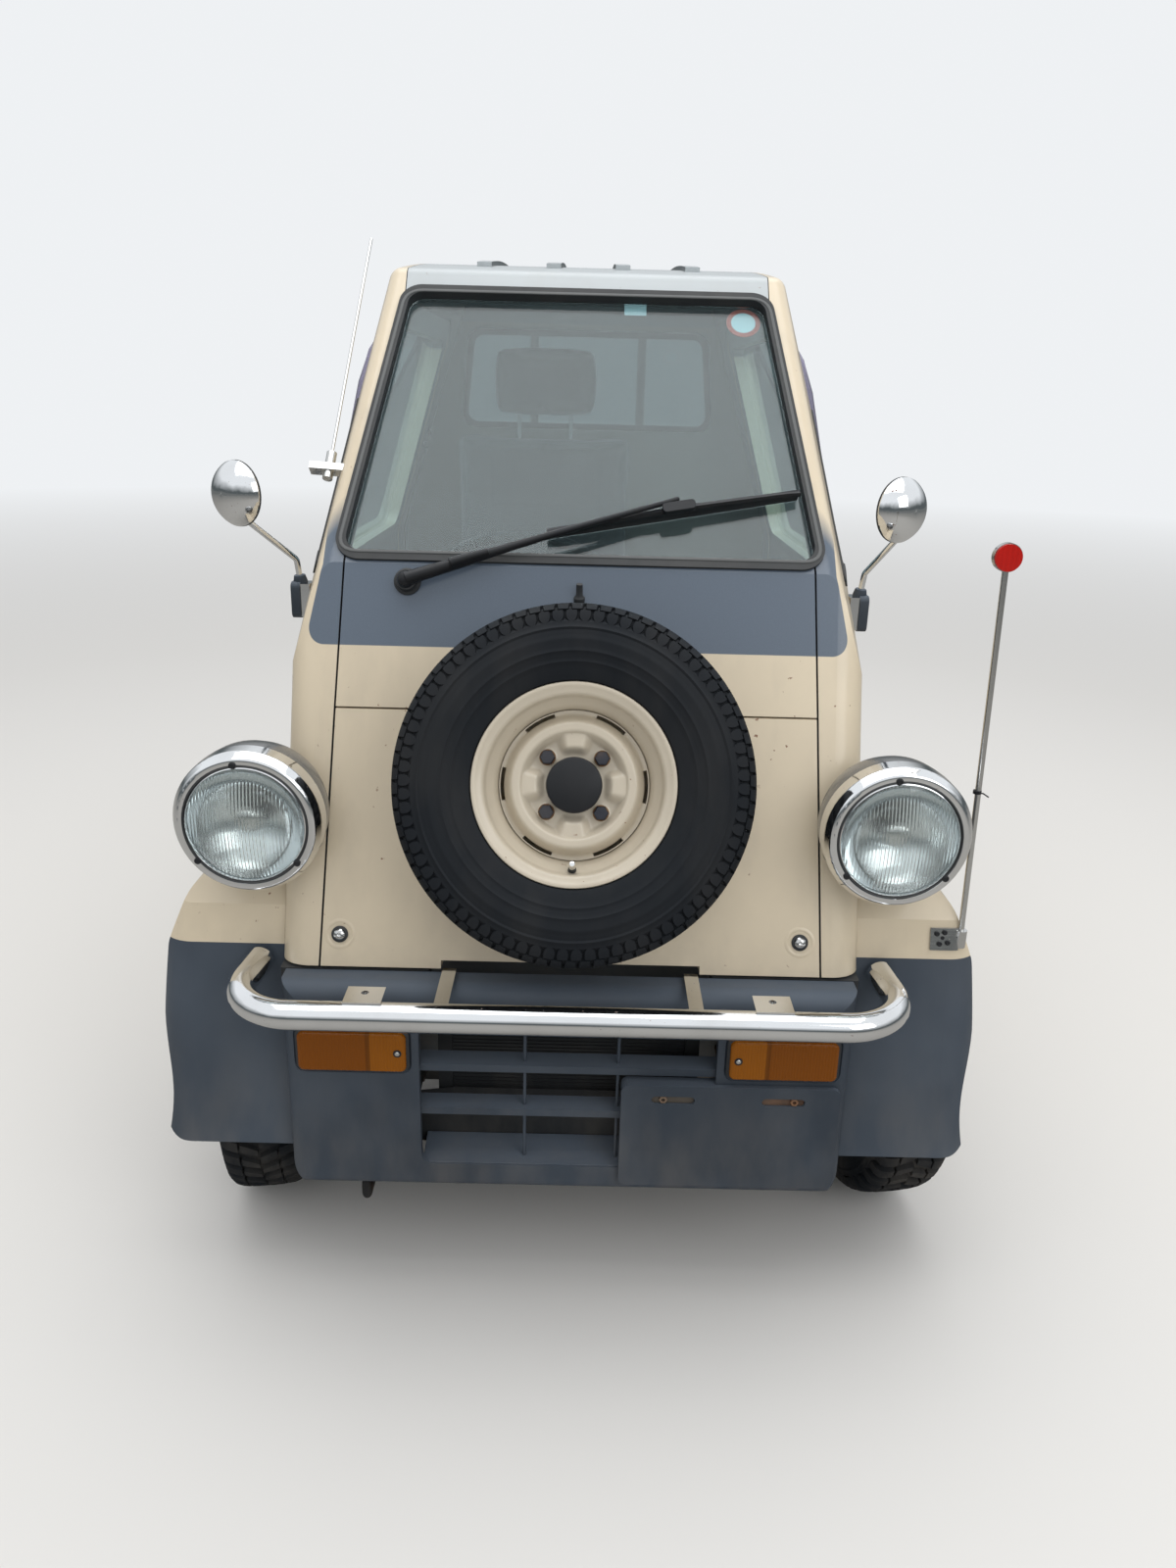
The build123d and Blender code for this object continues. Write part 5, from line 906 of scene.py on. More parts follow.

# Bumper and flares: one hollow moulding of dark blue-grey plastic, let into the nose, with a bolted number plate
# panel. Two rusty captive nuts show in the slots of that panel; no plate is fitted. A ledge lies in the air intake,
# and strips of black rubber fill the gap under the nose as painted shade.
moulded_grey = (0.036, 0.047, 0.063, 1)
# Its paler grey is painted light from above on faces that look up, and random bleached patches.
bleached_and_lit_grey = (0.115, 0.140, 0.175, 1)
grey_plastic = moulded("grey_plastic", moulded_grey, bleached_and_lit_grey, 0.48, 900.0, 0.10)
dress(grey_plastic, "bumper", "front_flares", "rear_flares", "rear_bumper")
nut_rust = rusted("nut_rust", (0.16, 0.10, 0.065, 1), (0.30, 0.13, 0.055, 1), 0.8, 0.2)
nut_form, clip_form, ledge_form, seal_form = blanks(4)
nut_depth, nut_height = -1.2955, 0.373
for across, nut_across in ((0.161, 0.146), (0.329, 0.346)):
    back = stand((across, nut_depth, nut_height), (0, -1, 0))
    slab(clip_form, rounded(0.064, 0.0135, 0.004), 0.0, 0.0015, back)
    nut = stand((nut_across, nut_depth, nut_height), (0, -1, 0))
    nut_profile = [(0.0030, 0.0), (0.0066, 0.0), (0.0066, 0.0045), (0.0056, 0.0055), (0.0034, 0.0055)]
    turned(nut_form, nut_profile, nut, 6, closed=True)
piece("captive_nuts", nut_form, nut_rust, "truck")
piece("nut_clips", clip_form, iron, "truck")
ledge_line = [(-1.2908, 0.2442), (-1.2345, 0.2600), (-1.2345, 0.2560), (-1.2908, 0.2400)]
ends = [[ledge_form.verts.new((x, y, z)) for y, z in ledge_line] for x in (-0.2235, 0.0900)]
sewn(ledge_form, ends, capped=True)
piece("intake_ledge", ledge_form, grey_plastic, "truck", edge=0.0010)
# Black strips in the gap between nose and bumper: painted shade of the gap.
for side in (-1, 1):
    slab(seal_form, rounded(0.225, 0.036, 0.004), 0.518, 0.5515, Matrix.Translation((side * 0.3275, -1.2225, 0)))
piece("nose_seals", seal_form, rubber, "truck")

# Radiator: a core of thin alloy fins soldered between two tanks, painted black, behind the grille. A black sheet
# hangs before the frame's cross member as painted shade, to darken the recess under the core.
fin_black = moulded("fin_black", (0.020, 0.022, 0.024, 1), (0.05, 0.052, 0.055, 1), 0.5, 300.0)
dress(fin_black, "radiator")
low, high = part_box("radiator")
fin_form, shade_sheet_form = blanks(2)
fin_gap, fin_sheet = 0.0062, 0.0007
tank_wide, tank_tall = 0.024, 0.015
fins = int((high[2] - low[2] - 2 * tank_tall) / fin_gap)
x0, x1 = low[0] + tank_wide, high[0] - tank_wide
fin_rim = [(x0, 0.0), (x1, 0.0), (x1, fin_sheet), (x0, fin_sheet)]
for index in range(fins):
    at = Matrix.Translation((0, low[1] + 0.005, low[2] + 0.016 + index * fin_gap))
    slab(fin_form, fin_rim, -0.0050, 0.0015, at @ Matrix.Rotation(math.pi / 2, 4, "X"))
piece("radiator_fins", fin_form, fin_black, "truck")
# A black sheet before the cross member: painted shade in the recess under the radiator.
shade_sheet_rim = [(-0.235, -0.045), (0.235, -0.045), (0.235, 0.045), (0.180, 0.052), (-0.180, 0.052), (-0.235, 0.045)]
slab(shade_sheet_form, shade_sheet_rim, 0.0, 0.0012, stand((0.0, -1.2325, 0.290), (0, -1, 0)))
piece("radiator_shade_sheet", shade_sheet_form, fin_black, "truck")

# Turn signals: amber acrylic lenses let into the bumper, each with a black rubber edge and one screw at its
# inner end. The outer part has an orange bulb chamber behind it and looks darker than the inner one.
lamp_low, lamp_high = 0.412, 0.477
lamp_inner, lamp_outer = 0.243, 0.406
bumper_front = -1.294


def lens_colour(name, deep, bright, split, flutes):
    """Coloured acrylic: a darker and a brighter chamber, fine moulded ribs and a glossy face."""
    finish, tree, shader, place = new_finish(name, 0.16)
    out = maths(tree, "ABSOLUTE", wire(tree, "ShaderNodeSeparateXYZ", [(0, place)]).outputs["X"])
    chamber = ramp(tree, out, split - 0.004, split + 0.004)
    seam = maths(tree, "ABSOLUTE", maths(tree, "SUBTRACT", out, split))
    wall = ramp(tree, seam, 0.0028, 0.0040, 0.55, 0.0)
    ribs = maths(tree, "SINE", maths(tree, "MULTIPLY", out, flutes))
    ribbed_tone = maths(tree, "MULTIPLY", ribs, 0.07)
    shade = maths(tree, "ADD", ribbed_tone, ramp(tree, grain(tree, place, 30.0, 3.0), 0.3, 0.7, 0.0, 0.2))
    inner = tint(tree, shade, bright, deep)
    glow = tint(tree, chamber, inner, deep)
    tree.links.new(tint(tree, wall, glow, toned(deep, 0.35)), shader.inputs["Base Color"])
    shader.inputs["Specular IOR Level"].default_value = 0.15
    shader.inputs["Coat Weight"].default_value = 0.08
    shader.inputs["Coat Roughness"].default_value = 0.05
    relief(tree, shader, ribs, 0.00015)
    return finish


def framed(form, place, outer, inner, outer_top, inner_top):
    """A frame between two rims; its face runs from outer_top to inner_top above the plane of place."""
    rims = ((outer, 0.0), (outer, outer_top), (inner, inner_top), (inner, 0.0))
    rows = [[form.verts.new(place @ Vector((x, y, h))) for x, y in rim] for rim, h in rims]
    sewn(form, rows, loop=True)


amber = lens_colour("amber", (0.175, 0.050, 0.002, 1), (0.245, 0.078, 0.003, 1), 0.300, 1400.0)
dress(amber, "turn_lamps")
edge_form, screw_form, screw_ring = blanks(3)
wide, tall = lamp_outer - lamp_inner, lamp_high - lamp_low
outer_rim = rounded(wide + 0.0078, tall + 0.0078, 0.0125, 6)
inner_rim = rounded(wide - 0.0012, tall - 0.0012, 0.0085, 6)
for side in (-1, 1):
    middle = side * (lamp_inner + lamp_outer) / 2
    place = stand((middle, bumper_front + 0.0015, (lamp_low + lamp_high) / 2), (0, -1, 0))
    framed(edge_form, place, outer_rim, inner_rim, 0.0022, 0.0042)
    at = stand((side * (lamp_inner + 0.0125), bumper_front - 0.0094, 0.4455), (0, -1, 0))
    turned(screw_ring, [(0.0, 0.0), (0.0062, 0.0), (0.0062, 0.0011), (0.0, 0.0012)], at, 20)
    turned(screw_form, [(0.0, 0.0008), (0.0036, 0.0008), (0.0036, 0.0018), (0.0022, 0.0026), (0.0, 0.0022)], at, 20)
piece("turn_lamp_edges", edge_form, rubber, "truck")
piece("turn_lamp_screw_cups", screw_ring, cap_black, "truck")
piece("turn_lamp_screws", screw_form, bright_steel, "truck")

# Windows: tempered glass with a green tinge, in black rubber seals with a paler filler strip pressed into them.
# Thirty summers have left a thin milky film on the glass. Two blank stickers stay on the windscreen.
screen_lean = math.radians(38.4)
screen_foot = (-1.0331, 1.134)
screen_normal = Vector((0, -math.cos(screen_lean), math.sin(screen_lean)))
window_glass = glazing("window_glass", (0.68, 0.80, 0.82, 1), 0.036, 0.008, (0.28, 0.40, 0.43, 1), 0.32)
dress(window_glass, "windscreen", "cab_glass", "door_glass_left", "door_glass_right")
dress(rubber, "window_seals")


def on_screen(across, height, lift=0.0):
    """Point on the plane of the windscreen, or lift in front of it."""
    depth = screen_foot[0] + (height - screen_foot[1]) * math.tan(screen_lean)
    return Vector((across, depth, height)) + screen_normal * lift


def rounded_corners(corners, radius, steps=6):
    """A closed line through points, each corner rounded by an arc-like curve."""
    line = []
    count = len(corners)
    for index, corner in enumerate(corners):
        before, after = corners[index - 1], corners[(index + 1) % count]
        start = corner + (before - corner).normalized() * radius
        stop = corner + (after - corner).normalized() * radius
        for step in range(steps + 1):
            share = step / steps
            line.append(start.lerp(corner, share).lerp(corner.lerp(stop, share), share))
    return line


def closed_bar(form, line, radius, sides, press=1.0, face=None):
    """A ring of bar along a closed line; press flattens it along face."""
    rows = []
    count = len(line)
    for index, point in enumerate(line):
        way = (line[(index + 1) % count] - line[index - 1]).normalized()
        up = (face - way * face.dot(way)).normalized()
        side = way.cross(up)
        turns = [math.tau * step / sides for step in range(sides)]
        rows.append([form.verts.new(point + side * math.cos(t) * radius + up * math.sin(t) * radius * press)
                     for t in turns])
    sewn(form, rows, loop=True)


strip_form, square_form, disc_form, band_form = blanks(4)
strip_corners = ((-0.3715, 1.1480), (0.3715, 1.1480), (0.3025, 1.5395), (-0.3025, 1.5395))
strip_line = rounded_corners([on_screen(x, z, 0.0052) for x, z in strip_corners], 0.030)
closed_bar(strip_form, strip_line, 0.0030, 8, 0.5, screen_normal)
pale_rubber = moulded("pale_rubber", (0.085, 0.090, 0.092, 1), (0.15, 0.155, 0.155, 1), 0.5, 500.0, 0.06)
piece("windscreen_filler_strip", strip_form, pale_rubber, "truck")
paper = moulded("paper", (0.80, 0.93, 0.95, 1), (0.84, 0.95, 0.96, 1), 0.7, 400.0, 0.02)
red_print = moulded("red_print", (0.62, 0.085, 0.055, 1), (0.66, 0.12, 0.085, 1), 0.7, 400.0, 0.02)
under, over = -0.0186, -0.0178
slab(square_form, rounded(0.037, 0.025, 0.002), under, over, stand(on_screen(0.0815, 1.532), screen_normal))
round_place = stand(on_screen(0.263, 1.514), screen_normal)
turned(disc_form, [(0.0, over), (0.0205, over), (0.0205, under), (0.0, under)], round_place, 40)
border_radius = 0.0285
band = [(border_radius * 0.72, over), (border_radius, over), (border_radius, under), (border_radius * 0.72, under)]
turned(band_form, band, round_place, 40, closed=True)
piece("square_sticker", square_form, paper, "truck")
piece("round_sticker", disc_form, paper, "truck")
piece("round_sticker_border", band_form, red_print, "truck")

# Wiper: a spindle in a rubber boot on the cowl, a tapered pressed arm with its hinge and spring cover, and a long
# blade carried at its middle by a clip. All of it is painted black.
wiper_black = moulded("wiper_black", (0.010, 0.011, 0.013, 1), (0.026, 0.028, 0.032, 1), 0.34, 300.0, 0.05)
pivot = on_nose(-0.262, 1.108)
boot_place = stand(pivot, nose_normal)
boot_form, arm_form, blade_form, rubber_form = blanks(4)
boot = [(0.0, 0.0005), (0.0205, 0.0005), (0.0205, 0.004), (0.0165, 0.007), (0.0150, 0.018), (0.0, 0.018)]
turned(boot_form, boot, boot_place, 32)
spindle = [(0.0, 0.014), (0.0128, 0.014), (0.0128, 0.022), (0.0105, 0.028), (0.0050, 0.031), (0.0, 0.031)]
turned(arm_form, spindle, boot_place, 32)
clip_at = on_screen(0.150, 1.2225, 0.0215)
elbow = pivot + nose_normal * 0.023
arm_route = [elbow.lerp(clip_at, share) + screen_normal * (0.004 * math.sin(math.pi * share))
             for share in [index / 10 for index in range(11)]]
arm_radii = [0.0108, 0.0100, 0.0092, 0.0074, 0.0062, 0.0056, 0.0052, 0.0048, 0.0045, 0.0042, 0.0040]
bent_bar(arm_form, arm_route, arm_radii, 10)
spring_cover = [elbow.lerp(clip_at, share) + screen_normal * 0.008 for share in (0.16, 0.30)]
bent_bar(arm_form, spring_cover, [0.0086, 0.0060], 10)
blade_start, blade_stop = on_screen(-0.0520, 1.1790), on_screen(0.340, 1.2430)
blade_way = (blade_stop - blade_start).normalized()
blade_long = (blade_stop - blade_start).length
blade_place = Matrix.Translation(blade_start) @ Matrix(
    (blade_way, screen_normal.cross(blade_way), screen_normal)
).transposed().to_4x4()
crest_table = [(0.0, 0.0080), (0.06, 0.0115), (0.30, 0.0150), (0.47, 0.0175), (0.55, 0.0175), (0.75, 0.0150),
               (0.95, 0.0115), (1.0, 0.0080)]
rows = []
for share, crest in crest_table:
    x = share * blade_long
    section = [(-0.0048, 0.0035), (0.0048, 0.0035), (0.0062, 0.0070), (0.0035, crest), (-0.0020, crest + 0.0018),
               (-0.0050, crest - 0.002)]
    rows.append([blade_form.verts.new(blade_place @ Vector((x, y, z))) for y, z in section])
sewn(blade_form, rows, capped=True)
lip_end = blade_long - 0.002
lip_rim = [(0.002, -0.0016), (lip_end, -0.0016), (lip_end, 0.0016), (0.002, 0.0016)]
slab(rubber_form, lip_rim, -0.0110, 0.0042, blade_place)
clip_place = blade_place @ Matrix.Translation((blade_long * 0.515, 0, 0.0145))
slab(arm_form, rounded(0.052, 0.017, 0.006), 0.0, 0.0105, clip_place)
made = piece("wiper_arm", arm_form, wiper_black, "truck", edge=0.0012)
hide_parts("wiper")
piece("wiper_blade", blade_form, wiper_black, "truck")
piece("wiper_rubber", rubber_form, rubber, "truck")
piece("wiper_boot", boot_form, rubber, "truck")

# Mirrors: chromed domed heads on bent chromed rods, with a flat mirror glass facing back and a grey plastic foot
# screwed to the door pillar on each side.
mirror_heads = ((-1, 0.566, 1.217), (1, 0.524, 1.217))
mirror_turn = math.radians(32.0)
mirror_radius = 0.053
mirror_y = -0.862
dress(chrome, "mirrors")
mirror_glass = plated("mirror_glass", (0.80, 0.84, 0.86, 1), 0.02, 0.0)
foot_y, foot_height = -0.812, 1.038
glass_form, rim_form, foot_form, foot_screws = blanks(4)
for side, across, height in mirror_heads:
    look = Vector((-side * math.sin(mirror_turn), math.cos(mirror_turn), 0))
    place = stand((side * across, mirror_y, height), look)
    turned(glass_form, [(0.0, 0.0008), (0.0495, 0.0008), (0.0495, 0.0014), (0.0, 0.0014)], place, 48)
    inside, outside = mirror_radius - 0.0042, mirror_radius + 0.0003
    rim = [(inside, -0.0010), (outside, -0.0010), (outside, 0.0022),
           (mirror_radius - 0.0020, 0.0034), (inside, 0.0026)]
    turned(rim_form, rim, place, 48, closed=True)
    foot = stand((side * 0.4915, foot_y, foot_height), (side, 0, 0))
    slab(foot_form, rounded(0.046, 0.062, 0.010), -0.012, 0.0045, foot)
    collar = stand((side * 0.480, foot_y, 1.040), (0.08 * side, -0.12, 1))
    turned(foot_form, [(0.0, 0.0), (0.0120, 0.0), (0.0120, 0.030), (0.0095, 0.040), (0.0, 0.040)], collar, 24)
    for drop in (-0.021, 0.021):
        at = stand((side * 0.4958, foot_y, foot_height + drop), (side, 0, 0))
        turned(foot_screws, [(0.0, 0.0), (0.0042, 0.0), (0.0036, 0.0018), (0.0, 0.0026)], at, 16)
piece("mirror_glasses", glass_form, mirror_glass, "truck")
piece("mirror_rims", rim_form, rubber, "truck")
piece("mirror_feet", foot_form, grey_plastic, "truck", edge=0.0012)
piece("mirror_foot_screws", foot_screws, bright_steel, "truck")

# Aerial on the truck's right pillar, and the corner marker on its left: a thin bright rod with a red reflector on
# top and a screwed plate at its foot, held halfway by a thin black tie.
dress(bright_steel, "corner_pole", "aerial")
reflector_form, tie_form, plate_screws = blanks(3)
disc = stand((0.591, -1.1940, 1.186), (0, -1, 0))
turned(reflector_form, [(0.0, 0.0), (0.0190, 0.0), (0.0188, 0.0032), (0.0, 0.0046)], disc, 40)
tie = stand((0.5968, -1.188, 0.842), (0, 0, 1))
turned(tie_form, [(0.0040, -0.0025), (0.0062, -0.0025), (0.0062, 0.0025), (0.0040, 0.0025)], tie, 20, closed=True)
bent_bar(tie_form, [(0.5968, -1.193, 0.842), (0.600, -1.204, 0.845), (0.606, -1.211, 0.842)], 0.0011, 8)
red_lens = lens_colour("red_lens", (0.20, 0.006, 0.005, 1), (0.46, 0.014, 0.010, 1), 0.90, 900.0)
ahead_of_plate = -1.300
screw_head = [(0.0, 0.0), (0.0042, 0.0), (0.0040, 0.0022), (0.0024, 0.0034), (0.0, 0.0026)]
plate_hole = [(0.0, 0.0), (0.0030, 0.0), (0.0030, 0.0004), (0.0, 0.0004)]
plate_table = (
    # across, height, what sits there
    (0.5645, 0.6105, screw_head), (0.5765, 0.6125, screw_head), (0.5690, 0.5950, screw_head),
    (0.5815, 0.5970, screw_head), (0.5735, 0.6040, plate_hole),
)
for across, height, profile in plate_table:
    spot, facing = touch("corner_pole", (across, ahead_of_plate, height), (0, 1, 0))
    turned(plate_screws, profile, stand(spot, facing), 18)
piece("corner_plate_screws", plate_screws, cap_black, "truck")
piece("corner_reflector", reflector_form, red_lens, "truck")
piece("corner_tie", tie_form, cap_black, "truck")

# Door visors: bent strips of smoked violet acrylic that ride on the doors, along the top and front of each
# window, glued to the frame and standing proud of the glass to keep the rain out.
visor_tint = (0.46, 0.42, 0.60, 1)
visor_finish, visor_tree, visor_shader, visor_spot = new_finish("smoked_acrylic", 0.12)
visor_shader.inputs["IOR"].default_value = 1.49
cloudy = ramp(visor_tree, grain(visor_tree, visor_spot, 8.0, 5.0), 0.3, 0.7, 0.25, 0.50)
visor_tree.links.new(maths(visor_tree, "SUBTRACT", 1.0, cloudy), visor_shader.inputs["Transmission Weight"])
pale_violet = toned(visor_tint, 1.25)
visor_tree.links.new(tint(visor_tree, cloudy, visor_tint, pale_violet), visor_shader.inputs["Base Color"])
belt_half = 0.497
belt_height = 1.055


def door_skin(height):
    """Half width over the doors at a height: upright to the belt, then leaning in."""
    if height < 0.620:
        return 0.478 + 0.019 * (height - 0.300) / 0.320
    return belt_half - max(0.0, height - belt_height) * 0.307


visor_line = [(-0.585, 1.180), (-0.585, 1.300), (-0.583, 1.400), (-0.575, 1.462), (-0.553, 1.494), (-0.515, 1.508),
              (-0.420, 1.512), (-0.280, 1.513), (-0.140, 1.512), (-0.020, 1.510)]
door_sides = ((1, "left_door", "left"), (-1, "right_door", "right"))
for side, door, hand in door_sides:
    visor = bmesh.new()
    rows = []
    for index, (y, z) in enumerate(visor_line):
        ahead = visor_line[min(index + 1, len(visor_line) - 1)]
        behind = visor_line[max(index - 1, 0)]
        run = Vector((0, ahead[0] - behind[0], ahead[1] - behind[1])).normalized()
        inward = Vector((0, run.z, -run.y))
        taper = min(1.0, 0.35 + index * 0.3, 0.35 + (len(visor_line) - 1 - index) * 0.3)
        base = Vector((side * (door_skin(z) + 0.0012), y, z))
        section = [base, base + inward * 0.014 + Vector((side * 0.010 * taper, 0, 0)),
                   base + inward * 0.030 + Vector((side * 0.026 * taper, 0, 0)),
                   base + inward * 0.052 * taper + Vector((side * 0.032 * taper, 0, 0))]
        rows.append([visor.verts.new(point) for point in section])
    sewn(visor, rows, ring=False)
    made = piece("door_visor_" + hand, visor, visor_finish, door)
    shell = made.modifiers.new("thickness", "SOLIDIFY")
    shell.thickness = 0.0028
    shell.offset = 0.0

# Seat: one bucket for the driver, foam on a sprung frame under grey woven cloth, with a sewn centre panel,
# piped edges and a headrest on two chromed posts.
seat_low, seat_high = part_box("seat_cushion")
back_low, back_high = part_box("seat_back")
seat_middle = (seat_low[0] + seat_high[0]) / 2
back_top = 1.303
back_lean = math.tan(math.radians(6.0))
rest_low = 1.333
pad_voxel = 0.006
seam_half, seam_depth = 0.011, 0.0065
puff_pressure, puff_frames = 4.0, 20
skin_gap = 0.001


def woven(name, colour, thread, shade):
    """Plain weave cloth: two threads crossing, the colour a little uneven, soft sheen."""
    finish, tree, shader, place = new_finish(name, 0.88)
    shader.inputs["Sheen Weight"].default_value = 0.35
    shader.inputs["Sheen Roughness"].default_value = 0.5
    sides = wire(tree, "ShaderNodeSeparateXYZ", [(0, place)]).outputs
    lengthwise = maths(tree, "ADD", sides["Y"], sides["Z"])
    warp = maths(tree, "SINE", maths(tree, "MULTIPLY", sides["X"], thread))
    weft = maths(tree, "SINE", maths(tree, "MULTIPLY", lengthwise, thread))
    weave = maths(tree, "MULTIPLY", warp, weft)
    raised = ramp(tree, weave, -1.0, 1.0)
    worn = ramp(tree, grain(tree, place, 9.0, 5.0), 0.35, 0.68, 0.0, 0.5)
    cloth = tint(tree, raised, toned(colour, 0.62), colour)
    tree.links.new(tint(tree, worn, cloth, shade), shader.inputs["Base Color"])
    uneven = maths(tree, "MULTIPLY", grain(tree, place, 60.0, 3.0), 0.5)
    relief(tree, shader, maths(tree, "ADD", raised, uneven), 0.0006)
    return finish


seat_weave = woven("seat_weave", (0.090, 0.100, 0.108, 1), 2600.0, (0.125, 0.132, 0.138, 1))
seat_side = woven("seat_side", (0.050, 0.054, 0.060, 1), 3600.0, (0.070, 0.074, 0.080, 1))


def pad(name, low, high, lean, most, creases, shrink=0.010):
    """A sewn foam pad: a boxy cover is inflated as cloth, moving by most at most, then drawn in along its creases.

    Each crease is (axis it stands across, distance from the middle, axis that ends it, half its length).
    """
    form = bmesh.new()
    bmesh.ops.create_cube(form, size=1.0)
    size = [b - a - 2 * shrink for a, b in zip(low, high)]
    middle = [(a + b) / 2 for a, b in zip(low, high)]
    for vert in form.verts:
        vert.co = Vector([part * long + centre for part, long, centre in zip(vert.co, size, middle)])
    soft = min(size) * 0.30
    bmesh.ops.bevel(form, geom=form.edges[:], offset=soft, segments=4, affect="EDGES", profile=0.6)
    for vert in form.verts:
        vert.co.y += (vert.co.z - low[2]) * lean
    mesh = bpy.data.meshes.new(name)
    form.to_mesh(mesh)
    form.free()
    made = bpy.data.objects.new(name, mesh)
    bpy.context.scene.collection.objects.link(made)
    remesh = made.modifiers.new("remesh", "REMESH")
    remesh.mode = "VOXEL"
    remesh.voxel_size = pad_voxel
    layer = bpy.context.evaluated_depsgraph_get()
    cover = bpy.data.meshes.new_from_object(made.evaluated_get(layer))
    made.modifiers.clear()
    made.data = cover
    before = [vert.co.copy() for vert in cover.vertices]
    cloth = made.modifiers.new("cloth", "CLOTH").settings
    cloth.use_pressure = True
    cloth.uniform_pressure_force = puff_pressure
    cloth.effector_weights.gravity = 0.0
    cloth.quality = 4
    for frame_number in range(1, puff_frames + 1):
        bpy.context.scene.frame_set(frame_number)
    layer = bpy.context.evaluated_depsgraph_get()
    swollen = bpy.data.meshes.new_from_object(made.evaluated_get(layer))
    made.modifiers.clear()
    for vert, start, end in zip(cover.vertices, before, swollen.vertices):
        move = end.co - start
        vert.co = start + move * min(1.0, most / max(move.length, 1e-9))
    bpy.context.scene.frame_set(1)
    for vert in cover.vertices:
        upright_y = vert.co.y - (vert.co.z - low[2]) * lean
        spot = (vert.co.x - middle[0], upright_y - middle[1], vert.co.z - middle[2])
        depth = 0.0
        for axis, at, over, reach in creases:
            off = abs(abs(spot[axis]) - at) if at else abs(spot[axis])
            if off < seam_half and abs(spot[over]) < reach:
                depth = max(depth, seam_depth * (1 - off / seam_half) ** 1.5)
        vert.co -= vert.normal * depth
        shift = (vert.co.z - low[2]) * lean
        upright = (vert.co.x, vert.co.y - shift, vert.co.z)
        x, y, z = [min(top - skin_gap, max(foot + skin_gap, part)) for foot, top, part in zip(low, high, upright)]
        vert.co = (x, y + shift, z)
    smooth = made.modifiers.new("smooth", "SUBSURF")
    smooth.levels = 1
    smooth.render_levels = 1
    layer = bpy.context.evaluated_depsgraph_get()
    final = bpy.data.meshes.new_from_object(made.evaluated_get(layer))
    made.modifiers.clear()
    made.data = final
    final.shade_smooth()
    return made


cushion_creases = ((0, 0.135, 1, 0.150), (1, 0.0, 0, 0.135), (1, 0.110, 0, 0.135))
cushion = pad("seat_cushion_pad", list(seat_low), list(seat_high), 0.0, 0.011, cushion_creases)
back_box = ([back_low[0], -0.110, 0.7235], [back_high[0], -0.010, back_top])
back_creases = ((0, 0.125, 2, 0.230), (2, 0.0, 0, 0.125), (2, 0.120, 0, 0.125))
back = pad("seat_back_pad", *back_box, back_lean, 0.012, back_creases)
rest_box = ([seat_middle - 0.118, -0.031, rest_low], [seat_middle + 0.118, 0.049, rest_low + 0.150])
rest = pad("headrest_pad", *rest_box, 0.0, 0.012, (), 0.006)
pad_table = ((cushion, "seat_cushion", seat_weave), (back, "seat_back", seat_weave), (rest, "", seat_side))
for made, node, finish in pad_table:
    made.data.materials.clear()
    made.data.materials.append(finish)
    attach(made, "truck")
    if node:
        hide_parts(node)
post_form, piping_form = blanks(2)
for across in (-0.060, 0.060):
    post = [(seat_middle + across, 0.009, height) for height in (back_top - 0.020, rest_low + 0.020)]
    bent_bar(post_form, post, 0.0058, 16)
piece("headrest_posts", post_form, chrome, "truck")
x0, x1, y0, y1 = seat_low[0] + 0.022, seat_high[0] - 0.022, seat_low[1] + 0.022, seat_high[1] - 0.030
piping_corners = [Vector((x, y, 0.718)) for x, y in ((x0, y0), (x1, y0), (x1, y1), (x0, y1))]
closed_bar(piping_form, rounded_corners(piping_corners, 0.05), 0.0032, 8, 1.0, Vector((0, 0, 1)))
piece("seat_piping", piping_form, seat_side, "truck")

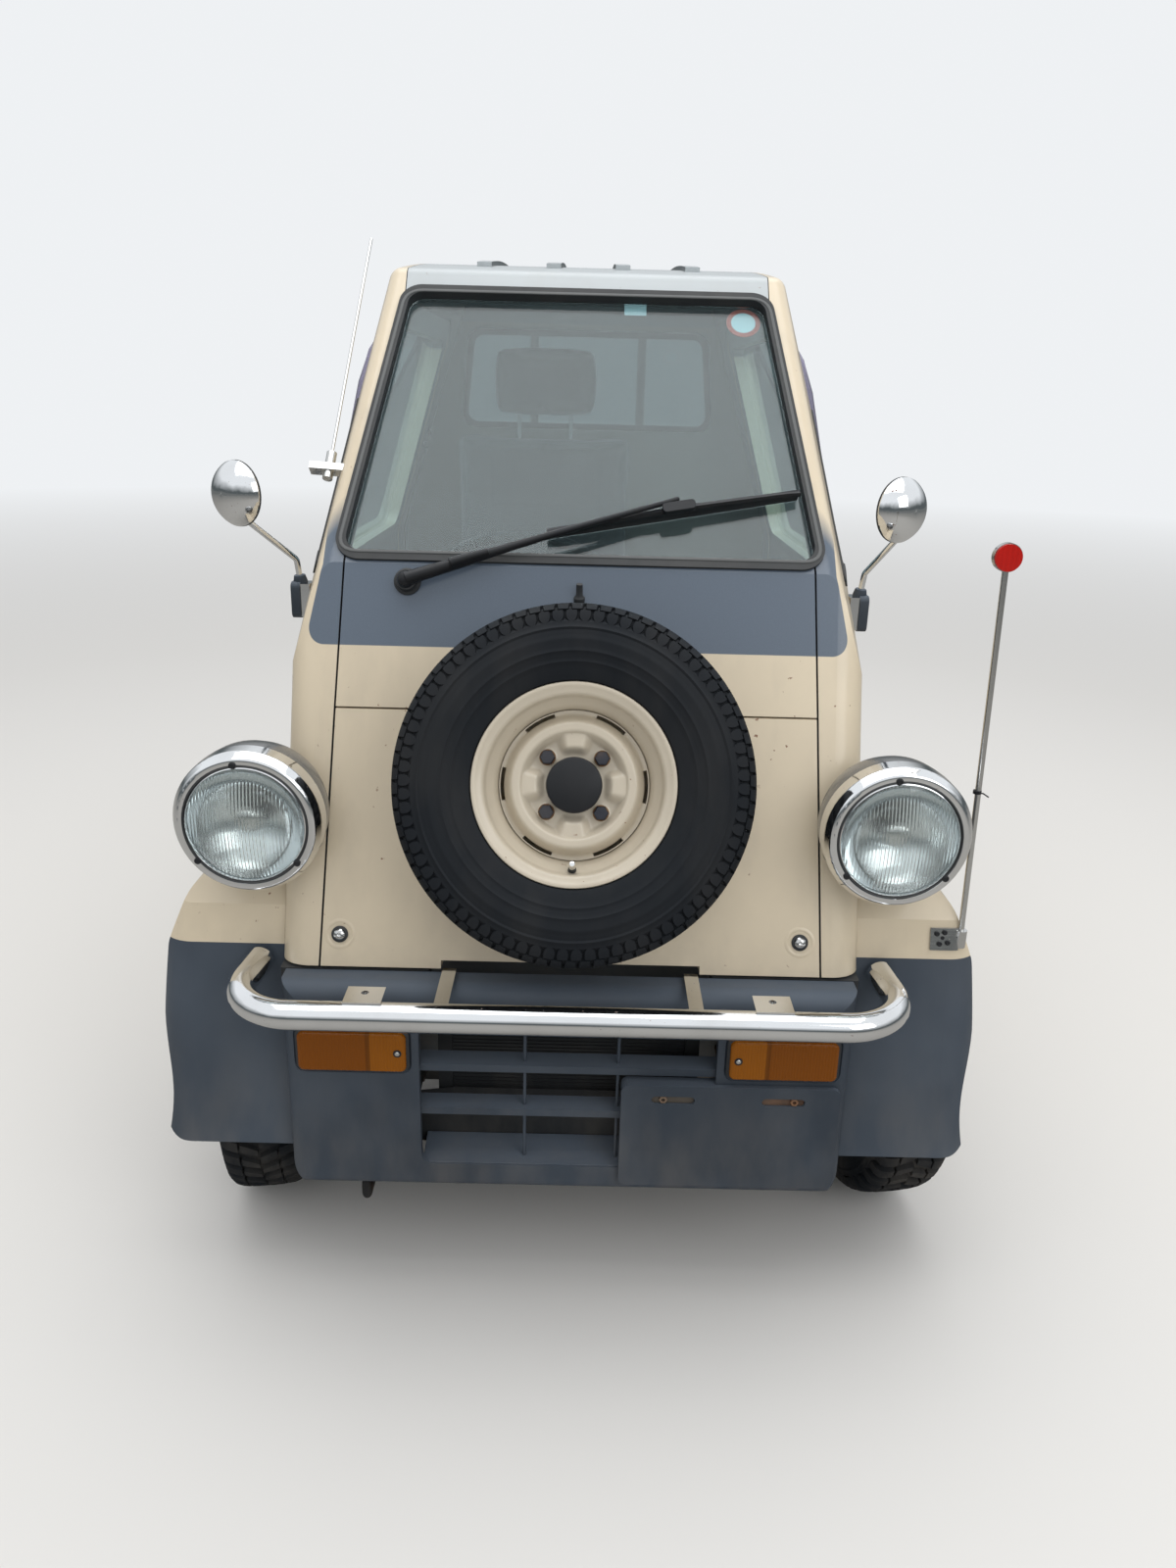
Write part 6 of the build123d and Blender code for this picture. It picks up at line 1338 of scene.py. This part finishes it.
# Door fittings: each door has a black pull handle on a backing plate, a key lock and a rubber seal round its glass.
# Inside is a moulded card with an armrest, a window winder and a release lever. All of them ride on the door.
door_inner = 0.457
card_vinyl = moulded("card_vinyl", (0.115, 0.120, 0.125, 1), (0.17, 0.175, 0.18, 1), 0.58, 650.0, 0.12)
window_rim = rounded(0.564, 0.406, 0.050, 6, (-0.274, 1.285))
for side, door, hand in door_sides:
    seal_form, plate_form, lock_form, card_form, crank_form, knob_form = blanks(6)
    seal_line = [Vector((side * (door_skin(z) + 0.0005), y, z)) for y, z in window_rim]
    outward = Vector((side * 0.956, 0, 0.293))
    closed_bar(seal_form, seal_line, 0.0075, 8, 0.55, outward)
    handle_place = stand((side * belt_half, -0.030, 0.985), (side, 0, 0))
    slab(plate_form, rounded(0.158, 0.046, 0.014), 0.0002, 0.0026, handle_place)
    lock_place = stand((side * belt_half, -0.004, 0.930), (side, 0, 0))
    lock = [(0.0, 0.0), (0.0120, 0.0), (0.0116, 0.0022), (0.0090, 0.0040), (0.0072, 0.0040), (0.0068, 0.0030),
            (0.0, 0.0030)]
    turned(lock_form, lock, lock_place, 32)
    key_slot = [(-0.0009, -0.0042), (0.0009, -0.0042), (0.0009, 0.0042), (-0.0009, 0.0042)]
    slab(plate_form, key_slot, 0.0030, 0.0034, lock_place)
    inside = stand((side * door_inner, -0.262, 0.775), (-side, 0, 0))
    slab(card_form, rounded(0.560, 0.310, 0.045), 0.0004, 0.0040, inside)
    slab(card_form, rounded(0.500, 0.110, 0.030, 5, (0.0, -0.070)), 0.0040, 0.0064, inside)
    slab(card_form, rounded(0.500, 0.100, 0.030, 5, (0.0, 0.075)), 0.0040, 0.0064, inside)
    rest_place = stand((side * (door_inner - 0.004), -0.200, 0.830), (-side, 0, 0))
    slab(card_form, rounded(0.250, 0.040, 0.018), 0.0, 0.0460, rest_place)
    crank_place = stand((side * (door_inner - 0.0062), -0.420, 0.770), (-side, 0, 0))
    boss = [(0.0, 0.0), (0.0240, 0.0), (0.0235, 0.0060), (0.0160, 0.0130), (0.0, 0.0140)]
    turned(crank_form, boss, crank_place, 28)
    arm = [crank_place @ Vector(point) for point in ((0, 0, 0.010), (0.030, -0.018, 0.022), (0.062, -0.040, 0.026))]
    bent_bar(crank_form, arm, 0.0055, 10)
    knob_place = crank_place @ Matrix.Translation((0.064, -0.041, 0.024))
    knob = [(0.0, 0.0), (0.0085, 0.0), (0.0110, 0.010), (0.0105, 0.022), (0.0070, 0.026), (0.0, 0.027)]
    turned(knob_form, knob, knob_place, 24)
    lever_place = stand((side * (door_inner - 0.001), -0.455, 0.960), (-side, 0, 0))
    slab(knob_form, rounded(0.090, 0.036, 0.010), 0.0, 0.0050, lever_place)
    slab(crank_form, rounded(0.064, 0.012, 0.005), 0.0050, 0.0180, lever_place)
    piece("door_glass_seal_" + hand, seal_form, rubber, door)
    piece("door_handle_plate_" + hand, plate_form, cap_black, door, edge=0.0008)
    piece("door_lock_" + hand, lock_form, bright_steel, door)
    piece("door_card_" + hand, card_form, card_vinyl, door, edge=0.0030)
    piece("window_winder_" + hand, crank_form, bright_steel, door, edge=0.0006)
    piece("winder_knob_" + hand, knob_form, cap_black, door, edge=0.0008)

# Dashboard: one soft moulding with a hood over the dials, three louvred vents, a heater panel with its sliders, a
# blank radio cover and a glove box lid. The dials have plain ticks and needles.
cabin_plastic = moulded("cabin_plastic", (0.060, 0.066, 0.072, 1), (0.11, 0.118, 0.126, 1), 0.6, 700.0, 0.10)
trim_black = moulded("trim_black", (0.018, 0.019, 0.021, 1), (0.036, 0.038, 0.041, 1), 0.46, 600.0, 0.06)
dial_white = moulded("dial_white", (0.62, 0.63, 0.60, 1), (0.66, 0.67, 0.64, 1), 0.6, 300.0, 0.0)
needle_orange = moulded("needle_orange", (0.70, 0.13, 0.02, 1), (0.72, 0.15, 0.03, 1), 0.5, 300.0, 0.0)
dress(cabin_plastic, "dashboard")
dash_face = -0.7005
panel_form, tick_form, needle_form, lid_form, vent_form, slider_form = blanks(6)
toward_seat = (0, 1, 0)
slab(panel_form, rounded(0.252, 0.106, 0.018), -0.004, 0.0030, stand((-0.112, dash_face, 0.968), toward_seat))
slab(panel_form, rounded(0.226, 0.038, 0.010), -0.004, 0.0020, stand((-0.112, -0.6850, 1.070), toward_seat))
dial_table = (
    # across, height, radius, ticks
    (-0.112, 0.968, 0.043, 13), (-0.198, 0.968, 0.024, 7), (-0.026, 0.968, 0.024, 7),
)
for across, height, radius, ticks in dial_table:
    face = stand((across, dash_face + 0.0030, height), toward_seat)
    bezel = [(radius, 0.0), (radius + 0.0035, 0.0), (radius + 0.0030, 0.0045), (radius, 0.0040)]
    turned(lid_form, bezel, face, 48, closed=True)
    for index in range(ticks):
        turn = math.radians(-125 + 250 * index / (ticks - 1))
        at = face @ Matrix.Rotation(turn, 4, "Z") @ Matrix.Translation((0, radius * 0.84, 0.0))
        slab(tick_form, rounded(0.0014, radius * (0.20 if index % 2 else 0.28), 0.0004, 1), 0.0001, 0.0006, at)
    at = face @ Matrix.Rotation(math.radians(118), 4, "Z") @ Matrix.Translation((0, radius * 0.36, 0.0))
    slab(needle_form, rounded(0.0018, radius * 0.80, 0.0006, 1), 0.0014, 0.0024, at)
    turned(needle_form, [(0.0, 0.0), (0.0045, 0.0), (0.0040, 0.0030), (0.0, 0.0034)], face, 20)
for across in (-0.330, 0.150, 0.330):
    vent = stand((across, dash_face, 1.000), toward_seat)
    framed(vent_form, vent, rounded(0.104, 0.052, 0.010), rounded(0.092, 0.040, 0.006), 0.0045, 0.0050)
    for level_at in (-0.0135, -0.0045, 0.0045, 0.0135):
        blade = vent @ Matrix.Translation((0, level_at, 0.0020)) @ Matrix.Rotation(math.radians(32), 4, "X")
        slab(vent_form, rounded(0.0915, 0.0060, 0.0010, 1), -0.0006, 0.0006, blade)
heater = stand((0.060, dash_face, 0.900), toward_seat)
slab(panel_form, rounded(0.160, 0.052, 0.006), -0.004, 0.0022, heater)
for level_at, across in ((-0.014, 0.030), (0.0, -0.020), (0.014, 0.048)):
    slot_place = heater @ Matrix.Translation((0, level_at, 0))
    slab(slider_form, rounded(0.120, 0.0022, 0.0010, 1), 0.0024, 0.0028, slot_place)
    knob_place = heater @ Matrix.Translation((across, level_at, 0))
    slab(lid_form, rounded(0.011, 0.0085, 0.002), 0.0024, 0.0120, knob_place)
radio = stand((0.060, dash_face, 0.965), toward_seat)
slab(panel_form, rounded(0.178, 0.050, 0.004), -0.004, 0.0030, radio @ Matrix.Translation((0, -0.004, 0)))
glove_box = stand((0.270, dash_face, 0.905), toward_seat)
slab(lid_form, rounded(0.216, 0.112, 0.014), -0.004, 0.0046, glove_box)
turned(slider_form, [(0.0, 0.0046), (0.0085, 0.0046), (0.0080, 0.0090), (0.0, 0.0098)],
       glove_box @ Matrix.Translation((0, 0.036, 0)), 24)
piece("dial_panels", panel_form, trim_black, "truck", edge=0.0010)
piece("dial_ticks", tick_form, dial_white, "truck")
piece("dial_needles", needle_form, needle_orange, "truck")
piece("dash_lids_and_knobs", lid_form, cabin_plastic, "truck", edge=0.0010)
piece("dash_vents", vent_form, trim_black, "truck")
piece("heater_slots", slider_form, bright_steel, "truck")

# Steering: a thin-rimmed wheel of hard black plastic on a sloping column, with a padded horn button, a shroud
# round the top of the column and a stalk on each side of it.
wheel_plastic = moulded("wheel_plastic", (0.016, 0.017, 0.019, 1), (0.030, 0.032, 0.035, 1), 0.42, 700.0, 0.06)
dress(wheel_plastic, "steering_wheel", "steering_column")
steering_centre = Vector((-0.112, -0.500, 1.010))
steering_way = Vector((0, 0.6947, 0.7193))
shroud_form, stalk_form, horn_form = blanks(3)
horn_spot, _ = touch("steering_wheel", steering_centre + steering_way * 0.12, -steering_way)
horn = [(0.0, 0.0), (0.0370, 0.0), (0.0385, 0.0040), (0.0350, 0.0090), (0.0150, 0.0122), (0.0, 0.0126)]
turned(horn_form, horn, stand(horn_spot, steering_way), 40)
piece("horn_pad", horn_form, trim_black, "hand_wheel", edge=0.0008)
column_place = stand(steering_centre, steering_way)
shroud = [(0.0205, -0.1750), (0.0300, -0.1720), (0.0400, -0.1500), (0.0420, -0.0700), (0.0390, -0.0480),
          (0.0205, -0.0460)]
turned(shroud_form, shroud, column_place, 40, closed=True)
for side in (-1, 1):
    stalk = ((side * 0.036, 0.0, -0.085), (side * 0.080, 0.004, -0.083), (side * 0.128, 0.010, -0.078))
    bent_bar(stalk_form, [column_place @ Vector(point) for point in stalk], [0.0050, 0.0046, 0.0060], 12)
piece("column_shroud", shroud_form, trim_black, "truck", edge=0.0010)
piece("column_stalks", stalk_form, trim_black, "truck")

# Cab floor and its controls: painted steel floor with a ribbed rubber mat, three hanging pedals with rubber pads,
# a gear lever in a rubber boot, and the handbrake on the engine cover beside the seat.
cabin_paint = enamel("cabin_paint", (0.13, 0.145, 0.16, 1), 0.42, 0.8)
dress(cabin_paint, "cab_floor", "wheelhouses", "engine_cover")
floor_height = 0.340
mat_form, arm_form, pad_form, boot_form, knob_form = blanks(5)
mat_place = Matrix.Translation((0.0, -0.705, floor_height))
slab(mat_form, rounded(0.590, 0.490, 0.050), 0.0003, 0.0045, mat_place)
for index in range(17):
    rib = mat_place @ Matrix.Translation((-0.256 + 0.032 * index, 0, 0))
    slab(mat_form, rounded(0.008, 0.430, 0.0030, 1), 0.0044, 0.0066, rib)
for across, width, tall in ((-0.205, 0.058, 0.052), (-0.048, 0.062, 0.052), (0.040, 0.048, 0.104)):
    arm = [(across, -0.800, 0.815), (across, -0.845, 0.640), (across, -0.850, 0.540), (across, -0.835, 0.470)]
    bent_bar(arm_form, arm, 0.0070, 10)
    pedal = stand((across, -0.8300, 0.462), (0, 0.87, 0.49))
    slab(arm_form, rounded(width, tall, 0.006), -0.0020, 0.0020, pedal)
    slab(pad_form, rounded(width + 0.004, tall + 0.004, 0.008), 0.0020, 0.0080, pedal)
    for index in range(5):
        groove = pedal @ Matrix.Translation((0, (index - 2) * tall / 5.6, 0))
        slab(pad_form, rounded(width - 0.010, 0.0036, 0.0010, 1), 0.0080, 0.0100, groove)
lever_foot = Vector((0.178, -0.500, floor_height))
lever_bends = ((0, 0, 0.02), (-0.004, 0.010, 0.14), (-0.016, 0.004, 0.26), (-0.022, -0.020, 0.355))
lever = [lever_foot + Vector(point) for point in lever_bends]
bent_bar(arm_form, lever, 0.0062, 12)
bellows = [(0.0, 0.0), (0.052, 0.0), (0.052, 0.008), (0.040, 0.012), (0.036, 0.024), (0.030, 0.026), (0.027, 0.040),
           (0.021, 0.043), (0.019, 0.058), (0.012, 0.064), (0.0, 0.066)]
turned(boot_form, bellows, Matrix.Translation(lever_foot), 32)
ball = [(0.0, -0.022), (0.010, -0.020), (0.0190, -0.006), (0.0215, 0.008), (0.0185, 0.021), (0.009, 0.027),
        (0.0, 0.028)]
turned(knob_form, ball, stand(lever[-1], (-0.05, -0.18, 1)), 32)
cover_top = 0.612
brake_x = 0.190
brake_lever = [(brake_x, -0.330, cover_top + 0.020), (brake_x, -0.300, cover_top + 0.030),
               (brake_x, -0.140, cover_top + 0.070)]
bent_bar(arm_form, brake_lever, [0.009, 0.008, 0.008], 12)
bent_bar(knob_form, [(brake_x, -0.235, cover_top + 0.0465), (brake_x, -0.135, cover_top + 0.0715)], 0.0135, 16)
slab(arm_form, rounded(0.036, 0.100, 0.006), 0.0, 0.024, Matrix.Translation((brake_x, -0.310, cover_top)))
piece("floor_mat", mat_form, rubber, "truck")
piece("pedals_and_levers", arm_form, trim_black, "truck", edge=0.0006)
piece("pedal_pads", pad_form, rubber, "truck", edge=0.0010)
piece("gear_lever_boot", boot_form, rubber, "truck")
piece("lever_grips", knob_form, trim_black, "truck")

# Seat belt: grey webbing that runs down the pillar behind the door from a bolted loop to its reel, and a buckle on
# a stalk between the seat and the handbrake.
belt_web = woven("belt_web", (0.060, 0.062, 0.066, 1), 1500.0, (0.080, 0.082, 0.086, 1))
strap_form, loop_form, reel_form = blanks(3)
belt_line = [(-0.3905, 1.250), (-0.4180, 1.160), (-0.4440, 1.070), (-0.4500, 0.900), (-0.4500, 0.640),
             (-0.4420, 0.450)]
web_section = ((0.0, 0.092), (0.0, 0.138), (0.0014, 0.138), (0.0014, 0.092))
rows = [[strap_form.verts.new((x + off, y, z)) for off, y in web_section] for x, z in belt_line]
sewn(strap_form, rows)
strap_form.faces.new(rows[0])
strap_form.faces.new(rows[-1][::-1])
belt_y = 0.115
off_pillar = (0.956, 0, 0.293)
slab(loop_form, rounded(0.060, 0.026, 0.008), 0.0, 0.0035, stand((-0.3955, belt_y, 1.262), off_pillar))
loop_bolt = [(0.0, 0.0), (0.0120, 0.0), (0.0120, 0.0070), (0.0095, 0.0090), (0.0, 0.0090)]
turned(loop_form, loop_bolt, stand((-0.3880, belt_y, 1.285), off_pillar), 6)
slab(reel_form, rounded(0.070, 0.090, 0.012), 0.0, 0.046, stand((-0.4470, belt_y, 0.420), (1, 0, 0)))
buckle = stand((0.1560, -0.060, 0.700), (0.18, -0.35, 1))
slab(reel_form, rounded(0.022, 0.044, 0.006), 0.0, 0.062, buckle)
bent_bar(loop_form, [(0.1500, -0.030, 0.6125), (0.1540, -0.052, 0.680), (0.1560, -0.060, 0.702)], 0.0050, 10)
piece("belt_webbing", strap_form, belt_web, "truck")
piece("belt_loop_and_stalk", loop_form, bright_steel, "truck", edge=0.0006)
piece("belt_reel_and_buckle", reel_form, trim_black, "truck", edge=0.0020)

# Bed fittings: pressed ribs on the floor, rope hooks of bent rod on the sides, a sprung latch on each end of the
# tailgate with its keeper on the bed, and rubber flaps behind the rear wheels.
bed_half, bed_rear, bed_floor = 0.575, 1.352, 0.640
gate_skin = 1.3845
hook_height = 0.668
keeper_bow = ((0.0, 0.010, 0.002), (0.0, 0.010, 0.011), (0.0, -0.010, 0.011), (0.0, -0.010, 0.002))
rib_form, hook_form, keeper_form, latch_form, flap_form = blanks(5)
for index in range(11):
    across = -0.480 + 0.096 * index
    slab(rib_form, rounded(0.034, 1.040, 0.010), 0.0, 0.0040, Matrix.Translation((across, 0.790, bed_floor)))
for side in (-1, 1):
    skin = side * (bed_half - 0.001)
    for y in (0.330, 0.610, 0.960, 1.270):
        bar = [(skin, y, hook_height), (skin + side * 0.012, y, hook_height), (skin + side * 0.019, y, 0.662),
               (skin + side * 0.020, y, 0.650), (skin + side * 0.012, y, 0.642)]
        bent_bar(hook_form, bar, 0.0035, 10)
        slab(hook_form, rounded(0.030, 0.024, 0.004), 0.0, 0.0020, stand((skin, y, hook_height), (side, 0, 0)))
    keeper = stand((side * bed_half, bed_rear - 0.046, 0.860), (side, 0, 0))
    slab(keeper_form, rounded(0.034, 0.040, 0.006), 0.0005, 0.0030, keeper)
    bent_bar(keeper_form, [keeper @ Vector(point) for point in keeper_bow], 0.0030, 10)
    flap = stand((side * 0.545, 1.175, 0.300), (0, 1, 0))
    slab(flap_form, rounded(0.170, 0.250, 0.012), 0.0, 0.0050, flap)
    latch = stand((side * 0.530, gate_skin, 0.862), (0, 1, 0))
    slab(latch_form, rounded(0.050, 0.036, 0.006), 0.0002, 0.0030, latch)
    turned(latch_form, [(0.0, 0.0030), (0.0085, 0.0030), (0.0080, 0.0090), (0.0, 0.0096)], latch, 20)
galvanised = plated("galvanised", (0.50, 0.50, 0.49, 1), 0.38, 1.5)
piece("bed_floor_ribs", rib_form, cream_enamel, "truck", edge=0.0016)
piece("rope_hooks", hook_form, galvanised, "truck")
piece("latch_keepers", keeper_form, galvanised, "truck")
piece("gate_latches", latch_form, galvanised, "load_gate", edge=0.0006)
piece("mud_flaps", flap_form, rubber, "truck", edge=0.0010)

# Tail lamps: a black tray with a screwed lens in three chambers, clear for reversing, amber for turning and red for
# tail and brake, all of moulded acrylic.
segments_from = (0.4720, 0.5140)
lens_clear = (0.62, 0.63, 0.62, 1)
lens_amber = (0.56, 0.17, 0.010, 1)
lens_red = (0.36, 0.010, 0.008, 1)
tray_across, tray_height = 0.495, 0.515


def chambered(name):
    """Three colours side by side, under fine moulded ribs."""
    finish, tree, shader, place = new_finish(name, 0.16)
    spot = wire(tree, "ShaderNodeSeparateXYZ", [(0, place)]).outputs
    out = maths(tree, "ABSOLUTE", spot["X"])
    first = ramp(tree, out, segments_from[0] - 0.0005, segments_from[0] + 0.0005)
    second = ramp(tree, out, segments_from[1] - 0.0005, segments_from[1] + 0.0005)
    colour = tint(tree, second, tint(tree, first, lens_clear, lens_amber), lens_red)
    ribs = maths(tree, "SINE", maths(tree, "MULTIPLY", spot["Z"], 1500.0))
    cloud = ramp(tree, grain(tree, place, 26.0, 3.0), 0.35, 0.7, 0.0, 0.30)
    shade = maths(tree, "ADD", maths(tree, "MULTIPLY", ribs, 0.06), cloud)
    tree.links.new(tint(tree, shade, colour, (0.10, 0.018, 0.012, 1)), shader.inputs["Base Color"])
    shader.inputs["Coat Weight"].default_value = 0.3
    shader.inputs["Coat Roughness"].default_value = 0.05
    relief(tree, shader, ribs, 0.00015)
    return finish


dress(chambered("tail_acrylic"), "tail_lamps")
tray_form, lamp_screws = blanks(2)
lamp_back = 1.3522
for side in (-1, 1):
    place = stand((side * tray_across, lamp_back, tray_height), (0, 1, 0))
    framed(tray_form, place, rounded(0.140, 0.100, 0.010), rounded(0.1305, 0.0905, 0.006), 0.0120, 0.0135)
    for off in (-0.0235, 0.0185):
        at = stand((side * (tray_across + off), lamp_back + 0.0216, tray_height), (0, 1, 0))
        turned(lamp_screws, [(0.0, 0.0), (0.0042, 0.0), (0.0036, 0.0016), (0.0, 0.0010)], at, 18)
piece("tail_lamp_trays", tray_form, rubber, "truck")
piece("tail_lamp_screws", lamp_screws, bright_steel, "truck")

# Rear bumper fittings: two bolts for a number plate, which is not fitted, and the small lamp above them. The lamp
# has a moulded black case.
plate_bolts, plate_lamp = blanks(2)
back_of_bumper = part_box("rear_bumper")[1][1]
for across in (-0.085, 0.085):
    at = stand((across, back_of_bumper - 0.0160, 0.388), (0, 1, 0))
    turned(plate_bolts, [(0.0, 0.0), (0.0062, 0.0), (0.0062, 0.0050), (0.0, 0.0056)], at, 6)
lamp_low_edge = Matrix.Translation((0.0, back_of_bumper - 0.026, 0.440))
slab(plate_lamp, rounded(0.074, 0.030, 0.006), 0.0, 0.0180, lamp_low_edge)
piece("plate_bolts", plate_bolts, bolt_steel, "truck")
piece("plate_lamp", plate_lamp, trim_black, "truck", edge=0.0020)

# Guard behind the cab: bent black tube, welded uprights and a crossbar. Each foot stands on a plate that two bolts
# hold to the rim of the bed.
chassis_black = rusted("chassis_black", (0.018, 0.018, 0.019, 1), (0.070, 0.038, 0.025, 1), 0.6, 0.1, 0.52)
dress(chassis_black, "guard_frame")
foot_form, foot_bolts = blanks(2)
rim_y, rim_top, foot_thick = 0.2370, 0.8922, 0.0040
for across in (-0.420, -0.133, 0.133, 0.420):
    slab(foot_form, rounded(0.062, 0.028, 0.004), 0.0, foot_thick, Matrix.Translation((across, rim_y, rim_top)))
    for off in (-0.022, 0.022):
        at = Matrix.Translation((across + off, rim_y, rim_top + foot_thick))
        turned(foot_bolts, [(0.0, 0.0), (0.0055, 0.0), (0.0055, 0.0042), (0.0, 0.0048)], at, 6)
piece("guard_feet", foot_form, chassis_black, "truck", edge=0.0008)
piece("guard_foot_bolts", foot_bolts, bolt_steel, "truck")

# Chassis, springs, axle, engine and exhaust: black paint gone brown with rust and road dirt, cast alloy and scaled
# steel. Clamps hold the rear springs to the axle, dampers stand beside them, and a brake pipe follows one rail.
alloy = rusted("alloy", (0.26, 0.26, 0.25, 1), (0.12, 0.10, 0.08, 1), 0.55, 0.6)
steel = rusted("steel", (0.20, 0.19, 0.18, 1), (0.16, 0.09, 0.055, 1), 0.5, 0.7)
dress(chassis_black, "frame_rails", "front_suspension", "fuel_tank")
dress(iron, "rear_axle", "knuckle_left", "knuckle_right")
dress(alloy, "engine_block")
dress(steel, "exhaust")
clamp_form, damper_form, pipe_form = blanks(3)
axle_y, axle_z = wheel_hubs["rear_left"][1].translation.yz
clamp_top, clamp_bend, clamp_foot = 0.335, axle_z - 0.030, axle_z - 0.036
for side in (-1, 1):
    x0, x1, bend = side * 0.3655, side * 0.4245, side * 0.008
    clamp_line = ((x0, clamp_top), (x0, clamp_bend), (x0 + bend, clamp_foot),
                  (x1 - bend, clamp_foot), (x1, clamp_bend), (x1, clamp_top))
    for shift in (-0.042, 0.042):
        bent_bar(clamp_form, [(x, axle_y + shift, z) for x, z in clamp_line], 0.0050, 10)
    slab(clamp_form, rounded(0.078, 0.112, 0.008), 0.0, 0.0060, Matrix.Translation((side * 0.395, axle_y, 0.3200)))
    low = Vector((side * 0.330, axle_y + 0.030, axle_z + 0.020))
    high = Vector((side * 0.305, axle_y + 0.110, 0.470))
    damper = stand(low, high - low)
    long = (high - low).length
    tubes = [(0.0, 0.0), (0.020, 0.002), (0.020, long * 0.52), (0.0235, long * 0.52), (0.0235, long * 0.96),
             (0.012, long), (0.0, long)]
    turned(damper_form, tubes, damper, 24)
pipe_line = ((-1.150, 0.338), (-0.600, 0.338), (0.180, 0.338), (0.330, 0.345), (0.470, 0.445), (1.180, 0.452))
bent_bar(pipe_form, [(0.2500, y, z) for y, z in pipe_line], 0.0032, 8)
piece("spring_clamps", clamp_form, iron, "truck")
piece("rear_dampers", damper_form, chassis_black, "truck")
piece("brake_pipe", pipe_form, steel, "truck")
